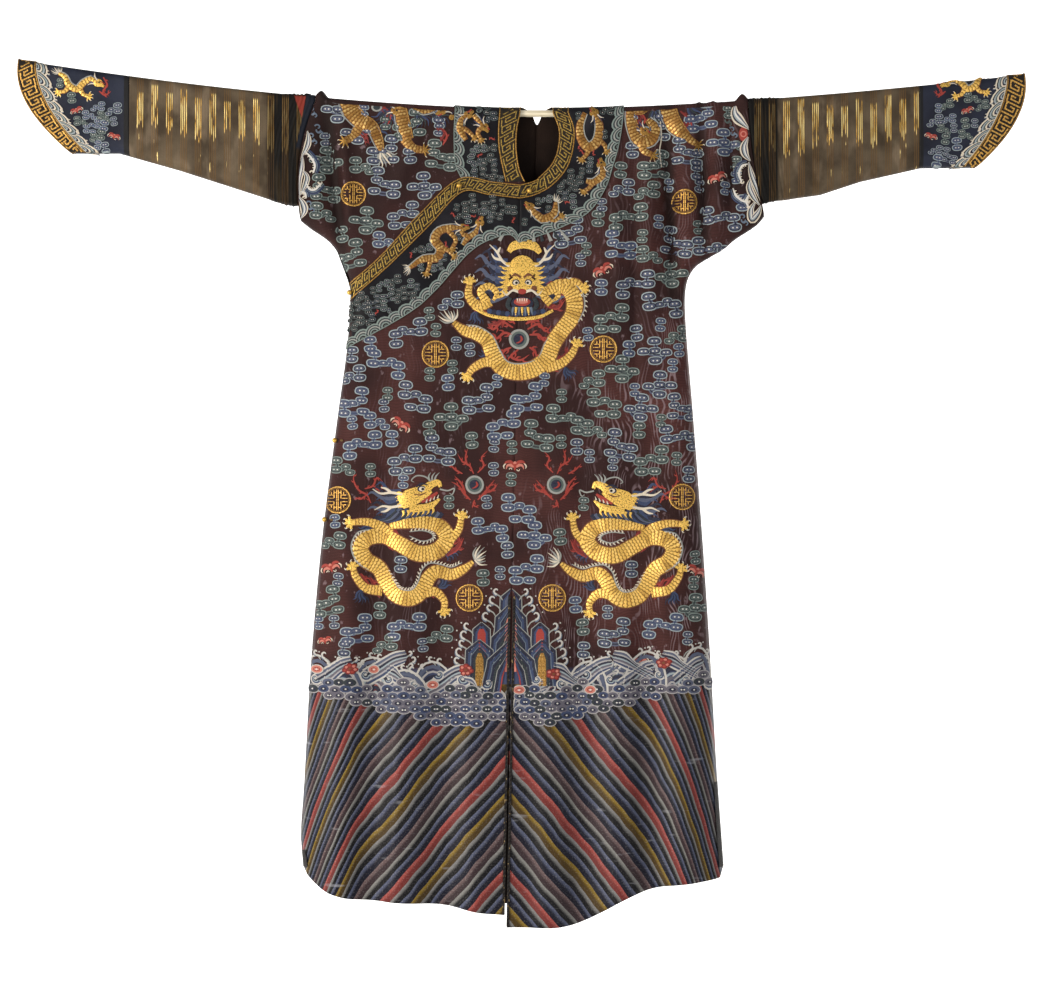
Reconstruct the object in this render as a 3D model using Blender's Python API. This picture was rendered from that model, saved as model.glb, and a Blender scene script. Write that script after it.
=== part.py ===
"""A court robe of brown silk, hung by both sleeves on a bowed rod.

Lengths are in millimetres and become metres where a mesh is made. +X is the
wearer's left, -Y is the front, +Z is up, and the origin is on the rod's centre
line at the neck. Cloth positions are given by x and by how far down the cloth
hangs below the rod's centre line; a negative value is up over the rod.
"""
import math
from collections import namedtuple

import bmesh
import bpy
import numpy as np
from mathutils import Vector

MM = 0.001

# cloth and seams
WALL = 1.6
TRIM_WALL = 1.2
BRAID_WALL = 1.8
SEAM = 0.15
LAY = 0.5
FLARE = 0.048

# the rod, bowed up towards both ends
ROD_RADIUS = 6.0
ROD_STATIONS = 40
ROD_BOW = 1.65
ROD_SHORT = 42.0
Bend = namedtuple("Bend", "half rise")
ROD = {"right": Bend(911, 86), "left": Bend(855, 60)}
OVER_ROD = ROD_RADIUS + 2.5
QUARTER = math.pi / 2 * OVER_ROD

# how far down the rows over the rod lie: on its ridge, half way and level with it
OVER_DOWNS = (-QUARTER, -QUARTER / 2, 0.0)

SIDES = {"right": -1, "left": 1}
FRONT = -1
BACK = 1

# outlines as worn-front sections: x across, z up
Point = namedtuple("Point", "x z")
NECK = {
    "right": [Point(-28, 0), Point(-34, -29), Point(-35, -64), Point(-30, -99),
              Point(-19, -122), Point(-22, -128)],
    "left": [Point(30, 0), Point(41, -29), Point(39, -64), Point(28, -91),
             Point(7, -114), Point(-14, -126), Point(-28, -128)],
}
BACK_NECK_HALF = {"turns": (28, 17, 9), "drop": (0, -12, -20), "half": (9, 5, 0.5)}
CENTRE = {"front": [Point(-28, -128), Point(-53.5, -1426)],
          "back": [Point(2, 0), Point(-49, -1426)]}
SIDE_SEAM = {
    "right": [Point(-415, -190), Point(-396, -205), Point(-369, -223), Point(-353, -241),
              Point(-346, -258), Point(-330, -303), Point(-328, -331), Point(-334, -417),
              Point(-351, -541), Point(-378, -753), Point(-397, -965), Point(-409, -1177),
              Point(-415, -1270), Point(-410, -1330)],
    "left": [Point(403, -182), Point(388, -199), Point(351, -223), Point(330, -241),
             Point(300, -258), Point(277, -276), Point(264, -311), Point(265, -382),
             Point(278, -541), Point(294, -753), Point(308, -965), Point(320, -1177),
             Point(331, -1328)],
}
HEM = {
    "right": [Point(-410, -1330), Point(-392, -1346), Point(-371, -1361), Point(-350, -1370),
              Point(-306, -1379), Point(-170, -1387), Point(-99, -1400), Point(-53, -1405)],
    "left": [Point(-53, -1426), Point(42, -1425), Point(88, -1414), Point(150, -1379),
             Point(200, -1361), Point(249, -1352), Point(321, -1343), Point(331, -1328)],
}
SLIT_TOP = -850
SLIT_OPEN = 2.0

# the slanting edge of the overlap, its gold band and its dark facing
OVERLAP_EDGE = [Point(-28, -128), Point(-75, -123), Point(-136, -117), Point(-205, -179),
                Point(-275, -255), Point(-330, -303)]
BAND_EDGE = [Point(-28, -151), Point(-81, -145), Point(-131, -140), Point(-187, -198),
             Point(-258, -269), Point(-328, -331)]
FACING_EDGE = [Point(-30, -230), Point(-51, -216), Point(-111, -242), Point(-173, -310),
               Point(-223, -354), Point(-334, -417)]

# ends of the upper sleeves, elbows and cuffs: top and bottom x, and the bow between them
Ring = namedtuple("Ring", "top bottom bow")
STUB = {"right": Ring(-389, -415, -15), "left": Ring(374, 403, 6)}
WRIST = {"right": Ring(-717, -717, 0), "left": Ring(676, 676, 0)}
BORDER = {"right": Ring(-883, -793, -20), "left": Ring(832, 752, 16)}
CUFF_END = {"right": Ring(-913, -819, -28), "left": Ring(862, 775, 26)}
SLEEVE_BOTTOM = {
    "right": [Point(-415, -163), Point(-452, -158), Point(-523, -135), Point(-629, -101),
              Point(-735, -71), Point(-819, -71)],
    "left": [Point(400, -160), Point(431, -154), Point(502, -144), Point(572, -121),
             Point(678, -97), Point(775, -96)],
}
ROUND = {"z": (-1330, -300, -190), "radius": (75, 30, 24)}
SLEEVE_ROUND = 24.0

# rows down a panel: shares of the upper sleeve's end, then of the side seam
STUB_SHARES = (0.25, 0.5, 0.72)
ROUND_STEPS = (1.0, 0.5, 0.134)
NECK_ROWS = {"front": (0, -25, -55, -80, -99, -111, -120, -128),
             "back": (0, -10, -20, -45, -70, -95, -115, -135)}
ARM_ROWS = {"outer": (-205, -223, -241, -270, -303, -331),
            "inner": (-160, -190, -225, -262, -297, -331)}
SKIRT_ROWS = 12
HEM_BLEND = 3
FLAT_COLUMNS = 12

# folds: ridges have a positive depth and troughs a negative one
Fold = namedtuple("Fold", "top_x top_z foot_x foot_z depth width")
SKIRT_FOLDS = {
    "front": [
        Fold(-300, -500, -352, -1400, 9, 46), Fold(-262, -430, -292, -1400, -10, 44),
        Fold(-215, -560, -232, -1400, 9, 48), Fold(-160, -480, -166, -1400, -9, 46),
        Fold(-105, -650, -106, -1400, 7, 44), Fold(30, -600, 22, -1430, 9, 48),
        Fold(88, -450, 84, -1430, -11, 46), Fold(140, -560, 148, -1400, 10, 46),
        Fold(182, -420, 206, -1370, -10, 42), Fold(216, -560, 262, -1360, 8, 40),
    ],
    "back": [
        Fold(-285, -480, -340, -1400, 9, 50), Fold(-230, -520, -270, -1400, -11, 50),
        Fold(-170, -460, -200, -1400, 10, 50), Fold(-110, -560, -130, -1400, -9, 46),
        Fold(40, -520, 30, -1430, 9, 50), Fold(100, -460, 100, -1430, -11, 50),
        Fold(155, -540, 168, -1390, 10, 46), Fold(205, -480, 236, -1360, -9, 46),
    ],
}
CREASES = {
    "front": [
        Fold(232, 12, 248, -300, -7, 26), Fold(192, -20, 200, -420, 5, 30),
        Fold(-372, 20, -338, -280, -7, 24), Fold(-345, 12, -322, -250, 5, 24),
        Fold(-200, 0, -250, -150, 4, 26),
    ],
    "back": [
        Fold(235, 12, 240, -380, -5, 30), Fold(-260, 12, -262, -380, -5, 30),
        Fold(192, 0, 194, -420, 5, 30), Fold(-196, 0, -202, -420, 5, 32),
    ],
}

# where the under flap hangs back from the overlap
TUCK = 2.4
TUCK_FROM = 80
TUCK_FULL = 40
TUCK_HEM = 15.0
UNDER_SPREAD_TOP = -420
UNDER_INSET = 3.6
UNDER_EDGE = 3.0
UNDER_SHORT = 18.0
INSET_FROM = -225
INSET_FULL = -262

# pinched cloth on top of the upper sleeves' ends, and the elbow gathers
Tuft = namedtuple("Tuft", "x height width")
TUFTS = {"right": Tuft(-379, 12, 15), "left": Tuft(364, 12, 15)}
GATHER_WIDTH = 50.0
GATHER_RINGS = 10
GATHER_LIFT = 3.0
FOREARM_RINGS = 6
CUFF_RINGS = 3
BORDER_RINGS = 1

# the neck's trimmings: the band's and the dark facing's outer edges
Strip = namedtuple("Strip", "neck_z band_x band_z facing_x facing_z")
NECK_LEFT = [Strip(0, 57, 0, 155, 0), Strip(-29, 67, -29, 150, -35), Strip(-64, 65, -64, 140, -80),
             Strip(-91, 53, -99, 124, -130), Strip(-112, 28, -128, 94, -175),
             Strip(-121, -2, -145, 40, -205), Strip(-128, -21.6, -151, -30, -230)]
NECK_RIGHT_BAND = [Point(-64, 0), Point(-67, -46), Point(-60, -91), Point(-53, -121)]
NECK_RIGHT_FACING = [Point(-143, 0), Point(-145, -45), Point(-145, -80), Point(-133, -114)]
NECK_RIGHT_END = [Point(-20, -121.5), Point(-53, -121.5), Point(-133, -113.5)]
BackStrip = namedtuple("BackStrip", "neck_x neck_z band_x band_z facing_x facing_z")
BACK_STRIPS = [BackStrip(9, 0, 57, 0, 152, 0), BackStrip(7, -6, 54, -18, 146, -45),
               BackStrip(5, -12, 40, -37, 118, -95), BackStrip(3, -17, 15, -48, 60, -134)]
BACK_MIDDLE = 2.0
BACK_LOWEST = (-19, -49.5, -142)
FACING_COLUMNS = 3
FACING_ROWS = 3
OVERLAP_ROWS = 13
BULGE_ENDS = 0.5
NECK_ROW_COUNT = 7
BAND_TOP = LAY + TRIM_WALL
RAISED = {"top": BAND_TOP, "wall": TRIM_WALL}

# fastenings: a ball button and a loop that runs on from it
BUTTON_RADIUS = 4.6
BUTTON_SEGMENTS = 10
BUTTON_RINGS = 6
LOOP_HALF = 2.6
LOOP_REACH = 3.0
LOOP_STATIONS = 4
CURVED_TOP = BAND_TOP + 0.15
Fastening = namedtuple("Fastening", "name side x z run_x run_z lift on_seam")
FASTENINGS = [
    Fastening("neck", "left", -12, -138.5, 6.5, 2.0, BAND_TOP, False),
    Fastening("breast", "right", -136, -129.5, 7.0, 0.0, BAND_TOP, False),
    Fastening("armpit", "right", 6, -317, 6.0, 6.0, CURVED_TOP, True),
    Fastening("side_1", "right", 6, -578, 8.0, 0.0, 0.0, True),
    Fastening("side_2", "right", 6, -717, 8.0, 0.0, 0.0, True),
]

BRAID_WIDTH = 4.5
BRAID_EDGE = 0.6

Look = namedtuple("Look", "colour roughness metallic")
LOOKS = {
    "rod": Look((0.80, 0.72, 0.56), 0.5, 0.0),
    "ground": Look((0.085, 0.035, 0.032), 0.55, 0.0),
    "lining": Look((0.060, 0.030, 0.026), 0.7, 0.0),
    "facing": Look((0.018, 0.020, 0.034), 0.55, 0.0),
    "gold": Look((0.48, 0.31, 0.09), 0.42, 0.4),
    "sleeve": Look((0.075, 0.058, 0.044), 0.6, 0.0),
    "braid": Look((0.010, 0.010, 0.012), 0.7, 0.0),
    "button": Look((0.72, 0.50, 0.16), 0.3, 1.0),
}


def clear_scene():
    for item in list(bpy.data.objects):
        bpy.data.objects.remove(item, do_unlink=True)


def smooth(value):
    value = min(max(value, 0.0), 1.0)
    return value * value * (3 - 2 * value)


def side_of(x):
    return "right" if x < 0 else "left"


def face_name(face):
    return "front" if face == FRONT else "back"


def rod_height(x):
    bend = ROD[side_of(x)]
    return bend.rise * (abs(x) / bend.half) ** ROD_BOW


def rod_slope(x):
    step = 1.0
    return (rod_height(x + step) - rod_height(x - step)) / (2 * step)


def x_at(line, z):
    """x of a line that falls from its first point, at height z."""
    return float(np.interp(-z, [-p.z for p in line], [p.x for p in line]))


def z_at(line, x):
    """z of a line that runs across, at x."""
    ordered = sorted(line)
    return float(np.interp(x, [p.x for p in ordered], [p.z for p in ordered]))


def distance_to(line, x, z):
    """The shortest distance from a point to a line of straight stretches."""
    best = math.inf
    for start, end in zip(line, line[1:]):
        run_x, run_z = end.x - start.x, end.z - start.z
        share = ((x - start.x) * run_x + (z - start.z) * run_z) / (run_x ** 2 + run_z ** 2)
        share = min(max(share, 0.0), 1.0)
        best = min(best, math.hypot(x - start.x - share * run_x, z - start.z - share * run_z))
    return best


def fold_height(x, z, face):
    total = 0.0
    for fold in SKIRT_FOLDS[face_name(face)]:
        share = (fold.top_z - z) / (fold.top_z - fold.foot_z)
        if share > 0:
            middle = fold.top_x + (fold.foot_x - fold.top_x) * share
            away = min(abs(x - middle) / fold.width, 1.0)
            total += fold.depth * min(share, 1.0) * 0.5 * (1 + math.cos(math.pi * away))
    for fold in CREASES[face_name(face)]:
        share = (fold.top_z - z) / (fold.top_z - fold.foot_z)
        if 0 < share < 1:
            middle = fold.top_x + (fold.foot_x - fold.top_x) * share
            away = min(abs(x - middle) / fold.width, 1.0)
            total += fold.depth * math.sin(math.pi * share) * 0.5 * (1 + math.cos(math.pi * away))
    return total


class Hang:
    """A layer of cloth that hangs from the rod and closes at its seam."""

    def __init__(self, side, seam, radius, folded=True, tuck=None, inset=None):
        self.inward = -SIDES[side]
        self.seam = seam
        self.radius = radius
        self.folded = folded
        self.tuck = tuck
        self.inset = inset

    def from_seam(self, x, z):
        away = distance_to(self.seam, x, z)
        return max(away - (self.inset(z) if self.inset else 0.0), 0.0)

    def closing(self, x, z):
        """1 where the cloth hangs free, 0 on the seam, a quarter ellipse between."""
        share = self.from_seam(x, z) / self.radius(z)
        return 1.0 if share >= 1 else math.sqrt(1 - (1 - share) ** 2)

    def stand_off(self, x, z, face):
        """How far the outer face stands from the plane of the rod."""
        off = OVER_ROD + FLARE * (rod_height(x) - z)
        if self.folded:
            off += fold_height(x, z, face)
        if self.tuck:
            off -= self.tuck(x, z)
        return off * self.closing(x, z)

    def normal(self, x, down, face):
        if down < 0:
            turn = math.pi / 2 * (1 + down / QUARTER)
            if down <= -QUARTER:
                turn = 0.0
            lean = -rod_slope(x) * math.cos(turn)
            return Vector((lean, face * math.sin(turn), math.cos(turn))).normalized()
        z = rod_height(x) - down
        step = 0.5
        if self.from_seam(x, z) < step:
            near_x, near_z = x + self.inward * 4 * step, z + 4 * step
            slope_x = distance_to(self.seam, near_x + step, near_z)
            slope_x -= distance_to(self.seam, near_x - step, near_z)
            slope_z = distance_to(self.seam, near_x, near_z + step)
            slope_z -= distance_to(self.seam, near_x, near_z - step)
            return Vector((-slope_x, 0, -slope_z)).normalized()
        slope_x = self.stand_off(x + step, z, face) - self.stand_off(x - step, z, face)
        slope_z = self.stand_off(x, z + step, face) - self.stand_off(x, z - step, face)
        return Vector((-slope_x, face * 2 * step, -slope_z)).normalized()

    def point(self, x, down, face, lift=0.0):
        if down < 0:
            turn = 0.0 if down <= -QUARTER else math.pi / 2 * (1 + down / QUARTER)
            place = Vector((x, face * OVER_ROD * math.sin(turn),
                            rod_height(x) + OVER_ROD * math.cos(turn)))
            tuft = TUFTS[side_of(x)]
            away = min(abs(x - tuft.x) / tuft.width, 1.0)
            lift += tuft.height * 0.5 * (1 + math.cos(math.pi * away)) * math.cos(turn) ** 2
        else:
            z = rod_height(x) - down
            place = Vector((x, face * self.stand_off(x, z, face), z))
        if abs(place.y) < SEAM:
            place.y = face * SEAM
        return place + self.normal(x, down, face) * lift


def new_material(name, look):
    material = bpy.data.materials.new(name)
    material.use_nodes = True
    shader = material.node_tree.nodes["Principled BSDF"]
    shader.inputs["Base Color"].default_value = (*look.colour, 1)
    shader.inputs["Roughness"].default_value = look.roughness
    shader.inputs["Metallic"].default_value = look.metallic
    return material


def add_object(name, mesh_data, look):
    item = bpy.data.objects.new(name, mesh_data)
    mesh_data.materials.append(new_material(name, LOOKS[look]))
    bpy.context.scene.collection.objects.link(item)
    return item


def cloth_wall(name, outer, inner, look, tube=False):
    """A closed wall from two like grids of points, its outer and its inner face."""
    rows, columns = len(outer), len(outer[0])
    wall = bmesh.new()
    bmesh.ops.create_grid(wall, x_segments=columns - 1, y_segments=rows - 1, size=1)
    place = wall.verts.layers.int.new("place")
    wall.verts.ensure_lookup_table()
    for index, vert in enumerate(wall.verts):
        row, column = divmod(index, columns)
        vert[place] = index
        vert.co = outer[row][column] * MM
    if tube:
        bmesh.ops.remove_doubles(wall, verts=wall.verts[:], dist=SEAM * MM / 10)
    shell = bmesh.ops.extrude_face_region(wall, geom=wall.faces[:], use_keep_orig=True)
    for item in shell["geom"]:
        if isinstance(item, bmesh.types.BMVert):
            row, column = divmod(item[place], columns)
            item.co = inner[row][column] * MM
    bmesh.ops.recalc_face_normals(wall, faces=wall.faces[:])
    mesh_data = bpy.data.meshes.new(name)
    wall.to_mesh(mesh_data)
    wall.free()
    mesh_data.shade_smooth()
    mesh_data.set_sharp_from_angle(angle=math.radians(40))
    return add_object(name, mesh_data, look)


def laid_cloth(name, hang, face, rows, look, top=0.0, wall=WALL):
    """A wall whose outer face is lifted by top from the hang's own surface."""
    outer = [[hang.point(x, down, face, top) for x, down in row] for row in rows]
    inner = [[hang.point(x, down, face, top - wall) for x, down in row] for row in rows]
    return cloth_wall(name, outer, inner, look)


def body_radius(z):
    return float(np.interp(z, ROUND["z"], ROUND["radius"]))


def sleeve_radius(_z):
    return SLEEVE_ROUND


def column_shares(span, radius):
    """Even columns, then closer ones where the cloth turns in to its seam."""
    flat = 1 - radius / span
    shares = [flat * step / FLAT_COLUMNS for step in range(FLAT_COLUMNS)]
    return shares + [1 - step * radius / span for step in ROUND_STEPS] + [1.0]


def row_across(inner, outer, radius):
    """A row of (x, down) from one (x, down) to another."""
    return [tuple(a + (b - a) * share for a, b in zip(inner, outer))
            for share in column_shares(abs(outer[0] - inner[0]), radius)]


def hung(x, z):
    return (x, rod_height(x) - z)


def ring_x(ring, share):
    return ring.top + (ring.bottom - ring.top) * share + ring.bow * 4 * share * (1 - share)


def centre_x(side, face, z):
    """The edge of a panel along the centre seam and its slit."""
    opening = SLIT_OPEN * max(0.0, (SLIT_TOP - z) / (SLIT_TOP - CENTRE["front"][-1].z))
    return x_at(CENTRE[face_name(face)], z) + SIDES[side] * (SEAM + opening)


def neck_x(side, face, z):
    """The edge of a panel along the neck, and below it along the centre seam."""
    if face == FRONT:
        return x_at(NECK[side], z) if z > NECK[side][-1].z else centre_x(side, face, z)
    if z < BACK_NECK_HALF["drop"][-1]:
        return centre_x(side, face, z)
    half = np.interp(-z, [-drop for drop in BACK_NECK_HALF["drop"]], BACK_NECK_HALF["half"])
    return x_at(CENTRE["back"], z) + SIDES[side] * float(half)


def bent_to_hem(rows, side, short=0.0):
    """The same rows, of which the last ones bend to follow the hem."""
    sags = [rod_height(x) - down - z_at(HEM[side], x) - short for x, down in rows[-1]]
    bent = list(rows)
    for index in range(HEM_BLEND):
        blend = smooth(1 - index / HEM_BLEND)
        row = rows[-1 - index]
        bent[-1 - index] = [(x, down + sag * blend) for (x, down), sag in zip(row, sags)]
    return bent


def elbow_share(side):
    """How much of the upper sleeve's end the narrower sleeve takes up."""
    corner, foot = SIDE_SEAM[side][0], SLEEVE_BOTTOM[side][0]
    return (rod_height(foot.x) - foot.z) / (rod_height(corner.x) - corner.z)


def stub_rows(side, face):
    """Rows from the shoulder line to the corner under the upper sleeve."""
    ring = STUB[side]
    corner = SIDE_SEAM[side][0]
    height = rod_height(corner.x) - corner.z
    rows = []
    for index, down in enumerate(OVER_DOWNS):
        edge = NECK[side][0].x
        if face == BACK:
            edge = SIDES[side] * BACK_NECK_HALF["turns"][index]
        rows.append(row_across((edge, down), (ring.top, down), SLEEVE_ROUND))
    sleeve_share = elbow_share(side)
    shares = [share * sleeve_share for share in STUB_SHARES]
    shares += [1 - step * SLEEVE_ROUND / height for step in ROUND_STEPS] + [1.0]
    for share, z in zip(shares, NECK_ROWS[face_name(face)][1:]):
        inner = hung(neck_x(side, face, z), z)
        rows.append(row_across(inner, (ring_x(ring, share), share * height), SLEEVE_ROUND))
    return rows


def panel_rows(side, face, under=False):
    """Rows of a body panel from the shoulder line to the hem."""
    rows = stub_rows(side, face)
    seam = SIDE_SEAM[side]
    short = UNDER_SHORT if under else 0.0
    stations = list(zip(ARM_ROWS["inner"], ARM_ROWS["outer"]))
    last = stations[-1][0]
    for step in range(1, SKIRT_ROWS + 1):
        share = step / SKIRT_ROWS
        centre_foot = HEM[side][-1 if side == "right" else 0].z
        stations.append((last + (centre_foot + short - last) * share,
                         last + (seam[-1].z + short - last) * share))
    for inner_z, outer_z in stations:
        inner_x = neck_x(side, face, inner_z)
        outer_x = x_at(seam, outer_z)
        if under:
            inner_x += SIDES[side] * UNDER_EDGE
            outer_x -= SIDES[side] * under_inset(outer_z)
        inner, outer = hung(inner_x, inner_z), hung(outer_x, outer_z)
        rows.append(row_across(inner, outer, body_radius(outer_z)))
    return bent_to_hem(rows, side, short)


def under_inset(z):
    return UNDER_INSET * smooth((INSET_FROM - z) / (INSET_FROM - INSET_FULL))


def under_tuck(x, z):
    """How far the right front hangs back to let the overlap lie over it."""
    above = z - z_at(OVERLAP_EDGE, x)
    tuck = TUCK * smooth((TUCK_FROM - above) / TUCK_FULL)
    spread = (UNDER_SPREAD_TOP - z) / (UNDER_SPREAD_TOP - HEM["right"][-1].z)
    return tuck + TUCK_HEM * min(max(spread, 0.0), 1.0)


def line_at(line, share):
    """A point on a line that runs across, by its share of the way in x."""
    x = line[0].x + (line[-1].x - line[0].x) * share
    return x, z_at(line, x)


def overlap_rows():
    """Rows of the overlap, from its slanting edge to the hem."""
    rows = []
    for line in (OVERLAP_EDGE, BAND_EDGE, FACING_EDGE):
        span = abs(line[-1].x - line[0].x)
        radius = body_radius(line[-1].z)
        rows.append([line_at(line, share) for share in column_shares(span, radius)])
    edge, band, facing = rows
    rows = [edge, band]
    for step in range(1, FACING_ROWS):
        rows.append(blended(band, facing, step / FACING_ROWS))
    rows.append(facing)
    seam, foot = SIDE_SEAM["right"], HEM["right"][-1]
    for step in range(1, OVERLAP_ROWS + 1):
        share = step / OVERLAP_ROWS
        inner_z = FACING_EDGE[0].z + (foot.z - FACING_EDGE[0].z) * share
        outer_z = FACING_EDGE[-1].z + (seam[-1].z - FACING_EDGE[-1].z) * share
        inner_x, outer_x = centre_x("right", FRONT, inner_z), x_at(seam, outer_z)
        span = abs(outer_x - inner_x)
        start = FACING_EDGE[0].z, FACING_EDGE[-1].z
        row = []
        for part, above in zip(column_shares(span, body_radius(outer_z)), facing):
            x = inner_x + (outer_x - inner_x) * part
            z = inner_z + (outer_z - inner_z) * part
            bulge = above[1] - (start[0] + (start[1] - start[0]) * part)
            row.append((x, z + bulge * (1 - smooth(share / BULGE_ENDS))))
        rows.append(row)
    for row in rows:
        row[0] = (centre_x("right", FRONT, row[0][1]), row[0][1])
    return bent_to_hem([[hung(x, z) for x, z in row] for row in rows], "right")


def blended(first, second, share):
    """The row that lies between two rows."""
    return [tuple(a + (b - a) * share for a, b in zip(p, q)) for p, q in zip(first, second)]


def between(inner, outer, columns):
    """A straight row of (x, down) with even columns."""
    return [tuple(a + (b - a) * step / columns for a, b in zip(inner, outer))
            for step in range(columns + 1)]


def inset_pair(inner, outer, gap):
    """Two row ends brought nearer by a gap at the first."""
    length = math.hypot(outer[0] - inner[0], outer[1] - inner[1])
    share = gap / length
    return tuple(a + (b - a) * share for a, b in zip(inner, outer)), outer


def make_rod():
    path = bpy.data.curves.new("rod", "CURVE")
    path.dimensions = "3D"
    path.bevel_depth = ROD_RADIUS * MM
    path.bevel_resolution = 2
    path.use_fill_caps = True
    start = -(ROD["right"].half - ROD_SHORT)
    end = ROD["left"].half - ROD_SHORT
    line = path.splines.new("POLY")
    line.points.add(ROD_STATIONS)
    for index, station in enumerate(line.points):
        x = start + (end - start) * index / ROD_STATIONS
        station.co = (x * MM, 0, rod_height(x) * MM, 1)
    add_object("rod", path, "rod")


def make_bodies(hangs, under_hang):
    for side in SIDES:
        laid_cloth("back_" + side, hangs[side], BACK, panel_rows(side, BACK), "ground")
    laid_cloth("front_left", hangs["left"], FRONT, panel_rows("left", FRONT), "ground")
    laid_cloth("front_right", under_hang, FRONT, panel_rows("right", FRONT, under=True), "ground")
    laid_cloth("overlap", hangs["right"], FRONT, overlap_rows(), "ground")


def mixed_ring(first, second, share):
    return Ring(*(a + (b - a) * share for a, b in zip(first, second)))


def ring_points(side, ring, hang, lift):
    """Points round a sleeve: up its front, over the rod and down its back."""
    foot_x = ring_x(ring, 1.0)
    height = rod_height(foot_x) - z_at(SLEEVE_BOTTOM[side], foot_x)
    shares = [0.0, *STUB_SHARES] + [1 - step * SLEEVE_ROUND / height for step in ROUND_STEPS]
    hanging = [(ring_x(ring, share), share * height) for share in shares]
    over = (ring_x(ring, 0.0), -QUARTER / 2)
    front = [hang.point(x, down, FRONT, lift) for x, down in [over, *hanging]]
    back = [hang.point(x, down, BACK, lift) for x, down in [over, *hanging]]
    ridge = hang.point(ring_x(ring, 0.0), -QUARTER, FRONT, lift)
    foot = hang.point(foot_x, height, FRONT, lift)
    ridge.y = 0.0
    foot.y = 0.0
    return [foot, *reversed(front), ridge, *back, foot]


def tube_cloth(name, side, rings, hang, look, top=0.0, wall=WALL):
    """A tube of cloth through (ring, lift) stations."""
    outer = [ring_points(side, ring, hang, top + lift) for ring, lift in rings]
    inner = [ring_points(side, ring, hang, top + lift - wall) for ring, lift in rings]
    return cloth_wall(name, outer, inner, look, tube=True)


def cut_ring(ring, share):
    """The upper part of a ring's line, down to a share of it."""
    rise = (ring.bottom - ring.top) * share + 4 * ring.bow * share * (1 - share)
    return Ring(ring.top, ring.top + rise, ring.bow * share ** 2)


def moved_ring(ring, distance):
    return Ring(ring.top + distance, ring.bottom + distance, ring.bow)


def make_sleeve(side):
    sign = SIDES[side]
    hang = Hang(side, SLEEVE_BOTTOM[side], sleeve_radius, folded=False)
    start = moved_ring(cut_ring(STUB[side], elbow_share(side)), sign * 2 * SEAM)
    end = moved_ring(WRIST[side], -sign * SEAM)
    gathers = GATHER_WIDTH / abs(end.top - start.top)
    stations = []
    for step in range(GATHER_RINGS + 1):
        lift = GATHER_LIFT if step % 2 else 0.0
        stations.append((mixed_ring(start, end, gathers * step / GATHER_RINGS), lift))
    for step in range(1, FOREARM_RINGS + 1):
        share = gathers + (1 - gathers) * step / FOREARM_RINGS
        stations.append((mixed_ring(start, end, share), 0.0))
    tube_cloth("sleeve_" + side, side, stations, hang, "sleeve")

    wrist = moved_ring(WRIST[side], sign * SEAM)
    cuff = [(mixed_ring(wrist, BORDER[side], step / CUFF_RINGS), 0.0)
            for step in range(CUFF_RINGS)]
    border = [(mixed_ring(BORDER[side], CUFF_END[side], step / BORDER_RINGS), 0.0)
              for step in range(BORDER_RINGS + 1)]
    tube_cloth("cuff_" + side, side, cuff + border, hang, "facing")
    tube_cloth("cuff_band_" + side, side, border, hang, "gold", BAND_TOP, TRIM_WALL)


def facing_row(edge, end):
    """A row of a dark facing, from just outside its band's edge."""
    return between(*inset_pair(edge, end, LAY), FACING_COLUMNS)


def lay_trims(side, hang, face, stations):
    """A band and a facing through stations of (neck, band's edge, facing's edge)."""
    band = [[neck, edge] for neck, edge, _end in stations]
    facing = [facing_row(edge, end) for _neck, edge, end in stations]
    laid_cloth("neck_band_" + side, hang, face, band, "gold", **RAISED)
    laid_cloth("facing_" + side, hang, face, facing, "facing", **RAISED)


def make_left_trims(hang):
    top, foot = NECK_LEFT[0], NECK_LEFT[-1]
    stations = [((NECK["left"][0].x, down), (top.band_x, down), (top.facing_x, down))
                for down in OVER_DOWNS]
    for strip in NECK_LEFT[1:-1]:
        stations.append((hung(neck_x("left", FRONT, strip.neck_z), strip.neck_z),
                         hung(strip.band_x, strip.band_z),
                         hung(strip.facing_x, strip.facing_z)))
    stations.append([hung(centre_x("left", FRONT, z), z)
                     for z in (foot.neck_z, foot.band_z, foot.facing_z)])
    lay_trims("left", hang, FRONT, stations)


def make_right_trims(under_hang):
    heights = [0.0] * (len(OVER_DOWNS) - 1) + list(NECK_ROWS["front"])
    stations = []
    for row, z in zip(stub_rows("right", FRONT)[:NECK_ROW_COUNT], heights):
        stations.append((row[0], on_row(row, x_at(NECK_RIGHT_BAND, z)),
                         on_row(row, x_at(NECK_RIGHT_FACING, z))))
    stations.append([hung(place.x, place.z) for place in NECK_RIGHT_END])
    lay_trims("right", under_hang, FRONT, stations)


def make_overlap_trims(hang):
    rows = overlap_rows()
    facing_top = [inset_pair(p, q, LAY)[0] for p, q in zip(rows[1], rows[2])]
    laid_cloth("overlap_band", hang, FRONT, rows[:2], "gold", **RAISED)
    laid_cloth("facing_overlap", hang, FRONT, [facing_top, *rows[2:FACING_ROWS + 2]],
               "facing", **RAISED)


def on_row(row, x):
    """The point of a row that lies at x."""
    ordered = sorted(row)
    return x, float(np.interp(x, [p[0] for p in ordered], [p[1] for p in ordered]))


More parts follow.
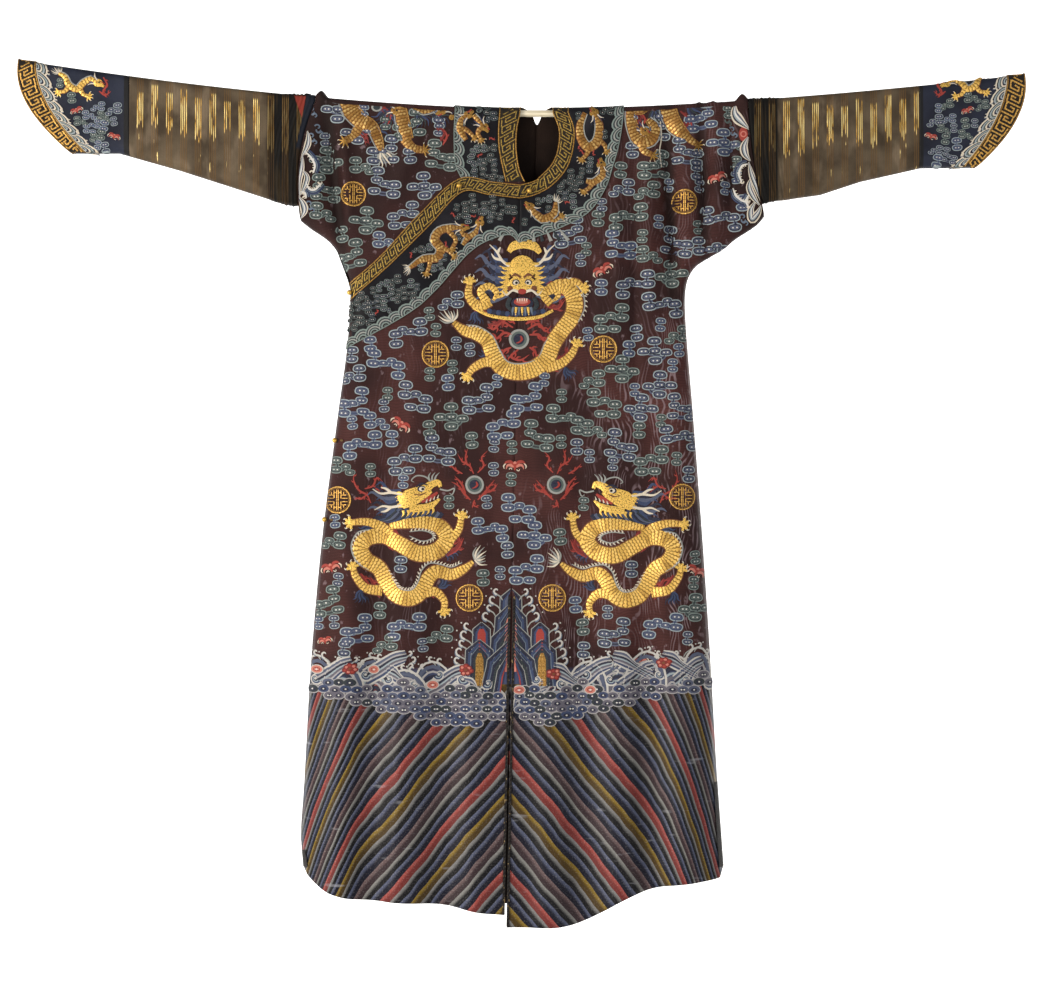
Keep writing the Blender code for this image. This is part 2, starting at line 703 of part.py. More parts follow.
def back_stations(side):
    """One half of the back's neck, from the shoulder line to near the middle."""
    sign = SIDES[side]
    level = BACK_STRIPS[0]
    band_x, facing_x = NECK_LEFT[0].band_x, NECK_LEFT[0].facing_x
    if side == "right":
        band_x, facing_x = -NECK_RIGHT_BAND[0].x, -NECK_RIGHT_FACING[0].x
    ridge = (sign * band_x, sign * facing_x)
    foot = (BACK_MIDDLE + sign * level.band_x, BACK_MIDDLE + sign * level.facing_x)
    stations = []
    for index, down in enumerate(OVER_DOWNS):
        edge, end = blended([ridge], [foot], index / (len(OVER_DOWNS) - 1))[0]
        neck = sign * BACK_NECK_HALF["turns"][index]
        stations.append(((neck, down), (edge, down), (end, down)))
    for strip in BACK_STRIPS[1:]:
        stations.append((hung(BACK_MIDDLE + sign * strip.neck_x, strip.neck_z),
                         hung(BACK_MIDDLE + sign * strip.band_x, strip.band_z),
                         hung(BACK_MIDDLE + sign * strip.facing_x, strip.facing_z)))
    return stations


def make_back_trims(hang):
    middle = [hung(BACK_MIDDLE, z) for z in BACK_LOWEST]
    around = [*back_stations("right"), middle, *reversed(back_stations("left"))]
    lay_trims("back", hang, BACK, around)


def make_slit_braids(hangs):
    """Black braid on both edges of the front slit."""
    for side, rows in (("left", panel_rows("left", FRONT)), ("right", overlap_rows())):
        strip = []
        for row in rows:
            z = rod_height(row[0][0]) - row[0][1]
            if z > SLIT_TOP:
                continue
            width = abs(row[1][0] - row[0][0])
            near, far = BRAID_EDGE / width, (BRAID_EDGE + BRAID_WIDTH) / width
            strip.append([blended([row[0]], [row[1]], near)[0],
                          blended([row[0]], [row[1]], far)[0]])
        laid_cloth("slit_braid_" + side, hangs[side], FRONT, strip, "braid", **RAISED)


def make_button(name, hang, x, z, lift):
    ball = bmesh.new()
    bmesh.ops.create_uvsphere(ball, u_segments=BUTTON_SEGMENTS, v_segments=BUTTON_RINGS,
                              radius=BUTTON_RADIUS * MM)
    centre = hang.point(*hung(x, z), FRONT, lift + LAY + BUTTON_RADIUS)
    bmesh.ops.translate(ball, verts=ball.verts[:], vec=centre * MM)
    mesh_data = bpy.data.meshes.new("button_" + name)
    ball.to_mesh(mesh_data)
    ball.free()
    mesh_data.shade_smooth()
    add_object("button_" + name, mesh_data, "button")


def make_loop(name, hang, start, end, lift):
    """A flat braided loop that runs from a button to its sewn end."""
    run = Vector((end.x - start.x, end.z - start.z)).normalized()
    rows = []
    for step in range(LOOP_STATIONS + 1):
        x = start.x + (end.x - start.x) * step / LOOP_STATIONS
        z = start.z + (end.z - start.z) * step / LOOP_STATIONS
        rows.append([hung(x - run.y * LOOP_HALF, z + run.x * LOOP_HALF),
                     hung(x + run.y * LOOP_HALF, z - run.x * LOOP_HALF)])
    laid_cloth("loop_" + name, hang, FRONT, rows, "braid", lift + LAY + BRAID_WALL, BRAID_WALL)


def make_fastenings(hangs):
    for fastening in FASTENINGS:
        hang = hangs[fastening.side]
        x = fastening.x
        if fastening.on_seam:
            x = x_at(SIDE_SEAM["right"], fastening.z) + fastening.x
        start = Point(x + fastening.run_x, fastening.z + fastening.run_z)
        end = Point(start.x + fastening.run_x * LOOP_REACH, start.z + fastening.run_z * LOOP_REACH)
        make_button(fastening.name, hang, x, fastening.z, fastening.lift)
        make_loop(fastening.name, hang, start, end, fastening.lift)


def build():
    clear_scene()
    hangs = {side: Hang(side, SIDE_SEAM[side], body_radius) for side in SIDES}
    under_hang = Hang("right", SIDE_SEAM["right"], body_radius, folded=False,
                      tuck=under_tuck, inset=under_inset)
    make_rod()
    make_bodies(hangs, under_hang)
    make_left_trims(hangs["left"])
    make_right_trims(under_hang)
    make_overlap_trims(hangs["right"])
    make_back_trims(hangs["left"])
    make_slit_braids(hangs)
    make_fastenings(hangs)
    for side in SIDES:
        make_sleeve(side)


build()
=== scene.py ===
"""The looks of a brown silk court robe that hangs by its sleeves from a bowed rod.

Lengths are millimetres until a mesh is placed. A place on the cloth is given by its x and z as
seen from the front; a z above the rod's centre line carries on round the top of the rod.
"""

import math
import random
from collections import namedtuple

import bmesh
import bpy
import numpy as np
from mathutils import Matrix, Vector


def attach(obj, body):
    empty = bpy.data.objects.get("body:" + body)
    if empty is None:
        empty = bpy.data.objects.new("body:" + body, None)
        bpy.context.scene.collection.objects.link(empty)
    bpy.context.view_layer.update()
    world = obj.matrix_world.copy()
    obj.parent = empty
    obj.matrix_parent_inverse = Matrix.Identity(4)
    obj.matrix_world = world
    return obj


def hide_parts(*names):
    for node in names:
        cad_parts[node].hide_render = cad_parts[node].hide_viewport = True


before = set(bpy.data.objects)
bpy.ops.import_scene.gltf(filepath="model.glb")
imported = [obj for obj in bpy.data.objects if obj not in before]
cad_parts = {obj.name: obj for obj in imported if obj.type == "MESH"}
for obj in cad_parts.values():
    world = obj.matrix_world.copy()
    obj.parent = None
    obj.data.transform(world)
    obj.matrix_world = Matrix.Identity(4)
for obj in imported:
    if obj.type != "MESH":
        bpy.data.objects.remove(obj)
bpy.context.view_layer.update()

# ------------------------------------------------------------------ camera, light and floor
# A long lens looks straight at the front, a little right of the middle of the hem. The robe
# hangs clear of a wide pale floor that curves up, far behind it, into a brightly lit backdrop.
VIEW_X, VIEW_Z = -0.0212, -0.6823
VIEW_DISTANCE = 5.141
LENS, SENSOR = 100.0, 36.0
FLOOR_Z = -1.75
SWEEP_BACK, SWEEP_FRONT, SWEEP_HALF, SWEEP_TOP = 9.0, -14.0, 14.0, 7.0
SWEEP_RADIUS = 2.6
SWEEP_COLOUR = (0.94, 0.94, 0.935, 1)
SWEEP_GLOW, GLOW_FROM, GLOW_FULL = 0.75, 0.4, 3.0
Lamp = namedtuple("Lamp", "name place power size")
LAMPS = [
    Lamp("key", (-3.4, -2.7, -0.3), 165, 1.2),
    Lamp("fill", (3.2, -4.4, -0.9), 60, 3.0),
    Lamp("back", (1.8, 3.6, 1.2), 90, 2.0),
]
AIM = (0.0, 0.0, -0.6)
SKY = (1.0, 1.0, 1.0, 1)
SKY_STRENGTH = 0.5
WARM = (1.0, 0.93, 0.84)


def dye(red, green, blue):
    """A colour as the eye reads it, from 0 to 255, made linear for a shader."""
    return tuple((c / 255 / 12.92) if c <= 10 else ((c / 255 + 0.055) / 1.055) ** 2.4
                 for c in (red, green, blue)) + (1.0,)


class Value:
    """What comes out of a node; arithmetic on it adds Math nodes."""

    def __init__(self, finish, socket):
        self.finish = finish
        self.socket = socket

    def math(self, operation, *others):
        return self.finish.math(operation, self, *others)

    def __add__(self, other):
        return self.math("ADD", other)

    def __radd__(self, other):
        return self.math("ADD", other)

    def __sub__(self, other):
        return self.math("SUBTRACT", other)

    def __rsub__(self, other):
        return self.finish.math("SUBTRACT", other, self)

    def __mul__(self, other):
        return self.math("MULTIPLY", other)

    def __rmul__(self, other):
        return self.math("MULTIPLY", other)

    def __truediv__(self, other):
        return self.math("DIVIDE", other)

    def __mod__(self, other):
        return self.math("FLOORED_MODULO", other)

    def __abs__(self):
        return self.math("ABSOLUTE")

    def ramp(self, low, high):
        """0 below low, 1 above high, and smooth between them; low may be the larger."""
        node = self.finish.node("ShaderNodeMapRange", {"interpolation_type": "SMOOTHSTEP"},
                                {"Value": self, "From Min": low, "From Max": high})
        return Value(self.finish, node.outputs["Result"])


class Finish:
    """A material, and the one way in which its nodes are added."""

    def __init__(self, name, **fixed):
        self.material = bpy.data.materials.new(name)
        self.material.use_nodes = True
        self.tree = self.material.node_tree
        self.shader = self.tree.nodes["Principled BSDF"]
        for socket, value in fixed.items():
            self.shader.inputs[socket.replace("_", " ")].default_value = value

    def node(self, kind, settings=(), sockets=()):
        made = self.tree.nodes.new(kind)
        for name, value in dict(settings).items():
            if name == "stops":
                self.set_stops(made.color_ramp, value)
            else:
                setattr(made, name, value)
        for name, value in dict(sockets).items():
            self.join(made.inputs[name], value)
        return made

    def set_stops(self, ramp, stops):
        ramp.interpolation = "CONSTANT"
        for index, (place, colour) in enumerate(stops):
            stop = ramp.elements[index] if index < 2 else ramp.elements.new(place)
            stop.position = place
            stop.color = colour

    def join(self, socket, value):
        if isinstance(value, Value):
            self.tree.links.new(value.socket, socket)
        else:
            socket.default_value = value

    def feed(self, name, value):
        self.join(self.shader.inputs[name], value)

    def math(self, operation, *values):
        node = self.node("ShaderNodeMath", {"operation": operation}, dict(enumerate(values)))
        return Value(self, node.outputs[0])

    def mix(self, share, first, second):
        """Colours mixed by a share of the second."""
        node = self.node("ShaderNodeMix", {"data_type": "RGBA"}, {0: share, 6: first, 7: second})
        return Value(self, node.outputs[2])

    def blend(self, share, first, second):
        """Numbers mixed by a share of the second."""
        node = self.node("ShaderNodeMix", {}, {0: share, 2: first, 3: second})
        return Value(self, node.outputs[0])

    def noise(self, place, scale, detail=2.0):
        node = self.node("ShaderNodeTexNoise", {}, {"Vector": place, "Scale": scale,
                                                    "Detail": detail})
        return Value(self, node.outputs[0])

    def stretched(self, place, scale):
        """Coordinates multiplied by a size for each axis."""
        node = self.node("ShaderNodeVectorMath", {"operation": "MULTIPLY"}, {0: place, 1: scale})
        return Value(self, node.outputs[0])

    def grain(self, place, across, along, detail=2.0):
        """Noise so many times to the metre across and along."""
        return self.noise(self.stretched(place, (across, along, 1)), 1.0, detail)

    def object_place(self):
        return Value(self, self.node("ShaderNodeTexCoord").outputs["Object"])

    def flat_place(self, name):
        """The piece's own flat coordinates, in metres."""
        return Value(self, self.node("ShaderNodeUVMap", {"uv_map": name}).outputs["UV"])

    def parts(self, place):
        """x and y of coordinates, in millimetres."""
        node = self.node("ShaderNodeSeparateXYZ", {}, {0: place})
        return Value(self, node.outputs[0]) * 1000, Value(self, node.outputs[1]) * 1000

    def attribute(self, name, output):
        node = self.node("ShaderNodeAttribute", {"attribute_name": name})
        return Value(self, node.outputs[output])

    def weave(self, x, z, pitch):
        """Fine even ribs both ways."""
        rib = (z * pitch).math("SINE") * (x * pitch).math("SINE")
        self.raise_by(rib * 0.5 + 0.5, 0.12)

    def raise_by(self, height, distance):
        """Feeds the normal from a height of 0 to 1 that stands for a distance in millimetres."""
        node = self.node("ShaderNodeBump", {}, {"Height": height, "Distance": distance * MM})
        self.feed("Normal", Value(self, node.outputs["Normal"]))


MM = 0.001


def settled(shape, name):
    """A mesh made from a bmesh, which is freed."""
    mesh = bpy.data.meshes.new(name)
    shape.to_mesh(mesh)
    shape.free()
    return mesh


def in_scene(name, data):
    item = bpy.data.objects.new(name, data)
    bpy.context.scene.collection.objects.link(item)
    return item


def sweep_paper():
    paper = Finish("sweep_paper", Base_Color=SWEEP_COLOUR, Roughness=0.9,
                   Emission_Strength=SWEEP_GLOW)
    far = paper.node("ShaderNodeSeparateXYZ", {}, {0: paper.object_place()})
    glow = Value(paper, far.outputs[1]).ramp(GLOW_FROM, GLOW_FULL)
    paper.feed("Emission Color", paper.mix(glow, (0, 0, 0, 1), (1, 1, 1, 1)))
    return paper.material


def make_camera():
    lens = bpy.data.cameras.new("view")
    lens.lens = LENS
    lens.sensor_width = SENSOR
    lens.clip_end = 60.0
    camera = in_scene("view", lens)
    camera.location = (VIEW_X, -VIEW_DISTANCE, VIEW_Z)
    camera.rotation_euler = (math.pi / 2, 0, 0)
    bpy.context.scene.camera = camera


def make_lamp(lamp):
    light = bpy.data.lights.new(lamp.name, "AREA")
    light.energy = lamp.power
    light.color = WARM
    light.shape = "SQUARE"
    light.size = lamp.size
    item = in_scene(lamp.name, light)
    item.location = lamp.place
    aim = [goal - start for goal, start in zip(AIM, lamp.place)]
    item.rotation_euler = Vector(aim).to_track_quat("-Z", "Y").to_euler()


def make_sweep():
    """A floor that curves up into a back wall."""
    paper = bmesh.new()
    start = paper.verts.new((-SWEEP_HALF, SWEEP_FRONT, FLOOR_Z))
    corner = paper.verts.new((-SWEEP_HALF, SWEEP_BACK, FLOOR_Z))
    top = paper.verts.new((-SWEEP_HALF, SWEEP_BACK, SWEEP_TOP))
    for ends in ((start, corner), (corner, top)):
        paper.edges.new(ends)
    bmesh.ops.bevel(paper, geom=[corner], offset=SWEEP_RADIUS, affect="VERTICES", segments=12,
                    profile=0.5, material=-1)
    bmesh.ops.remove_doubles(paper, verts=paper.verts[:], dist=1e-5)
    side = bmesh.ops.extrude_edge_only(paper, edges=paper.edges[:])
    moved = [item for item in side["geom"] if isinstance(item, bmesh.types.BMVert)]
    bmesh.ops.translate(paper, verts=moved, vec=(2 * SWEEP_HALF, 0, 0))
    bmesh.ops.recalc_face_normals(paper, faces=paper.faces[:])
    sheet = settled(paper, "sweep")
    sweep = in_scene("sweep", sheet)
    sheet.shade_smooth()
    sheet.materials.append(sweep_paper())


def make_sky():
    world = bpy.data.worlds.new("sky")
    world.use_nodes = True
    background = world.node_tree.nodes["Background"].inputs
    background["Color"].default_value = SKY
    background["Strength"].default_value = SKY_STRENGTH
    bpy.context.scene.world = world


bpy.context.scene.view_settings.view_transform = "Standard"
make_camera()
for lamp in LAMPS:
    make_lamp(lamp)
make_sweep()
make_sky()

# ------------------------------------------------------------------ the rod
# A turned pole of pale wood, steamed to a shallow bow. It shows only in the neck opening and
# keeps its solid's own form; the grain runs along it.


ROD_LIGHT, ROD_DARK = dye(222, 214, 190), dye(184, 170, 140)


def rod_wood():
    wood = Finish("rod_wood", Specular_IOR_Level=0.4)
    grain = wood.noise(wood.stretched(wood.object_place(), (6, 260, 260)), 1.0, 4.0)
    wood.feed("Base Color", wood.mix(grain.ramp(0.35, 0.7), ROD_LIGHT, ROD_DARK))
    wood.feed("Roughness", 0.42 + 0.2 * grain)
    wood.raise_by(grain, 0.15)
    return wood.material


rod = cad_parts["rod"]
rod.data.materials.clear()
rod.data.materials.append(rod_wood())

# ------------------------------------------------------------------ how the cloth hangs
# Every piece of silk hangs from the rod in two layers that meet along the side seams and under
# the sleeves. One surface, worked out from the rod's bow, the flare of the hem and the folds,
# carries the body, its trimmings and all the needlework.
FRONT, BACK = -1, 1
SIDES = {"right": -1, "left": 1}
OVER_ROD = 8.5
QUARTER = math.pi / 2 * OVER_ROD
FLARE = 0.048
ROD_BOW = 1.65
Bend = namedtuple("Bend", "half rise")
ROD = {"right": Bend(911, 86), "left": Bend(855, 60)}
SIDE_SEAM = {
    "right": [(-415, -190), (-396, -205), (-369, -223), (-353, -241), (-346, -258), (-330, -303),
              (-328, -331), (-334, -417), (-351, -541), (-378, -753), (-397, -965),
              (-409, -1177), (-415, -1270), (-410, -1330)],
    "left": [(403, -182), (388, -199), (351, -223), (330, -241), (300, -258), (277, -276),
             (264, -311), (265, -382), (278, -541), (294, -753), (308, -965), (320, -1177),
             (331, -1328)],
}
SLEEVE_BOTTOM = {
    "right": [(-415, -163), (-452, -158), (-523, -135), (-629, -101), (-735, -71), (-819, -71)],
    "left": [(400, -160), (431, -154), (502, -144), (572, -121), (678, -97), (775, -96)],
}
ROUND_Z, ROUND_RADIUS = (-1330, -300, -190), (75, 30, 24)
SLEEVE_ROUND = 24.0
SEAM_REACH, LEAST_OFF = 120.0, 0.15
# folds: ridges have a positive depth and troughs a negative one
Fold = namedtuple("Fold", "top_x top_z foot_x foot_z depth width")
SKIRT_FOLDS = {
    FRONT: [
        Fold(-300, -500, -352, -1400, 9, 46), Fold(-262, -430, -292, -1400, -10, 44),
        Fold(-215, -560, -232, -1400, 9, 48), Fold(-160, -480, -166, -1400, -9, 46),
        Fold(-105, -650, -106, -1400, 7, 44), Fold(30, -600, 22, -1430, 9, 48),
        Fold(88, -450, 84, -1430, -11, 46), Fold(140, -560, 148, -1400, 10, 46),
        Fold(182, -420, 206, -1370, -10, 42), Fold(216, -560, 262, -1360, 8, 40),
    ],
    BACK: [
        Fold(-285, -480, -340, -1400, 9, 50), Fold(-230, -520, -270, -1400, -11, 50),
        Fold(-170, -460, -200, -1400, 10, 50), Fold(-110, -560, -130, -1400, -9, 46),
        Fold(40, -520, 30, -1430, 9, 50), Fold(100, -460, 100, -1430, -11, 50),
        Fold(155, -540, 168, -1390, 10, 46), Fold(205, -480, 236, -1360, -9, 46),
    ],
}
CREASES = {
    FRONT: [
        Fold(229, 14, 244, -350, -15, 19), Fold(196, -10, 206, -420, 8, 24),
        Fold(-372, 24, -338, -280, -12, 19), Fold(-345, 14, -322, -250, 7, 22),
        Fold(-200, 0, -250, -150, 4, 26), Fold(258, 10, 276, -300, 6.0, 20),
        Fold(290, 14, 296, -260, -10.0, 16), Fold(172, -30, 176, -540, -5.0, 14),
        Fold(140, -10, 146, -460, 3.4, 14), Fold(318, 16, 322, -230, 6.0, 17),
        Fold(348, 24, 340, -210, -7.0, 14), Fold(-386, 16, -360, -240, -3.0, 12),
        Fold(-352, 14, -330, -230, -2.4, 11), Fold(-330, 10, -318, -300, -2.0, 11),
        Fold(-296, 12, -290, -140, 1.6, 14), Fold(-120, -300, -150, -640, -1.6, 18),
        Fold(-210, -380, -226, -700, 1.6, 20), Fold(96, -280, 104, -620, -1.8, 18),
        Fold(40, -330, 32, -760, 1.4, 20), Fold(-70, -420, -84, -900, -1.5, 16),
    ],
    BACK: [
        Fold(235, 12, 240, -380, -5, 30), Fold(-260, 12, -262, -380, -5, 30),
        Fold(192, 0, 194, -420, 5, 30), Fold(-196, 0, -202, -420, 5, 32),
        Fold(300, 14, 312, -200, -2.4, 10), Fold(-330, 12, -322, -260, -2.6, 10),
        Fold(-372, 14, -352, -220, 2.2, 12), Fold(150, -60, 158, -520, -1.8, 14),
        Fold(-120, -100, -132, -560, 1.8, 16), Fold(60, -200, 64, -700, -1.6, 16),
        Fold(-60, -240, -70, -760, -1.6, 15), Fold(352, 18, 356, -170, 2.0, 11),
    ],
}
# cloth pinched up on the rod
Tuft = namedtuple("Tuft", "x height width")
TUFTS = [Tuft(-379, 12, 15), Tuft(364, 12, 15), Tuft(311, 3.5, 7), Tuft(287, 2.5, 6),
         Tuft(-404, 3.0, 6)]
# slow and quick waves that keep loose silk from lying dead flat
Ripple = namedtuple("Ripple", "across down height")
RIPPLES = [Ripple(173, 410, 0.9), Ripple(67, 240, 0.45), Ripple(29, 130, 0.22)]
RIPPLE_SHIFT, RIPPLE_SWAY = 1.3, 0.35
# the under front hangs back from the overlap that covers it
OVERLAP_EDGE = [(-28, -128), (-75, -123), (-136, -117), (-205, -179), (-275, -255), (-330, -303)]
TUCK, TUCK_FROM, TUCK_FULL, TUCK_HEM = 2.4, 80, 40, 15.0
UNDER_SPREAD_TOP, UNDER_FOOT = -420, -1405
UNDER_INSET, INSET_FROM, INSET_FULL = 3.6, -225, -262
SHOULDER_FADE = (20, 70)


def curved(points, steps=6, closed=False):
    """A smooth line through points, with so many steps from each point to the next."""
    knots = np.array(points, float)
    if closed:
        knots = np.vstack([knots[-1:], knots, knots[:2]])
    else:
        knots = np.vstack([2 * knots[:1] - knots[1:2], knots, 2 * knots[-1:] - knots[-2:-1]])
    t = (np.arange(steps) / steps)[None, :, None]
    a, b, c, d = (knots[i:len(knots) - 3 + i, None] for i in range(4))
    line = b + 0.5 * t * (c - a + t * (2 * a - 5 * b + 4 * c - d + t * (3 * (b - c) + d - a)))
    line = line.reshape(-1, knots.shape[1])
    return line if closed else np.vstack([line, knots[-2:-1]])


def smooth(value):
    value = np.clip(value, 0.0, 1.0)
    return value * value * (3 - 2 * value)


def rod_height(x):
    right = ROD["right"].rise * (np.abs(x) / ROD["right"].half) ** ROD_BOW
    left = ROD["left"].rise * (np.abs(x) / ROD["left"].half) ** ROD_BOW
    return np.where(x < 0, right, left)


def x_on(line, z):
    """x of a line that falls from its first point, at heights z."""
    line = np.array(line, float)
    return np.interp(-np.asarray(z, float), -line[:, 1], line[:, 0])


def z_on(line, x):
    """z of a line that runs across, at places x."""
    line = np.array(sorted(map(tuple, line)), float)
    return np.interp(x, line[:, 0], line[:, 1])


def distance_to(line, x, z):
    best = np.full(np.shape(x), np.inf)
    for (ax, az), (bx, bz) in zip(line[:-1], line[1:]):
        run_x, run_z = bx - ax, bz - az
        share = ((x - ax) * run_x + (z - az) * run_z) / (run_x ** 2 + run_z ** 2)
        share = np.clip(share, 0, 1)
        best = np.minimum(best, (x - ax - share * run_x) ** 2 + (z - az - share * run_z) ** 2)
    return np.sqrt(best)


FOLD_SHARE = 1.35


def fold_height(x, z, face):
    total = np.zeros(np.shape(x))
    for fold in SKIRT_FOLDS[face] + CREASES[face]:
        share = (fold.top_z - z) / (fold.top_z - fold.foot_z)
        middle = fold.top_x + (fold.foot_x - fold.top_x) * share
        away = np.minimum(np.abs(x - middle) / fold.width, 1.0)
        if fold in SKIRT_FOLDS[face]:
            strength = np.clip(share, 0, 1)
        else:
            strength = np.sin(math.pi * np.clip(share, 0, 1))
        total += FOLD_SHARE * fold.depth * strength * 0.5 * (1 + np.cos(math.pi * away))
    for ripple in RIPPLES:
        phase = x / ripple.across + face * RIPPLE_SHIFT
        phase = phase + RIPPLE_SWAY * np.sin(z / ripple.down)
        total += ripple.height * np.sin(2 * math.pi * phase)
    return total


def shoulder_height(x, z, face):
    """The folds of the right shoulder, which fade where the overlap covers it."""
    above = (z - z_on(OVERLAP_EDGE, x) - SHOULDER_FADE[0]) / SHOULDER_FADE[1]
    return fold_height(x, z, face) * smooth(above)


def body_radius(z):
    return np.interp(z, ROUND_Z, ROUND_RADIUS)


def sleeve_radius(z):
    return np.full(np.shape(z), SLEEVE_ROUND)


class Hang:
    """A layer of cloth that hangs from the rod and closes at its seam."""

    def __init__(self, seam, radius, folds=None, under=False):
        self.seam = curved(seam, 4)
        self.radius = radius
        self.folds = folds
        self.under = under

    def from_seam(self, x, z):
        """Distance from the seam, where it is near enough to matter."""
        if self.radius is sleeve_radius:
            return distance_to(self.seam, x, z)
        near = np.abs(x - x_on(self.seam, z)) < SEAM_REACH
        away = np.full(np.shape(x), SEAM_REACH)
        away[near] = distance_to(self.seam, x[near], z[near])
        return away

    def stand_off(self, x, z, face):
        """How far the outer face stands from the plane of the rod."""
        away = self.from_seam(x, z)
        off = OVER_ROD + FLARE * (rod_height(x) - z)
        if self.folds:
            off = off + self.folds(x, z, face)
        if self.under:
            above = z - z_on(OVERLAP_EDGE, x)
            spread = (UNDER_SPREAD_TOP - z) / (UNDER_SPREAD_TOP - UNDER_FOOT)
            off = off - TUCK * smooth((TUCK_FROM - above) / TUCK_FULL)
            off = off - TUCK_HEM * np.clip(spread, 0, 1)
            away = away - UNDER_INSET * smooth((INSET_FROM - z) / (INSET_FROM - INSET_FULL))
        share = np.clip(away / self.radius(z), 0, 1)
        return off * np.sqrt(1 - (1 - share) ** 2)

    def surface(self, x, z, face):
        """Places on the cloth's outer face, as rows of x, y and z."""
        rod_z = rod_height(x)
        turn = math.pi / 2 * np.clip(1 - (z - rod_z) / QUARTER, 0, 1)
        reach = np.full(np.shape(x), OVER_ROD)
        for tuft in TUFTS:
            away = np.minimum(np.abs(x - tuft.x) / tuft.width, 1.0)
            reach = reach + tuft.height * 0.5 * (1 + np.cos(math.pi * away)) * np.cos(turn) ** 2
        over = z > rod_z
        y = np.where(over, reach * np.sin(turn), self.stand_off(x, z, face))
        height = np.where(over, rod_z + reach * np.cos(turn), z)
        return np.stack([x, face * np.maximum(y, LEAST_OFF), height], -1)

    def place(self, x, z, face, lift=0.0):
        """The same, lifted off the cloth along its normal."""
        x, z = np.asarray(x, float), np.asarray(z, float)
        here = self.surface(x, z, face)
        if np.all(lift == 0.0):
            return here
        across = self.surface(x + 1, z, face) - self.surface(x - 1, z, face)
        along = self.surface(x, z + 1, face) - self.surface(x, z - 1, face)
        normal = -face * np.cross(across, along)
        normal /= np.maximum(np.linalg.norm(normal, axis=-1, keepdims=True), 1e-9)
        return here + normal * np.broadcast_to(lift, np.shape(x))[..., None]


HANGS = {side: Hang(SIDE_SEAM[side], body_radius, fold_height) for side in SIDES}
UNDER_HANG = Hang(SIDE_SEAM["right"], body_radius, shoulder_height, under=True)

# ------------------------------------------------------------------ the body's five panels
# Two backs, the left front, the right front under it and the overlap that buttons over to the
# wearer's right, all of brown tapestry silk with a plain dark silk lining. They are sewn down
# the middle and the sides and left open below the knee, where the stripes of standing water are
# worked in shaded floss.
WALL = 1.3
SEAM = 0.15
NECK = {
    "right": [(-28, 0), (-34, -29), (-35, -64), (-30, -99), (-19, -122), (-22, -128)],
    "left": [(30, 0), (41, -29), (39, -64), (28, -91), (7, -114), (-14, -126), (-28, -128)],
}
CENTRE_TOP, CENTRE_FOOT = (-28, -128), (-53.5, -1426)
BACK_NECK = [(9, 0), (5, -12), (0.5, -20)]
BACK_NECK_TURN = [9, 17, 28]
BACK_CENTRE = [(2, 0), (-49, -1426)]
HEM = {
    "right": [(-410, -1330), (-392, -1346), (-371, -1361), (-350, -1370), (-306, -1379),
              (-170, -1387), (-99, -1400), (-53, -1405)],
    "left": [(-53, -1426), (42, -1425), (88, -1414), (150, -1379), (200, -1361), (249, -1352),
             (321, -1343), (331, -1328)],
}
SLIT_TOP, SLIT_OPEN = -850, 2.0
FACES = {FRONT: "front", BACK: "back"}
Ring = namedtuple("Ring", "top bottom bow")
STUB = {"right": Ring(-389, -415, -15), "left": Ring(374, 403, -5)}
SIDE_FEET = {"right": -1330, "left": -1328}
CENTRE_FEET = {"right": -1405, "left": -1426}
OUTER_STATIONS = (-190, -205, -223, -241, -270, -303, -331)
INNER_STATIONS = (-132, -160, -190, -225, -262, -297, -331)
HEM_BEND = 240.0
OVERLAP_BULGE = 0.5
UNDER_EDGE, UNDER_SHORT = 3.0, 18.0
PANEL_COLUMNS, OVER_ROWS, SHOULDER_ROWS, SKIRT_ROWS = 66, 5, 30, 150


def ring_x(ring, share):
    return ring.top + (ring.bottom - ring.top) * share + ring.bow * 4 * share * (1 - share)


def centre_x(side, face, z):
    """The edge of a panel along the centre seam and its slit."""
    line = (CENTRE_TOP, CENTRE_FOOT) if face == FRONT else BACK_CENTRE
    opening = SLIT_OPEN * np.clip((SLIT_TOP - z) / (SLIT_TOP - CENTRE_FOOT[1]), 0, 1)
    return x_on(line, z) + SIDES[side] * (SEAM + opening)


def neck_x(side, face, z):
    """The edge of a panel along the neck, and below it along the centre seam."""
    z = np.asarray(z, float)
    if face == FRONT:
        line = curved(NECK[side], 5)
        return np.where(z > NECK[side][-1][1], x_on(line, z), centre_x(side, face, z))
    half = x_on(BACK_NECK, z)
    around = x_on(BACK_CENTRE, z) + SIDES[side] * half
    return np.where(z > BACK_NECK[-1][1], around, centre_x(side, face, z))


def across_shares(span, radius, columns=PANEL_COLUMNS, turned=14):
    """Even columns, closer together where the cloth turns in to its seam."""
    turn = radius / span
    even = np.linspace(0, 1 - turn, columns - turned, endpoint=False)
    return np.concatenate([even, 1 - turn * np.cos(np.linspace(0, math.pi / 2, turned))])


def rows_between(inner, outer, radii):
    """Rows of flat places from inner edge to outer edge, each edge a row of (x, z)."""
    grid = []
    for start, end, radius in zip(inner, outer, radii):
        shares = across_shares(abs(end[0] - start[0]), radius)[:, None]
        grid.append(start + (end - start) * shares)
    return np.array(grid)


def bent_to_hem(grid, side, short=0.0):
    """The same rows, of which the lowest bend to follow the hem."""
    last = grid[-1]
    sag = z_on(curved(HEM[side], 5), last[:, 0]) + short - last[:, 1]
    above = np.abs(grid[:, :1, 1] - last[:1, 1])
    bent = grid.copy()
    bent[:, :, 1] += sag[None] * smooth(1 - above / HEM_BEND)
    return bent


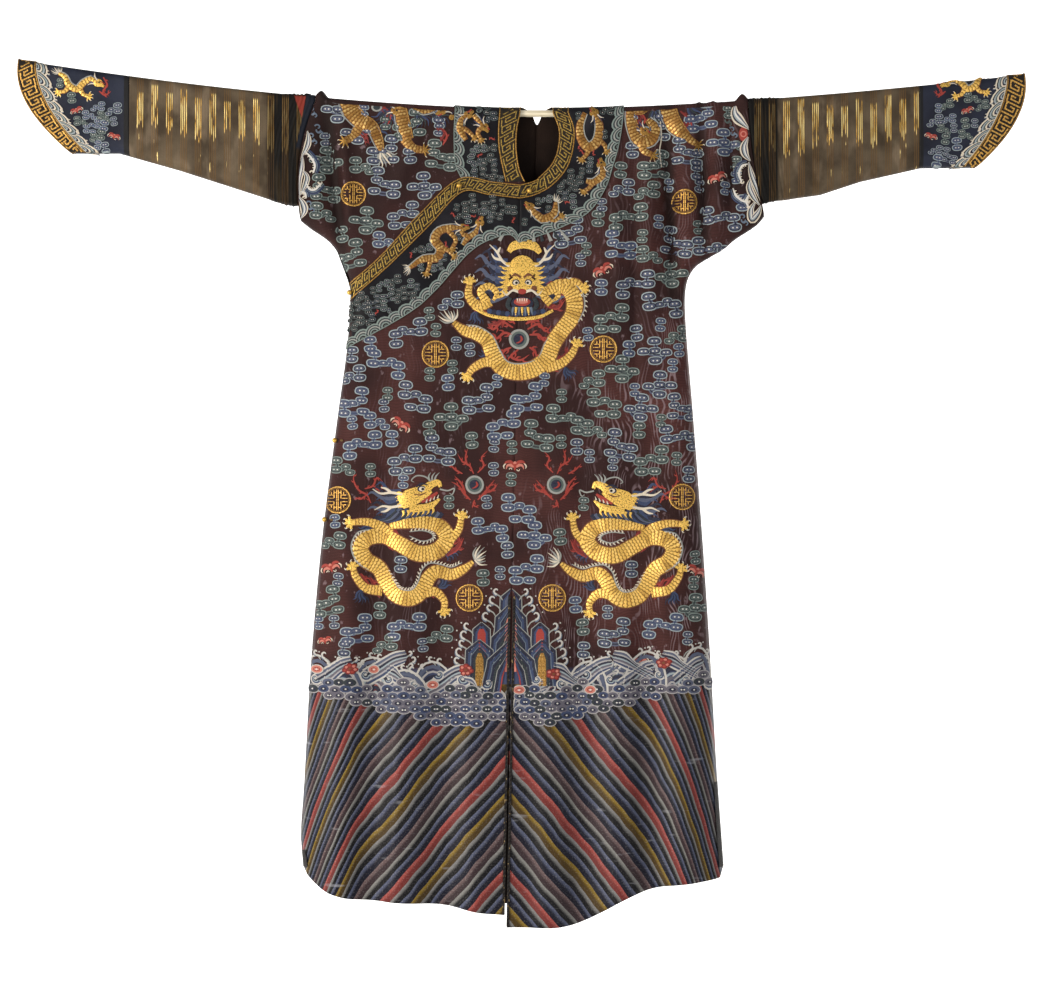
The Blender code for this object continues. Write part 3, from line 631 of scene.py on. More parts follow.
def panel_grid(side, face, under=False):
    """A body panel from the shoulder line to the hem, as rows of flat places."""
    ring = STUB[side]
    corner_x, corner_z = SIDE_SEAM[side][0]
    height = rod_height(corner_x) - corner_z
    short = UNDER_SHORT if under else 0.0
    inner, outer, radii = [], [], []
    for over in np.linspace(QUARTER, 0, OVER_ROWS, endpoint=False):
        edge = NECK[side][0][0]
        if face == BACK:
            edge = SIDES[side] * np.interp(over, [0, QUARTER / 2, QUARTER], BACK_NECK_TURN)
        inner.append((edge, rod_height(edge) + over))
        outer.append((ring.top, rod_height(ring.top) + over))
        radii.append(SLEEVE_ROUND)
    for share in np.linspace(0, 1, SHOULDER_ROWS, endpoint=False):
        z = INNER_STATIONS[0] * share
        inner.append((neck_x(side, face, z), z))
        x = ring_x(ring, share)
        outer.append((x, rod_height(x) - share * height))
        radii.append(SLEEVE_ROUND)
    seam = curved(SIDE_SEAM[side], 6)
    stations_out = (corner_z, *OUTER_STATIONS[1:], SIDE_FEET[side] + short)
    stations_in = (*INNER_STATIONS, CENTRE_FEET[side] + short)
    for z in np.linspace(corner_z, stations_out[-1], SKIRT_ROWS):
        inner_z = np.interp(-z, -np.array(stations_out), stations_in)
        inset = UNDER_INSET * smooth((INSET_FROM - z) / (INSET_FROM - INSET_FULL)) if under else 0
        edge = UNDER_EDGE if under else 0
        inner.append((neck_x(side, face, inner_z) + SIDES[side] * edge, inner_z))
        outer.append((x_on(seam, z) - SIDES[side] * inset, z))
        radii.append(body_radius(z))
    grid = rows_between(np.array(inner, float), np.array(outer, float), radii)
    return bent_to_hem(grid, side, short)


def overlap_grid(top_line=OVERLAP_EDGE):
    """The overlap, from its slanting edge to the hem."""
    edge = curved(top_line, 8)
    seam = curved(SIDE_SEAM["right"], 6)
    inner, outer, radii = [], [], []
    shares = np.linspace(0, 1, SKIRT_ROWS)
    for share in shares:
        inner_z = top_line[0][1] + (CENTRE_FEET["right"] - top_line[0][1]) * share
        outer_z = top_line[-1][1] + (SIDE_FEET["right"] - top_line[-1][1]) * share
        inner.append((centre_x("right", FRONT, inner_z), inner_z))
        outer.append((x_on(seam, outer_z), outer_z))
        radii.append(body_radius(outer_z))
    grid = rows_between(np.array(inner, float), np.array(outer, float), radii)
    bulge = z_on(edge, grid[0, :, 0]) - grid[0, :, 1]
    grid[:, :, 1] += bulge[None] * (1 - smooth(shares / OVERLAP_BULGE))[:, None]
    grid[:, 0, 0] = centre_x("right", FRONT, grid[:, 0, 1])
    return bent_to_hem(grid, "right")


def lay_out(mesh, placed, flat, layer):
    """Moves a grid's points to their places and keeps their flat coordinates in a layer."""
    mesh.vertices.foreach_set("co", (placed * MM).reshape(-1))
    corners = np.zeros(len(mesh.loops), int)
    mesh.loops.foreach_get("vertex_index", corners)
    kept = mesh.uv_layers.new(name=layer)
    kept.data.foreach_set("uv", (flat.reshape(-1, 2)[corners] * MM).reshape(-1))
    return corners


def make_cloth(name, flat, placed, outside, inside, thickness, closed=False):
    """A shell of cloth through a grid of places, with its lining's side inwards."""
    rows, columns = flat.shape[:2]
    cloth = bmesh.new()
    bmesh.ops.create_grid(cloth, x_segments=columns - 1, y_segments=rows - 1, size=1)
    shell = settled(cloth, name)
    lay_out(shell, placed, flat, "Cloth")
    shell.update()
    sides = sum(face.normal.y * face.center.y * face.area for face in shell.polygons)
    if sides < 0:
        shell.flip_normals()
    if closed:
        tube = bmesh.new()
        tube.from_mesh(shell)
        bmesh.ops.remove_doubles(tube, verts=tube.verts[:], dist=1e-6)
        tube.to_mesh(shell)
        tube.free()
    shell.shade_smooth()
    shell.materials.append(outside)
    shell.materials.append(inside)
    item = in_scene(name, shell)
    wall = item.modifiers.new("wall", "SOLIDIFY")
    wall.thickness = thickness * MM
    wall.offset = -1
    wall.material_offset = 1
    wall.material_offset_rim = 1
    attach(item, "root")
    return item


def cut_area(grid):
    """The flat area of a grid, in square metres."""
    a, b = grid[1:, 1:] - grid[:-1, :-1], grid[1:, :-1] - grid[:-1, 1:]
    return float(np.abs(a[..., 0] * b[..., 1] - a[..., 1] * b[..., 0]).sum() / 2) * MM ** 2


def declare_cut(grid, strip=False):
    """Works out the flat cut's box, or a strip's length and width, and its area, but keeps
    neither.
    """
    size = np.ptp(grid.reshape(-1, 2), axis=0) * MM
    if strip:
        middle = grid[:, grid.shape[1] // 2]
        size = (np.linalg.norm(np.diff(middle, axis=0), axis=1).sum() * MM,
                np.linalg.norm(grid[:, -1] - grid[:, 0], axis=1).max() * MM)
    cut_area(grid)


# the ground: brown silk, waves' deep blue where the sea starts, then shaded stripes to the hem
# the first colour is the near-black brown that paints shade on the ground
BROWN_PAINTED_SHADE = dye(24, 15, 14)
BROWN, BROWN_LIGHT, BROWN_DARK = dye(68, 37, 35), dye(96, 60, 58), dye(42, 22, 22)
WORN = dye(142, 122, 128)
SEA = dye(62, 70, 98)
SEA_TOP, STRIPE_TOP = -978, -1004
STRIPE_DROP = 22.0
STRIPE_SLOPE, STRIPE_BEND, STRIPE_BEND_FROM = 1.2, 0.00875, 235.0
# each stripe's pale edge and dark edge; a blue one and a grey one follow every coloured one
STRIPE_BLUE, STRIPE_GREY = ((72, 78, 100), (14, 15, 30)), ((106, 106, 106), (10, 10, 14))
STRIPES = [((118, 96, 32), (62, 46, 16)), STRIPE_BLUE, STRIPE_GREY,
           ((140, 66, 60), (98, 38, 36)), STRIPE_BLUE, ((112, 112, 110), (10, 10, 14)),
           ((92, 75, 76), (46, 34, 38)), STRIPE_BLUE, STRIPE_GREY]
STRIPE_LIGHT, STRIPE_DARK = ([dye(*stripe[end]) for stripe in STRIPES] for end in (0, 1))
CENTRE_LEAN, CENTRE_START = 0.01965, -25.5
FLOSS_LIGHT, FLOSS_SHEEN = dye(182, 180, 178), dye(160, 162, 170)
LINING, LINING_WORN = dye(20, 14, 12), dye(32, 23, 19)
RIB_PITCH, DEEP_FOLD = 1.3, -8


def lining_silk():
    """Plain dark silk, with a fine even weave."""
    silk = Finish("lining_silk", Specular_IOR_Level=0.05)
    place = silk.flat_place("Cloth")
    cloudy = silk.noise(place, 14.0)
    silk.feed("Base Color", silk.mix(cloudy.ramp(0.3, 0.75), LINING, LINING_WORN))
    silk.feed("Roughness", 0.6 + 0.2 * cloudy)
    silk.weave(*silk.parts(place), 7.8)
    return silk.material


def ramp_of(finish, share, colours):
    """One of several colours in turn, by a share from 0 to 1."""
    stops = [(index / len(colours), colour) for index, colour in enumerate(colours)]
    node = finish.node("ShaderNodeValToRGB", {"stops": stops}, {0: share})
    return Value(finish, node.outputs["Color"])


def ground_silk(worn):
    """The brown tapestry silk; worn is how much of the pale warp shows in ripples."""
    silk = Finish("ground_silk" + ("_worn" if worn > 0.5 else ""), Specular_IOR_Level=0.14)
    place = silk.flat_place("Cloth")
    x, z = silk.parts(place)
    patches = silk.noise(place, 5.0, 3.0)
    brown = silk.mix(patches.ramp(0.38, 0.62), BROWN_DARK, BROWN)
    brown = silk.mix(patches.ramp(0.55, 0.8) * 0.6, brown, BROWN_LIGHT)
    rows = ((z + silk.grain(place, 30, 12) * 22) * RIB_PITCH).math("SINE")
    brown = silk.mix(rows.ramp(0.0, 0.9) * 0.35, brown, BROWN_DARK)
    # painted shade: the silk darkens towards the shoulder ends, where the folds fall into shadow
    ends = (abs(x + 10)).ramp(300, 405) * z.ramp(-330, -180)
    brown = silk.mix(ends * 0.6, brown, BROWN_PAINTED_SHADE)
    # painted shade: the silk darkens towards the top of the robe
    brown = silk.mix(z.ramp(-330, -60) * 0.3, brown, BROWN_PAINTED_SHADE)
    sway = silk.grain(place, 13, 8)
    moire = ((x * 0.7 + sway * 64) * RIB_PITCH).math("SINE")
    broken = silk.grain(place, 60, 22)
    faded = silk.grain(place, 5, 2.4).ramp(0.42, 0.66)
    rubbed = x.ramp(70, 150) * z.ramp(-420, -540) * z.ramp(-930, -820) * 0.8
    ripple = moire.ramp(0.1, 0.9) * broken.ramp(0.42, 0.62) * (
        faded + rubbed).math("MINIMUM", 1.0) * worn * (0.3 + 0.7 * z.ramp(-300, -430))
    brown = silk.mix(ripple * 0.64, brown, WORN)
    flecks = silk.grain(place, 90, 60, 3.0).ramp(0.62, 0.74)
    brown = silk.mix(flecks * 0.45, brown, WORN)
    # painted shade: the troughs of the deepest creases are darkened towards the near-black brown
    for fold in CREASES[FRONT]:
        if fold.depth < DEEP_FOLD:
            lean = (fold.foot_x - fold.top_x) / (fold.foot_z - fold.top_z)
            away = abs(x - (z * lean + (fold.top_x - fold.top_z * lean)))
            crease_shade = away.ramp(17, 4) * z.ramp(fold.foot_z - 60, fold.foot_z + 60)
            brown = silk.mix(crease_shade * 0.75, brown, BROWN_PAINTED_SHADE)

    across = abs(x - (z * CENTRE_LEAN + CENTRE_START))
    steep = (across - STRIPE_BEND_FROM).math("MAXIMUM", 0.0)
    wobble = silk.grain(place, 9, 5) * 26 + silk.grain(place, 40, 16, 1.0) * 6
    count = (z + STRIPE_SLOPE * across + STRIPE_BEND * steep * steep + wobble) / STRIPE_DROP
    within = count % 1.0
    turn = ((count.math("FLOOR") + 0.5) / len(STRIPE_LIGHT)) % 1.0
    shade = within.ramp(0.42, 0.9)
    floss = silk.grain(place, 420, 420, 1.0)
    stripe = silk.mix(shade, ramp_of(silk, turn, STRIPE_DARK), ramp_of(silk, turn, STRIPE_LIGHT))
    stripe = silk.mix(floss.ramp(0.5, 0.75) * (0.08 + 0.16 * shade), stripe, FLOSS_LIGHT)
    # painted sheen: pale streaks stand for light caught on creases in the stripes
    sheen = silk.grain(place, 16, 70).ramp(0.66, 0.8)
    stripe = silk.mix(sheen * 0.4, stripe, FLOSS_SHEEN)
    sea = silk.mix(z.ramp(SEA_TOP + 6, SEA_TOP - 6), brown, SEA)
    below = z.ramp(STRIPE_TOP + 1, STRIPE_TOP - 1)
    silk.feed("Base Color", silk.mix(below, sea, stripe))
    silk.feed("Roughness", 0.56 - 0.1 * below + 0.1 * patches)
    twill = ((x + z) * 5.2).math("SINE") * 0.5 + 0.5
    rounded = (within * math.pi).math("SINE") * 3.0
    silk.raise_by(silk.blend(below, twill, rounded + floss), 0.16)
    return silk.material


LINING_SILK = lining_silk()
GROUND = ground_silk(0.35)
GROUND_WORN = ground_silk(1.0)


def make_panel(name, node, grid, hang, face, ground):
    placed = hang.place(grid[..., 0], grid[..., 1], face)
    item = make_cloth(name, grid, placed, ground, LINING_SILK, WALL)
    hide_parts(node)
    declare_cut(grid)
    return item


make_panel("silk_front_left", "front_left", panel_grid("left", FRONT), HANGS["left"], FRONT,
           GROUND_WORN)
make_panel("silk_front_right", "front_right", panel_grid("right", FRONT, under=True), UNDER_HANG,
           FRONT, GROUND)
make_panel("silk_overlap", "overlap", overlap_grid(), HANGS["right"], FRONT, GROUND)
for way in SIDES:
    make_panel("silk_back_" + way, "back_" + way, panel_grid(way, BACK), HANGS[way], BACK, GROUND)

# ------------------------------------------------------------------ the dark yoke
# Four shaped pieces of near-black silk, sewn round the neck and down the overlap, under the
# figured band. They carry small dragons and clouds inside a border of waves.
LAY, TRIM_WALL = 0.5, 1.2
BAND_TOP = LAY + TRIM_WALL
BAND_EDGE = [(-28, -151), (-81, -145), (-131, -140), (-187, -198), (-258, -269), (-328, -331)]
FACING_EDGE = [(-30, -230), (-51, -216), (-111, -242), (-173, -310), (-223, -354), (-334, -417)]
# stations round the neck: the neck's edge, the band's outer edge and the yoke's outer edge
NECK_LEFT = [((30, 0), (57, 0), (155, 0)), ((41, -29), (67, -29), (150, -35)),
             ((39, -64), (65, -64), (140, -80)), ((28, -91), (53, -99), (124, -130)),
             ((8, -112), (28, -128), (94, -175)), ((-3, -121), (-2, -145), (40, -205)),
             ((-27.8, -128), (-28.3, -151), (-29.8, -230))]
NECK_RIGHT = [((-28, 0), (-64, 0), (-143, 0)), ((-34, -29), (-66, -28), (-145, -28)),
              ((-35, -64), (-65, -62), (-145, -60)), ((-30, -99), (-58.5, -97), (-143, -90)),
              ((-20, -121.5), (-53, -121.5), (-133, -113.5))]
BACK_HALF = [((9, 0), (57, 0), (152, 0)), ((7, -6), (54, -18), (146, -45)),
             ((5, -12), (40, -37), (118, -95)), ((3, -17), (15, -48), (60, -134))]
BACK_MIDDLE, BACK_LOWEST = 2, ((2, -19), (2, -49.5), (2, -142))
RIDGE_X = {"left": (28, 57, 155), "right": (28, 64, 143)}
TRIM_STEPS, FACING_COLUMNS = 9, 22
NAVY, NAVY_LIGHT, NAVY_DARK = dye(22, 22, 28), dye(38, 36, 42), dye(14, 13, 17)


def trim_lines(side, stations):
    """Three lines of flat places that start on top of the rod, for a front's trimmings."""
    lines = []
    for index in range(3):
        spots = [station[index] for station in stations]
        first = spots[0][0]
        over = [(first, rod_height(first) + turn) for turn in (QUARTER, QUARTER / 2)]
        spots = [(x, z if z < 0 else float(rod_height(x))) for x, z in spots]
        lines.append(curved(over + spots, TRIM_STEPS))
    return lines


def back_lines():
    """The same for the back, from the right ridge round the neck to the left one."""
    lines = []
    for index in range(3):
        halves = []
        for side in ("right", "left"):
            sign = SIDES[side]
            level = BACK_MIDDLE + sign * BACK_HALF[0][index][0]
            ridge = sign * RIDGE_X[side][index]
            spots = [(ridge, float(rod_height(ridge)) + QUARTER),
                     ((ridge + level) / 2, float(rod_height(level)) + QUARTER / 2)]
            for station in BACK_HALF:
                x, z = BACK_MIDDLE + sign * station[index][0], station[index][1]
                spots.append((x, z if z < 0 else float(rod_height(x))))
            halves.append(spots)
        lines.append(curved(halves[0] + [BACK_LOWEST[index]] + halves[1][::-1], TRIM_STEPS))
    return lines


def between_lines(first, last, columns, inset=0.0):
    """Flat rows that run from one line to another, a little short of the first."""
    run = last - first
    near = first + run * (inset / np.linalg.norm(run, axis=1, keepdims=True))
    shares = np.linspace(0, 1, columns)[None, :, None]
    return near[:, None] + (last - near)[:, None] * shares


def yoke_silk():
    silk = Finish("yoke_silk", Specular_IOR_Level=0.12)
    place = silk.flat_place("Cloth")
    patches = silk.noise(place, 16.0, 3.0)
    silk.feed("Base Color", silk.mix(patches.ramp(0.3, 0.7), NAVY_DARK,
                                     silk.mix(patches.ramp(0.55, 0.8), NAVY, NAVY_LIGHT)))
    silk.feed("Roughness", 0.42 + 0.16 * patches)
    silk.weave(*silk.parts(place), 4.5)
    return silk.material


YOKE = yoke_silk()
TRIM_LINES = {
    "left": trim_lines("left", NECK_LEFT),
    "right": trim_lines("right", NECK_RIGHT),
    "back": back_lines(),
    "overlap": [curved(line, TRIM_STEPS) for line in (OVERLAP_EDGE, BAND_EDGE, FACING_EDGE)],
}
TRIM_BEDS = {"left": (HANGS["left"], FRONT), "right": (UNDER_HANG, FRONT),
             "back": (HANGS["left"], BACK), "overlap": (HANGS["right"], FRONT)}


def make_trim(name, node, bed, grid, outside):
    hang, face = TRIM_BEDS[bed]
    placed = hang.place(grid[..., 0], grid[..., 1], face, BAND_TOP)
    item = make_cloth(name, grid, placed, outside, LINING_SILK, TRIM_WALL)
    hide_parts(node)
    declare_cut(grid, strip=True)
    return item


for bed in TRIM_BEDS:
    _, near, far = TRIM_LINES[bed]
    make_trim("yoke_" + bed, "facing_" + bed, bed,
              between_lines(near, far, FACING_COLUMNS, LAY), YOKE)

# ------------------------------------------------------------------ the figured band
# A narrow band of black and gold brocade binds the neck and the overlap's edge: gold thread is
# laid in a hooked key pattern, between two thick gold cords.
BAND_COLUMNS = 9
BAND_BLACK, BAND_WORN = dye(20, 17, 14), dye(44, 35, 22)


def band_silk():
    silk = Finish("band_brocade", Specular_IOR_Level=0.25)
    place = silk.flat_place("Cloth")
    patches = silk.noise(place, 60.0, 3.0)
    silk.feed("Base Color", silk.mix(patches.ramp(0.4, 0.75), BAND_BLACK, BAND_WORN))
    silk.feed("Roughness", 0.5 + 0.2 * patches)
    x, z = silk.parts(place)
    twill = ((x - z) * 6.0).math("SINE") * 0.5 + 0.5
    silk.raise_by(twill, 0.15)
    return silk.material


BROCADE = band_silk()
BAND_NODES = {"left": "neck_band_left", "right": "neck_band_right", "back": "neck_band_back",
              "overlap": "overlap_band"}
for bed, node in BAND_NODES.items():
    inner, near, _ = TRIM_LINES[bed]
    make_trim(node + "_silk", node, bed, between_lines(inner, near, BAND_COLUMNS), BROCADE)

# ------------------------------------------------------------------ the forearms
# Two narrow sleeves of grey-brown silk, gathered into the wide upper sleeves at the elbow and
# worn thin. Sets of gold threads are couched round them, bright on top and rubbed off below.
WRIST = {"right": Ring(-717, -717, 0), "left": Ring(676, 676, 0)}
SLEEVE_WALL, SLEEVE_COLUMNS, SLEEVE_TURNED = 1.2, 40, 12
Gather = namedtuple("Gather", "place height width")
GATHERS = [Gather(4, 3.4, 4.5), Gather(10.5, 4.0, 4.5), Gather(17, 2.8, 4.0),
           Gather(24, 3.6, 4.5), Gather(31, 2.4, 4.0), Gather(38, 3.0, 4.5),
           Gather(45, 1.8, 4.0), Gather(52, 1.0, 4.0)]
SLEEVE_FOLDS = {
    "right": [Fold(-455, 22, -500, -150, 2.6, 16), Fold(-500, 26, -560, -135, -3.0, 20),
              Fold(-570, 32, -600, -120, 2.2, 22), Fold(-640, 40, -668, -100, -2.4, 18),
              Fold(-690, 46, -700, -90, 1.8, 12)],
    "left": [Fold(440, 16, 486, -150, 2.6, 16), Fold(486, 20, 540, -140, -3.0, 20),
             Fold(556, 26, 590, -125, 2.2, 22), Fold(612, 32, 632, -110, -2.4, 18),
             Fold(650, 36, 660, -100, 1.8, 12)],
}
SLEEVE_STEP = 2.0


def sleeve_folds(side):
    def height(x, z, face):
        total = 0.5 * np.sin(x / 9.0 + 0.6 * np.sin(z / 31.0) + face)
        for fold in SLEEVE_FOLDS[side]:
            share = np.clip((fold.top_z - z) / (fold.top_z - fold.foot_z), 0, 1)
            away = x - (fold.top_x + (fold.foot_x - fold.top_x) * share)
            away = np.minimum(np.abs(away) / fold.width, 1.0)
            total = total + fold.depth * np.sin(math.pi * (0.15 + 0.7 * share)) * 0.5 * (
                1 + np.cos(math.pi * away))
        return total
    return height


SLEEVE_HANGS = {side: Hang(SLEEVE_BOTTOM[side], sleeve_radius, sleeve_folds(side))
                for side in SIDES}


def mixed_ring(first, second, share):
    return Ring(*(a + (b - a) * share for a, b in zip(first, second)))


def moved_ring(ring, distance):
    return Ring(ring.top + distance, ring.bottom + distance, ring.bow)


def elbow_ring(side):
    """The line in which the narrower sleeve leaves the upper sleeve's end."""
    (corner_x, corner_z), (foot_x, foot_z) = SIDE_SEAM[side][0], SLEEVE_BOTTOM[side][0]
    share = float((rod_height(foot_x) - foot_z) / (rod_height(corner_x) - corner_z))
    ring = STUB[side]
    rise = (ring.bottom - ring.top) * share + 4 * ring.bow * share * (1 - share)
    return Ring(ring.top, ring.top + rise, ring.bow * share ** 2)


def down_ring(side, ring, over, shares=None):
    """From the ridge of the rod to the foot of a ring: x, and how far down each place is."""
    foot = ring_x(ring, 1.0)
    height = float(rod_height(foot)) - float(z_on(SLEEVE_BOTTOM[side], foot))
    if shares is None:
        shares = across_shares(height, SLEEVE_ROUND, SLEEVE_COLUMNS, SLEEVE_TURNED)
    x = np.concatenate([np.full(over, ring_x(ring, 0.0)), ring_x(ring, shares)])
    down = np.concatenate([np.linspace(-QUARTER, 0, over, endpoint=False), shares * height])
    return x, down


def tube_grids(side, rings, lifts=0.0):
    """The flat grid of a sleeve that goes up its front and down its back, and its places."""
    hang = SLEEVE_HANGS[side]
    flat, placed = [], []
    for ring, lift in zip(rings, np.broadcast_to(lifts, len(rings))):
        x, down = down_ring(side, ring, 4)
        halves = [hang.place(x, rod_height(x) - down, face, lift) for face in (FRONT, BACK)]
        halves[0][0, 1] = halves[0][-1, 1] = halves[1][-1, 1] = 0.0
        placed.append(np.vstack([halves[0][::-1], halves[1][1:]]))
        around = down + QUARTER
        flat.append(np.stack([np.concatenate([x[::-1], x[1:]]),
                              np.concatenate([-around[::-1], around[1:]])], -1))
    placed = np.array(placed)
    placed[:, -1] = placed[:, 0]
    return np.array(flat), placed


def make_tube(name, node, side, rings, lifts, outside, wall=SLEEVE_WALL):
    flat, placed = tube_grids(side, rings, lifts)
    item = make_cloth(name, flat, placed, outside, LINING_SILK, wall, closed=True)
    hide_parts(node)
    declare_cut(flat.transpose(1, 0, 2), strip=True)
    return item


SLEEVE_BROWN, SLEEVE_PALE, SLEEVE_DARK = dye(90, 78, 62), dye(122, 107, 88), dye(60, 50, 38)
TURNED_BLUE, TURNED_RED = dye(20, 24, 34), dye(122, 46, 36)
# the near-black of the gathers' painted shade, and the paler streaks along their ridges
GATHER_SHADE, GATHER_RIDGE = dye(8, 7, 6), dye(38, 29, 15)
# the second colour is the pale gold of painted highlights
GOLD, GOLD_HIGHLIGHT, GOLD_DULL = dye(204, 158, 70), dye(250, 222, 146), dye(104, 74, 34)
SET_PITCH, SET_SHARE, LINES_IN_SET = 25.6, 0.5, 4.0
# the painted shade of the gathers ends at these places, over so many millimetres
DARK_TO, DARK_FADE = {"right": -470, "left": 423}, 7
# where a set's bright threads start and end, in millimetres from the ridge
STARTS_AT, ENDS_AT, RUBBED_GAP, RUBBED_END = (8, 26), (58, 44, 18), 12, 70
# the turned-back edge and the lining's corner at the right elbow
TURNED_FROM, TURNED_LEAN, BLUE_WIDE, BLUE_LONG, RED_WIDE = -389, 0.2, 14, 100, 40


def forearm_silk():
    silk = Finish("forearm_silk", Specular_IOR_Level=0.15)
    place = silk.flat_place("Cloth")
    x, v = silk.parts(place)
    patches = silk.noise(place, 18.0, 3.0)
    worn = silk.grain(place, 30, 12, 3.0)
    brown = silk.mix(patches.ramp(0.35, 0.7), SLEEVE_DARK, SLEEVE_BROWN)
    brown = silk.mix(worn.ramp(0.5, 0.7) * 0.6, brown, SLEEVE_PALE)
    # painted shade: the gathered silk at the elbow is darkened almost to black, with paler streaks
    # along its ridges, and the gold in it is dimmed
    elbow = x.ramp(DARK_TO["right"] - DARK_FADE, DARK_TO["right"]) * x.ramp(
        DARK_TO["left"] + DARK_FADE, DARK_TO["left"])
    ridge = silk.grain(place, 220, 8)
    brown = silk.mix(elbow, brown, silk.mix(ridge.ramp(0.5, 0.68), GATHER_SHADE, GATHER_RIDGE))
    count = abs(x) / SET_PITCH
    turn = count % 1.0
    line = (turn * (LINES_IN_SET / SET_SHARE)) % 1.0
    threads = (abs(line - 0.5)).ramp(0.28, 0.12) * turn.ramp(SET_SHARE + 0.01, SET_SHARE - 0.01)
    # an uneven number from 0 to 1 for each set, and one for each strand in it
    chance = ((count.math("FLOOR") * 12.9898).math("SINE") * 437.585) % 1.0
    strand = ((turn * 8.0).math("FLOOR") * 0.37 + chance * 3.1) % 1.0
    ends = ENDS_AT[0] + ENDS_AT[1] * chance + ENDS_AT[2] * strand
    starts = STARTS_AT[0] + STARTS_AT[1] * (chance * 7.3 % 1.0)
    along = abs(v)
    kept = silk.grain(place, 160, 24, 3.0)
    top = (ends - along).ramp(-3, 3) * (along - starts).ramp(-3, 3) * kept.ramp(0.36, 0.44)
    low = (along - ends - RUBBED_GAP).ramp(0, 8) * kept.ramp(0.62, 0.68) * (
        ends + RUBBED_END - along).ramp(0, 10)
    bright = (top + low).math("MINIMUM", 1.0) * (1 - elbow * 0.75)
    gold = threads * silk.blend(bright, (0.42 + 0.25 * kept) * (1 - elbow * 0.5), 1.0)
    # painted highlight: patches of pale gold on the bright threads
    glow = silk.mix(kept.ramp(0.42, 0.6), GOLD, GOLD_HIGHLIGHT)
    bright_gold = silk.mix(bright, GOLD_DULL, glow)
    inward = (TURNED_FROM - along * TURNED_LEAN) - x
    right = 1 - x.ramp(-1, 1)
    blue = inward.ramp(BLUE_WIDE + 1, BLUE_WIDE - 1) * along.ramp(
        BLUE_LONG + 4, BLUE_LONG - 4) * right
    red = inward.ramp(BLUE_WIDE, BLUE_WIDE + 2) * (inward + along * 0.55).ramp(
        RED_WIDE + 1, RED_WIDE - 1) * along.ramp(6, 9) * right
    brown = silk.mix(red, silk.mix(blue, brown, TURNED_BLUE), TURNED_RED)
    gold = gold * (1 - blue) * (1 - red)
    ribs = ((x * 2.2).math("SINE") * 0.5 + 0.5) * (1 - elbow)
    brown = silk.mix(ribs * 0.25, brown, SLEEVE_DARK)
    silk.feed("Base Color", silk.mix(gold, brown, bright_gold))
    silk.feed("Metallic", gold * (0.3 + 0.4 * bright))
    silk.feed("Roughness", 0.62 - 0.28 * gold + 0.1 * patches)
    weave = (x * 6.5).math("SINE") * (v * 6.5).math("SINE") * 0.15 + 0.5
    silk.raise_by(weave + gold, 0.35)
    return silk.material


FOREARM = forearm_silk()
for way, sign in SIDES.items():
    start = moved_ring(elbow_ring(way), sign * 2 * SEAM)
    end = moved_ring(WRIST[way], -sign * SEAM)
    count = int(abs(end.top - start.top) / SLEEVE_STEP)
    rings = [mixed_ring(start, end, step / count) for step in range(count + 1)]
    along = np.arange(count + 1) * abs(end.top - start.top) / count
    lifts = sum(g.height * np.exp(-((along - g.place) / g.width) ** 2 * 2) for g in GATHERS)
    make_tube("forearm_" + way, "sleeve_" + way, way, rings, lifts, FOREARM)

# ------------------------------------------------------------------ the cuffs
# Hoof-shaped cuffs of dark blue silk that once covered the hands: a plain black band at the
# wrist, a plain dark strip, then the embroidered part with its slanting figured border.
BORDER = {"right": Ring(-883, -793, -20), "left": Ring(832, 752, 16)}
CUFF_END = {"right": Ring(-913, -819, -28), "left": Ring(862, 775, 26)}
CUFF_RINGS, BORDER_RINGS = 60, 16
WRIST_BLACK, CUFF_BLUE, CUFF_LIGHT = dye(18, 18, 20), dye(18, 21, 34), dye(31, 36, 52)
BLACK_TO = {"right": 726.5, "left": 682.5}


def cuff_silk():
    silk = Finish("cuff_silk", Specular_IOR_Level=0.2)
    place = silk.flat_place("Cloth")
    x, v = silk.parts(place)
    patches = silk.noise(place, 16.0, 3.0)
    blue = silk.mix(patches.ramp(0.3, 0.7), CUFF_BLUE, CUFF_LIGHT)
    right = abs(x).ramp(BLACK_TO["right"] + 0.5, BLACK_TO["right"] - 0.5) * x.ramp(1, -1)
    left = abs(x).ramp(BLACK_TO["left"] + 0.5, BLACK_TO["left"] - 0.5) * x.ramp(-1, 1)
    wrist = right + left
    silk.feed("Base Color", silk.mix(wrist, blue, WRIST_BLACK))
    silk.feed("Roughness", 0.4 + 0.2 * patches)
    silk.weave(x, v, 4.5)
    return silk.material


CUFF = cuff_silk()
for way, sign in SIDES.items():
    wrist = moved_ring(WRIST[way], sign * SEAM)
    rings = [mixed_ring(wrist, BORDER[way], step / CUFF_RINGS) for step in range(CUFF_RINGS)]
    border = [mixed_ring(BORDER[way], CUFF_END[way], step / BORDER_RINGS)
              for step in range(BORDER_RINGS + 1)]
    make_tube("hoof_cuff_" + way, "cuff_" + way, way, rings + border, 0.0, CUFF)
    make_tube("hoof_border_" + way, "cuff_band_" + way, way, border, BAND_TOP, BROCADE,
              TRIM_WALL)

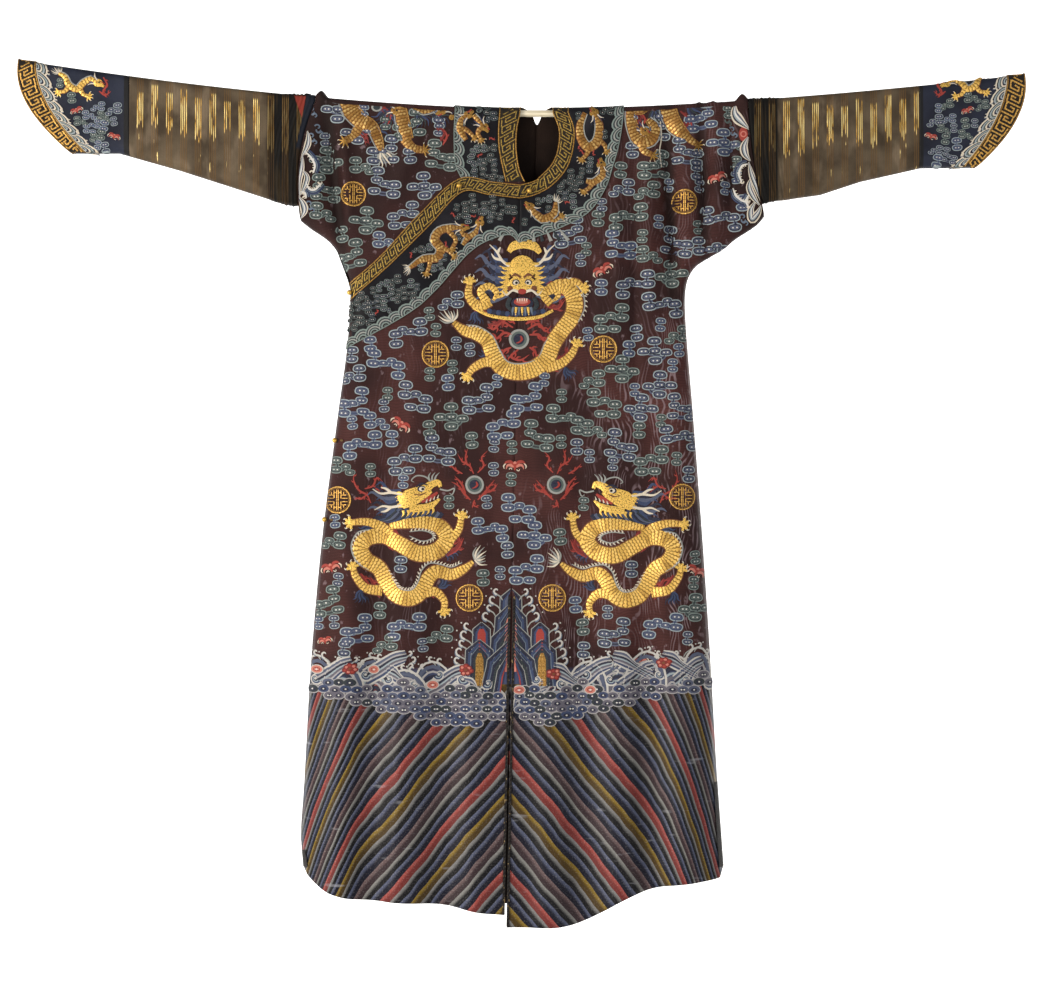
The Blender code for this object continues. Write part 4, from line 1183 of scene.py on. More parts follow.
# ------------------------------------------------------------------ needlework: the dragons
# Five-clawed dragons in couched gold thread over padding, with floss manes, fins and flames:
# one facing out on the breast and one on the back, and a pair in profile on each skirt.
BED_LIFT = 0.42
BRAID_KEEP, EDGE_KEEP = 6.4, 2.5
DESIGN, TOES = 3.18, 5
FLOSSES = {"white": (206, 196, 178), "pale": (142, 144, 140), "sky": (92, 106, 124),
           "blue": (44, 58, 90), "navy": (22, 28, 50), "green": (78, 90, 88), "deep": (32, 42, 48),
           "red": (146, 50, 42), "pink": (186, 112, 98), "black": (14, 12, 14),
           "brown": (104, 60, 34), "mist": (142, 154, 160), "snow": (206, 204, 200),
           "slate": (72, 80, 102), "dark_red": (112, 32, 30), "moss": (116, 130, 126),
           "ash": (86, 84, 96), "rim": (152, 150, 152), "surf": (180, 177, 172)}
GOLDS = {"gold": (236, 194, 96), "old_gold": (150, 112, 52), "dull_gold": (152, 114, 50),
         "key_gold": (156, 130, 58), "mid_gold": (204, 158, 78)}
# the second hide is a darker copy, used as painted shade at the top of the robe
HIDES = {"scales": (232, 188, 94), "dull_scales": (150, 108, 50)}
# every thread with its dye and the number of its finish
THREADS = {name: (dye(*shade), finish) for finish, shades in enumerate((FLOSSES, GOLDS, HIDES))
           for name, shade in shades.items()}
Spot = namedtuple("Spot", "x z size flip turn")


def floss_silk():
    """Satin stitch: each thread a fine ridge that runs across its shape."""
    silk = Finish("floss", Specular_IOR_Level=0.18)
    colour = silk.attribute("Thread", "Color")
    place = silk.flat_place("Stitch")
    _, v = silk.parts(place)
    uneven = silk.grain(place, 150, 900)
    silk.feed("Base Color", silk.mix(uneven.ramp(0.3, 0.75) * 0.3, colour,
                                     silk.mix(0.5, colour, dye(120, 112, 108))))
    silk.feed("Roughness", 0.4 + 0.25 * uneven)
    silk.raise_by((v * 9.0).math("SINE") * 0.3 + uneven, 0.22)
    return silk.material


SCALE_LONG, SCALE_WIDE, SCALE_EDGE = 5.6, 6.4, 0.88
# the first colour is the brown of the scales' painted shade
HIDE_PAINTED_SHADE, HIDE_LINE, GOLD_WORN = dye(122, 80, 34), dye(96, 58, 24), dye(120, 84, 44)


def gold_thread(scaled):
    """Gold-wrapped thread in couched pairs, laid over padding; scaled for a dragon's hide."""
    gold = Finish("gold_scales" if scaled else "gold_thread", Specular_IOR_Level=0.5)
    colour = gold.attribute("Thread", "Color")
    place = gold.flat_place("Stitch")
    u, v = gold.parts(place)
    glint = gold.grain(place, 420, 420)
    worn = gold.grain(place, 60, 60)
    # painted glints: the gold darkens between glints and takes pale painted highlights on them
    base = gold.mix(glint.ramp(0.3, 0.55), GOLD_DULL, colour)
    base = gold.mix(glint.ramp(0.54, 0.7) * 0.55, base, gold.mix(0.5, colour, GOLD_HIGHLIGHT))
    height = glint
    if scaled:
        row = (v / SCALE_LONG).math("FLOOR")
        cell_u = ((u / SCALE_WIDE + row * 0.5) % 1.0) - 0.5
        cell_v = (v / SCALE_LONG) % 1.0
        edge = (cell_u * cell_u * 1.8 + cell_v * cell_v).math("SQRT")
        rim = abs(edge - SCALE_EDGE).ramp(0.2, 0.07)
        rubbed = gold.grain(place, 300, 300, 1.0).ramp(0.3, 0.5)
        base = gold.mix(rubbed, gold.mix(0.35, colour, GOLD_DULL), colour)
        # painted light and shade: broad patches darken the scales, and their middles get painted
        # highlights
        lit = gold.grain(place, 24, 60)
        base = gold.mix(lit.ramp(0.5, 0.3) * 0.5, base, HIDE_PAINTED_SHADE)
        base = gold.mix((1 - edge).ramp(0.1, 0.9) * lit.ramp(0.4, 0.62) * 0.8, base,
                        gold.mix(0.6, colour, GOLD_HIGHLIGHT))
        base = gold.mix(rim * 0.75, base, HIDE_LINE)
        height = glint * 0.25 + (1 - rim) * 0.9
    gold.feed("Base Color", gold.mix(worn.ramp(0.62, 0.8) * 0.5, base, GOLD_WORN))
    gold.feed("Metallic", 0.55 + 0.25 * glint)
    gold.feed("Roughness", 0.34 + 0.3 * worn)
    gold.raise_by(height, 0.6)
    return gold.material


STITCHES = [floss_silk(), gold_thread(False), gold_thread(True)]
BUSY = {FRONT: [], BACK: []}


def on_body(x, z, face, lift):
    """Places on the silk of the body, whichever panel is uppermost there."""
    placed = np.zeros(np.shape(x) + (3,))
    centre = x_on((CENTRE_TOP, CENTRE_FOOT) if face == FRONT else BACK_CENTRE, z)
    left = x > np.where(z > CENTRE_TOP[1], 0, centre)
    under = ~left & (z > z_on(OVERLAP_EDGE, x)) & (face == FRONT)
    for mask, hang in ((left, HANGS["left"]), (under, UNDER_HANG),
                       (~left & ~under, HANGS["right"])):
        placed[mask] = hang.place(x[mask], z[mask], face, lift[mask])
    return placed


def side_limit(side, z):
    """x of the side seam, or of the upper sleeve's end above it."""
    ring = STUB[side]
    corner_x, corner_z = SIDE_SEAM[side][0]
    share = np.clip((rod_height(corner_x) - z) / (rod_height(corner_x) - corner_z), 0, 1)
    return np.where(z < corner_z, x_on(SIDE_SEAM[side], z), ring_x(ring, share))


def heading(degrees):
    """A unit step in a direction, and one to the left of it."""
    turn = math.radians(degrees)
    out = np.array([math.cos(turn), math.sin(turn)])
    return out, np.array([-out[1], out[0]])


def beside(line):
    """Unit steps to one side of a line, all along it."""
    run = np.gradient(line, axis=0)
    run /= np.linalg.norm(run, axis=1, keepdims=True)
    return np.stack([-run[:, 1], run[:, 0]], -1)


def spread(widths, count):
    """Widths spread evenly over so many places."""
    return np.interp(np.linspace(0, 1, count), np.linspace(0, 1, len(widths)), widths)


class Track:
    """A strip between two lines: design x runs along it, and y goes from -1 to 1 across it."""
    size, flip = 1.0, 1

    def __init__(self, first, last):
        self.middle = (first + last) / 2
        self.across = (last - first) / 2
        steps = np.linalg.norm(np.diff(self.middle, axis=0), axis=1)
        self.along = np.concatenate([[0.0], np.cumsum(steps)])
        self.length = float(self.along[-1])

    def put(self, points):
        s, t = points[..., 0], points[..., 1]
        return np.stack([np.interp(s, self.along, self.middle[:, axis])
                         + np.interp(s, self.along, self.across[:, axis]) * t
                         for axis in (0, 1)], -1)


class Needlework:
    """One piece of needlework: rows of three points across every stroke."""

    def __init__(self, name, face, bed=on_body, lift=BED_LIFT):
        self.name = name
        self.face = face
        self.bed = bed
        self.lift = lift
        self.spot = Spot(0, 0, 1, 1, 0)
        self.gold, self.scales = "gold", "scales"
        self.flat, self.lifts, self.stitch, self.threads = [], [], [], []

    def put(self, points):
        """Design points, whose y runs down, on the cloth."""
        points = np.asarray(points, float)
        spot = self.spot
        if isinstance(spot, Track):
            return spot.put(points)
        u, v = points[..., 0] * spot.flip * spot.size, -points[..., 1] * spot.size
        cos, sin = math.cos(spot.turn), math.sin(spot.turn)
        return np.stack([spot.x + u * cos - v * sin, spot.z + u * sin + v * cos], -1)

    def rows(self, flat, lifts, stitch, thread):
        self.flat.append(flat)
        self.lifts.append(lifts)
        self.stitch.append(stitch)
        self.threads.append(thread)

    def stroke(self, points, widths, thread, layer=0.0, height=0.5, steps=5):
        """A padded line of needlework, with its widths spread evenly along it."""
        line = self.put(curved(points, steps) if steps > 1 else points)
        run = np.gradient(line, axis=0)
        length = np.linalg.norm(run, axis=1, keepdims=True) + 1e-9
        across = np.stack([-run[:, 1], run[:, 0]], -1) / length
        widths = np.atleast_1d(np.asarray(widths, float)) * self.spot.size
        half = spread(widths, len(line)) / 2
        sides = across * half[:, None]
        flat = np.stack([line + sides, line, line - sides], 1)
        crown = height * np.clip(half / half.max() * 1.4, 0.25, 1)
        lifts = self.lift + layer + np.stack([0 * crown, crown, 0 * crown], 1)
        along = np.cumsum(length[:, 0])
        stitch = np.stack([np.stack([side * half, along], -1) for side in (-1, 0, 1)], 1)
        self.rows(flat, lifts, stitch, thread)

    def blob(self, u, v, half_wide, up, down, thread, layer=0.0, height=0.3, steps=7, blunt=2.0):
        """A small padded oval, squarer the blunter it is."""
        t = -np.cos(np.linspace(0.06, math.pi - 0.06, steps))
        reach = (1 - np.abs(t) ** blunt) ** (1 / blunt)
        local = np.stack([np.stack([u + t * half_wide, v - reach * up], -1),
                          np.stack([u + t * half_wide, v + 0 * t], -1),
                          np.stack([u + t * half_wide, v + reach * down], -1)], 1)
        crown = height * reach
        lifts = self.lift + layer + np.stack([0 * crown, crown, 0 * crown], 1)
        self.rows(self.put(local), lifts, local * self.spot.size, thread)

    def ring(self, u, v, radius, width, thread, layer=0.0, height=0.4, count=16):
        turn = np.linspace(0, 2 * math.pi, count + 1)
        points = np.stack([u + radius * np.cos(turn), v + radius * np.sin(turn)], -1)
        self.stroke(points, width, thread, layer, height, steps=1)

    def curl(self, u, v, radius, start, sweep, width, thread, layer=0.0, count=8):
        """A line that winds in to a point."""
        share = np.linspace(0, 1, count)
        turn = np.radians(start + sweep * share)
        reach = radius * (1 - 0.75 * share)
        points = np.stack([u + reach * np.cos(turn), v + reach * np.sin(turn)], -1)
        self.stroke(points, [width, width, width * 0.5], thread, layer, 0.4, steps=1)

    def busy(self):
        """Marks where this work lies, so that nothing is strewn over it."""
        for flat in self.flat:
            half = np.linalg.norm(flat[:, 0] - flat[:, 2], axis=1) / 2
            BUSY[self.face].append(np.column_stack([flat[:, 1], half]))

    def on_silk(self, flat):
        """A stroke kept inside the side seams and on its own side of the open slit."""
        if self.bed is not on_body:
            return flat
        x, z = flat[..., 0], flat[..., 1]
        low, high = (side_limit(side, z) for side in ("right", "left"))
        x = np.clip(x, low + EDGE_KEEP, high - EDGE_KEEP)
        z = np.minimum(z, rod_height(x) - 0.5)
        if z.min() < SLIT_TOP:
            centre = x_on((CENTRE_TOP, CENTRE_FOOT) if self.face == FRONT else BACK_CENTRE, z)
            side = 1 if (x - centre).mean() > 0 else -1
            near = BRAID_KEEP * np.clip((SLIT_TOP + 10 - z) / 10, 0, 1)
            x = centre + side * np.maximum(side * (x - centre), near)
        return np.stack([x, z], -1)

    def make(self, strewn=False):
        if not strewn:
            self.busy()
        counts = [len(flat) for flat in self.flat]
        flat = np.concatenate([self.on_silk(part) for part in self.flat])
        lifts = np.concatenate(self.lifts)
        placed = self.bed(flat[..., 0], flat[..., 1], self.face, lifts)
        cloth = bmesh.new()
        bmesh.ops.create_grid(cloth, x_segments=2, y_segments=len(flat) - 1, size=1)
        ends = set((np.cumsum(counts) - 1).tolist())
        between = [face for face in cloth.faces
                   if min(vert.index for vert in face.verts) // 3 in ends]
        bmesh.ops.delete(cloth, geom=between, context="FACES_ONLY")
        shell = settled(cloth, self.name)
        corners = lay_out(shell, placed, np.concatenate(self.stitch), "Stitch")
        shades = [THREADS[thread][0] for thread in self.threads]
        colours = np.repeat(np.array(shades), np.array(counts) * 3, axis=0)
        layer = shell.attributes.new("Thread", "FLOAT_COLOR", "POINT")
        layer.data.foreach_set("color", colours.reshape(-1))
        kinds = np.repeat([THREADS[thread][1] for thread in self.threads], counts)
        first = corners.reshape(-1, 4).min(axis=1) // 3
        shell.polygons.foreach_set("material_index", kinds[first])
        shell.update()
        facing = np.zeros(len(shell.polygons) * 3)
        shell.polygons.foreach_get("normal", facing)
        wrong = facing.reshape(-1, 3)[:, 1] * self.face < -0.02
        if wrong.any():
            turned = bmesh.new()
            turned.from_mesh(shell)
            turned.faces.ensure_lookup_table()
            bmesh.ops.reverse_faces(turned, faces=[turned.faces[i] for i in np.flatnonzero(wrong)])
            turned.to_mesh(shell)
            turned.free()
        shell.shade_smooth()
        for stitch_finish in STITCHES:
            shell.materials.append(stitch_finish)
        item = in_scene(self.name, shell)
        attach(item, "root")

    # -------- parts of dragons

    def claws(self, u, v, aim, reach):
        """A spread foot: five hooked toes, with pale nails."""
        for toe in range(TOES):
            out, side = heading(aim - 82 + 164 * toe / (TOES - 1))
            side = side * (0.5 if toe < TOES / 2 else -0.5)
            base = np.array([u, v])
            tip = base + out * reach * 0.72
            self.stroke([base, base + out * reach * 0.45 + side * 0.6, tip], [2.2, 1.5, 1.3],
                        self.gold, 0.5, 0.7, 3)
            self.stroke([tip, tip + out * reach * 0.16 + side * 0.6, tip + out * reach * 0.2
                         + side * 2.2], [0.9, 0.6, 0.2], "white", 0.6, 0.4, 2)
        self.blob(u, v, 1.8, 1.8, 1.8, self.gold, 0.8, 0.9, 6)

    def leg(self, points, widths, aim, tuft=None, reach=5.0):
        self.stroke(points, [w + 1.1 for w in widths], "brown", 0.25, 0.3, 4)
        self.stroke(points, widths, self.scales, 0.5, 1.8, 4)
        self.claws(*points[-1], aim, reach)
        if tuft:
            root = np.array(tuft[:2], float)
            for lock in range(6):
                out, side = heading(tuft[2] - 36 + 14 * lock)
                self.stroke([root, root + out * 3.2 + side * 0.8, root + out * 5.6 - side * 0.6,
                             root + out * (8.2 - lock % 2)], [1.4, 1.1, 0.8, 0.2],
                            "blue" if lock % 2 else "navy", 0.1, 0.3, 3)

    def flame(self, points, thread="red", width=1.2):
        """A branching tongue of fire along a line."""
        line = curved(points, 5)
        self.stroke(points, [width * 0.5, width, width * 0.8, 0.2], thread, 0.15, 0.35)
        for step in range(2, len(line) - 2, 3):
            run = line[step + 1] - line[step - 1]
            run /= np.linalg.norm(run) + 1e-9
            side = np.array([-run[1], run[0]]) * (1 if step % 2 else -1)
            start = line[step]
            self.stroke([start, start + side * 1.5 + run * 0.6, start + side * 2.2 + run * 2.4],
                        [width * 0.7, width * 0.6, 0.2], thread, 0.15, 0.3, 3)

    def fire(self, points, width, bright=1.3):
        """A dark flame with a brighter one inside it."""
        self.flame(points, "dark_red", width)
        self.flame([(u + 0.8, v + 0.5) for u, v in points], width=bright)

    def fin(self, points, side, size=1.6):
        """A row of small pale spines along one side of a body."""
        line = curved(points, 7)
        run = np.gradient(line, axis=0)
        run /= np.linalg.norm(run, axis=1, keepdims=True) + 1e-9
        across = np.stack([-run[:, 1], run[:, 0]], -1) * side
        self.stroke(line, [0.5, 0.8, 0.5], "pale", 0.6, 0.4, 1)
        for step in range(1, len(line) - 1, 2):
            root, out, back = line[step], across[step], run[step]
            self.stroke([root, root + out * size * 0.6 + back * 0.2,
                         root + out * size + back * 0.9], [1.0, 0.7, 0.2], "white", 0.5, 0.3, 2)

    def tail(self, u, v, aim):
        for lock in range(8):
            out, side = heading(aim - 62 + 17 * lock)
            side = side * (lock - 3.5) * 0.25
            root = np.array([u, v])
            length = 7.2 + 1.6 * math.sin(lock * 0.9)
            self.stroke([root, root + out * length * 0.5 + side, root + out * length - side],
                        [1.1, 1.0, 0.2], "white" if lock % 2 else "pale", 0.4, 0.4, 4)

    def hide(self, points, widths):
        """A dragon's body: a dark edge and a scaled back."""
        self.stroke(points, [w + 1.3 for w in widths], "brown", 0.15, 0.3, 9)
        self.stroke(points, widths, self.scales, 0.45, 2.8, 9)


def side_dragon(work, spot):
    """A dragon in profile: its head turned up, its body thrown in two loops beneath."""
    work.spot = spot
    body = [(-14, -10), (-5, -11.5), (6, -12), (14, -9.5), (17.5, -3), (12, 3.5), (2, 5),
            (-8, 0), (-17, -4.5), (-26, -3.5), (-30, 2), (-27, 8.5), (-20, 13), (-16, 20),
            (-11, 27), (-3, 29.5), (3.5, 26), (7.5, 18.5), (12, 15), (20, 16.5), (27, 13.5),
            (32, 9.5)]
    widths = [3, 5.2, 7, 8.2, 8.6, 8.8, 8.6, 8.2, 8, 8.2, 8.4, 8.4, 8.2, 8.4, 8.6, 8.4, 8, 7.6, 7,
              6, 4.4, 1.8]
    work.tail(33, 8.5, -28)
    for lock in range(17):
        root = np.array([-13 + lock * 1.75, -20.5 + 0.2 * lock])
        work.stroke([root, root + (-2.6, 3.2), root + (-5.8, 6.2), root + (-12, 7.4)],
                    [2.4, 2.6, 2.0, 0.5], ("navy", "blue", "deep", "slate")[lock % 4], 0.2, 0.5, 4)
    for lock in range(8):
        root = np.array([-7.5, -29.5 + lock * 1.5])
        end = np.array([-21.5 - (lock % 3) * 2.4, -32.5 + lock * 2.7])
        work.stroke([root, (root + end) / 2 + (0, 1.6), end + (3, -1.6), end],
                    [2.2, 2.2, 1.4, 0.4], ("blue", "navy", "slate")[lock % 3], 0.25, 0.4, 4)
    work.leg([(11, 2), (19, -2.5), (24, -8), (25.5, -15)], [5, 4.6, 3.8, 2.8], -80, (18, 2, 60))
    work.leg([(-14, -5.5), (-20, -10.5), (-28, -12.5), (-35, -12)], [6.4, 5, 3.8, 2.8], 170,
             (-24, -9, 150))
    work.leg([(-18, 25.5), (-27, 24), (-32.5, 17.5), (-34, 13)], [5.6, 4.6, 3.6, 2.8], -110,
             (-29, 25, 100))
    work.leg([(3, 27), (11, 26), (16, 31), (16, 36)], [5.6, 4.8, 3.6, 2.8], 80, (13, 23.5, -40))
    work.hide(body, widths)
    work.fin([(-3, -7), (4, -7.6), (9, -6), (9.5, -3.4), (4, -1.8), (-3, -4.6)], -1)
    work.fin([(-25, -8.2), (-31.5, -6.5), (-35, 1), (-32, 9.5), (-25.5, 14)], -1)
    work.fin([(-16, 14), (-11.5, 20), (-8, 24.5), (-2, 25), (1.5, 21), (3.5, 14.5), (8, 10.4),
              (14, 11), (20, 12.5), (26, 10)], -1)
    for points in ([(-16, -9), (-11, -7), (-9, -2), (-5, 2)], [(-22, -3), (-14, 0), (-9, 3)],
                   [(16, 4), (20, -1), (22, -8)], [(4, 22), (9, 26), (13, 28)],
                   [(-25, 18), (-21, 24), (-14, 27)], [(-8, -2), (-4, 1), (-7, 5)],
                   [(17, 6), (23, 2), (26, -4)], [(-30, 16), (-26, 22), (-20, 29)]):
        work.fire(points, 2.6)
    # the head
    for points in ([(-7, -27.5), (-13, -28.5), (-19, -28), (-23.5, -30.5)],
                   [(-13, -28.4), (-16, -30.6), (-19, -31.4)],
                   [(-7, -21.5), (-13, -20.5), (-18, -21), (-22.5, -19)],
                   [(-13, -20.6), (-16, -18.4), (-19, -17.8)]):
        work.stroke(points, [1.5, 1.4, 1.1, 0.4], "white", 0.8, 0.7, 4)
    work.stroke([(-8, -22.5), (-3, -25.5), (3, -28), (8, -31)], [7, 9.6, 8.6, 5.2], "gold", 0.7,
                1.6, 4)
    work.stroke([(5, -30), (9, -33), (12.6, -34), (14, -31.6)], [5.4, 4, 3.4, 1.8], "gold", 0.9,
                1.6, 4)
    work.stroke([(-3, -19.5), (3, -20), (9, -21.5), (13.6, -25)], [4, 4, 3.4, 1.2], "gold", 0.8,
                1.4, 4)
    work.stroke([(3.5, -23.4), (8, -25.4), (12.4, -28.6)], [1.2, 3.0, 1.2], "red", 0.75, 0.8, 4)
    for tooth in range(4):
        root = (6 + tooth * 2.1, -22.9 - tooth * 0.8)
        tip = (6.7 + tooth * 2.1, -24.9 - tooth * 0.8)
        work.stroke([root, tip], [0.9, 0.2], "white", 1.6, 0.4, 2)
    for spike in range(7):
        root = np.array([-6.5 + spike * 2.7, -18.6 - 0.25 * spike])
        work.stroke([root, root + (0.4, 1.8), root + (-0.8, 3.6)], [1.6, 1.1, 0.2], "gold", 0.9,
                    0.6, 3)
    for spike in range(5):
        root = np.array([-7.5 + spike * 0.6, -28 + spike * 1.9])
        work.stroke([root, root + (-1.8, -0.6), root + (-4, 0.4)], [1.6, 1.2, 0.2], "gold", 0.9,
                    0.6, 3)
    work.blob(3.6, -30.4, 2.4, 1.9, 1.7, "navy", 2.0, 0.3)
    work.blob(3.8, -30.4, 1.7, 1.3, 1.2, "white", 2.3, 0.3)
    work.blob(4.2, -30.4, 0.8, 0.8, 0.8, "black", 2.6, 0.2, 5)
    work.stroke([(0.5, -31.5), (3.5, -33.4), (7, -32.6)], [0.6, 1.2, 0.5], "navy", 2.0, 0.4, 3)
    work.stroke([(-0.6, -27.6), (2.8, -27.2), (6, -28.6)], [0.5, 0.9, 0.4], "brown", 2.2, 0.2, 3)
    work.stroke([(9.6, -33.2), (6, -37), (1, -37.8), (-2, -35.4), (-0.6, -34.2)],
                [0.9, 0.8, 0.7, 0.3], "pale", 0.9, 0.4, 5)
    work.stroke([(13.6, -30.4), (18, -29.6), (21.6, -30.8), (20.6, -27.6), (18.8, -28.2)],
                [0.9, 0.8, 0.7, 0.3], "pale", 0.9, 0.4, 5)
    for tuft in range(3):
        work.stroke([(8 + tuft * 1.4, -35), (7.4 + tuft * 2, -37.4), (8.6 + tuft * 2.4, -39.6)],
                    [1.1, 0.9, 0.2], "pale", 0.8, 0.4, 3)


FACE_AT = 3


def half_face(side, *points):
    """Points on one side of the facing dragon's head."""
    return [(FACE_AT + side * u, v) for u, v in points]


def facing_dragon(work, spot):
    """A dragon that faces out, coiled round the pearl beneath its chin."""
    work.spot = spot
    body = [(16, -12), (23, -15), (29, -13), (32, -6), (30.5, 2), (25, 9.5), (20, 17), (16.5, 25),
            (9, 31), (0, 32.5), (-8, 30), (-13, 23), (-16, 15.5), (-22, 11.5), (-29, 9.5),
            (-35, 5)]
    widths = [5, 7.4, 8.4, 8.8, 8.6, 8.4, 8.6, 8.8, 9, 9, 8.8, 8.4, 7.8, 7, 5.4, 2.2]
    work.tail(-35.5, 4.5, -118)
    for lock in range(24):
        side = -1 if lock % 2 else 1
        step = lock // 2
        root = np.array([3 + side * 8, -29 + step * 1.7])
        end = np.array([3 + side * (19 + (step % 3) * 3.6), -35 + step * 2.5])
        work.stroke([root, (root + end) / 2 + (0, 2.2), end + (-side * 4, -1.8), end],
                    [2.6, 2.8, 1.8, 0.4], ("blue", "navy", "slate")[step % 3], 0.25, 0.4, 5)
    work.stroke([(-24, -3), (-14, 1.6), (0, 3.2), (12, 2.2), (20, -1.5)], [1.6, 2.0, 1.6],
                "gold", 0.7, 0.9, 5)
    for scallop in range(13):
        work.blob(-15 + scallop * 2.45, -1.2 + 1.6 * math.sin(math.pi * scallop / 12), 1.5, 1.3,
                  1.7, "navy" if scallop % 2 else "blue", 0.8, 0.5)
    work.leg([(-15, -7), (-21, -4), (-26.5, -9.5), (-26, -17)], [6.4, 5.6, 4.2, 2.8], -95,
             (-22, -1, 100))
    work.leg([(20, -14), (27, -16.5), (33, -17), (36.5, -14)], [6, 5, 4, 2.8], 20, None)
    work.leg([(-9, 28), (-17, 27), (-24, 30.5), (-27, 34.5)], [6, 5, 4, 2.8], 120,
             (-14, 24.5, 185))
    work.leg([(16, 30), (24, 28), (30, 23), (33, 17.5)], [6, 5, 4, 2.8], -70, (27, 30, 60))
    work.hide(body, widths)
    work.fin([(27.5, -20), (36, -12), (37.4, -3), (34, 5)], -1)
    work.fin([(28.5, 6), (20.5, 10.5), (15.4, 17), (11.6, 25), (3, 28), (-5, 26.8), (-9.5, 20),
              (-13.5, 12.4), (-21, 7.4), (-28, 6.4)], -1)
    work.stroke([(-16, -6), (-20, -12), (-15, -15), (-11, -11), (-13, -7)], [4.4, 4, 3.4, 1.6],
                "scales", 0.8, 1.4, 5)
    work.stroke([(19, -5), (15, -10), (19, -14), (23, -10), (20.5, -7)], [4.4, 4, 3.4, 1.6],
                "scales", 0.8, 1.4, 5)
    for points in ([(13, -13), (18, -17), (24, -18)], [(16, -4), (22, -3), (26, -8)],
                   [(-22, -12), (-19, -8), (-17, -3)], [(14, 27), (20, 30), (25, 26)],
                   [(-14, 26), (-9, 29), (-4, 31)], [(-8, 3), (-11, 6), (-16, 6)],
                   [(20, -12), (26, -10), (30, -12)], [(-24, -8), (-22, -3), (-18, 1)],
                   [(22, 28), (26, 24), (29, 20)], [(-20, 28), (-15, 27), (-10, 28)]):
        work.fire(points, 2.2, 1.2)
    # the crown, horns and head
    work.stroke([(-4.5, -34), (-1.5, -37.2), (4, -38.4), (9.6, -37), (13, -33.4)],
                [2.6, 4.8, 5.2, 4.8, 2.6], "gold", 0.9, 1.4, 5)
    for side in (-1, 1):
        for horn in ([(7, -26), (11, -29), (14, -34), (18, -38)],
                     [(11.5, -29.6), (15, -30.4), (17, -33)], [(13.6, -33.4), (12, -36.6)]):
            work.stroke(half_face(side, *horn), [1.7, 1.5, 1.1, 0.4], "white", 0.9, 0.7, 4)
        for spike in range(8):
            root = np.array([FACE_AT + side * (6.0 + 0.35 * spike), -27 + spike * 2.1])
            tip = root + (side * (5.2 + (spike % 2)), -2.2 + 0.9 * spike)
            work.stroke([root, (root + tip) / 2 + (0, 0.9), tip], [2.4, 1.7, 0.3], "gold", 0.95,
                        0.9, 3)
    work.blob(FACE_AT, -24.6, 7.2, 7.4, 7.0, "gold", 1.1, 1.7, 11)
    work.blob(FACE_AT, -15.4, 8.0, 5.4, 4.0, "gold", 1.2, 1.9, 11)
    for side in (-1, 1):
        work.stroke(half_face(side, (0.8, -19.6), (3.6, -21.4), (6.6, -19.8)), [1.0, 1.5, 0.5],
                    "brown", 2.6, 0.4, 3)
        eye = FACE_AT + side * 3.4
        work.blob(eye, -16.8, 2.1, 1.9, 1.8, "navy", 2.7, 0.3)
        work.blob(eye, -16.8, 1.5, 1.3, 1.3, "white", 3.0, 0.3)
        work.blob(FACE_AT + side * 3.1, -16.7, 0.8, 0.8, 0.8, "black", 3.3, 0.2, 5)
        work.stroke(half_face(side, (1.6, -11.6), (5.4, -12.6), (8.6, -10), (11, -12.4)),
                    [1.5, 1.5, 1.0, 0.3], "white", 2.2, 0.6, 4)
        work.stroke(half_face(side, (6.6, -8.6), (8, -4.2), (5, -0.8)), [2.2, 2.6, 1.6], "deep",
                    1.2, 0.7, 4)
        work.blob(FACE_AT + side * 6.6, -13.6, 1.6, 1.6, 1.6, "brown", 2.4, 0.3)
    work.blob(FACE_AT, -11.8, 2.4, 1.7, 1.5, "red", 2.9, 0.9)
    work.blob(FACE_AT, -5.6, 6.2, 3.4, 4.2, "navy", 1.2, 0.8, 9)
    work.blob(FACE_AT, -6.2, 4.6, 2.2, 2.4, "red", 1.9, 0.4, 9)
    work.blob(FACE_AT, -6.2, 3.4, 1.0, 1.1, "pink", 2.2, 0.3, 7)
    for tooth in range(5):
        work.stroke([(0.4 + tooth * 1.3, -8.0), (0.4 + tooth * 1.3, -6.4)], [0.9, 0.3], "white",
                    2.5, 0.3, 2)
    for tuft in range(7):
        u = -1.8 + tuft * 1.6
        work.stroke([(u, -3.2), (u * 1.1 - 0.3, -0.8), (u * 1.15 - 0.3, 1.4)], [1.4, 1.1, 0.2],
                    "gold" if tuft % 2 else "sky", 1.8, 0.5, 3)


PEARL_RINGS = [(5.6, "pale", 0.3, 0.4, 11), (4.4, "green", 0.6, 0.3, 9),
               (3.1, "navy", 0.9, 0.3, 9)]


def pearl(work, spot):
    """The flaming pearl: a pale ringed disc with a curled spark in it, in a spray of fire."""
    work.spot = spot
    for radius, thread, layer, height, steps in PEARL_RINGS:
        work.blob(0, 0, radius, radius, radius, thread, layer, height, steps)
    work.stroke([(0.9, -1.8), (1.6, 0), (0.4, 1.5), (-1.6, 2.2)], [0.7, 1.3, 0.9, 0.3], "red",
                1.2, 0.4, 4)


SKIRT_DRAGONS = {FRONT: [Spot(-212, -760, DESIGN, 1, 0), Spot(145, -763, DESIGN, -1, 0)],
                 BACK: [Spot(-196, -760, DESIGN, 1, 0), Spot(150, -760, DESIGN, -1, 0)]}
CHIN_FIRES = [
    [(-2, 8), (-8, 5), (-13, 9), (-16, 6)], [(6, 9), (12, 6), (16, 10), (19, 7)],
    [(1, 20), (-3, 24), (2, 26), (7, 23)], [(-2, 12), (-7, 11), (-11, 14), (-15, 12)],
    [(7, 12), (12, 12), (15, 15), (17, 13)], [(-1, 6), (-4, 3), (-9, 5)],
    [(5, 6), (9, 4), (13, 5)], [(-3, 19), (-7, 21), (-8, 25)], [(7, 19), (10, 21), (11, 25)],
]
FACING_DRAGONS = {FRONT: Spot(-34, -354, DESIGN, 1, 0), BACK: Spot(-16, -354, DESIGN, 1, 0)}
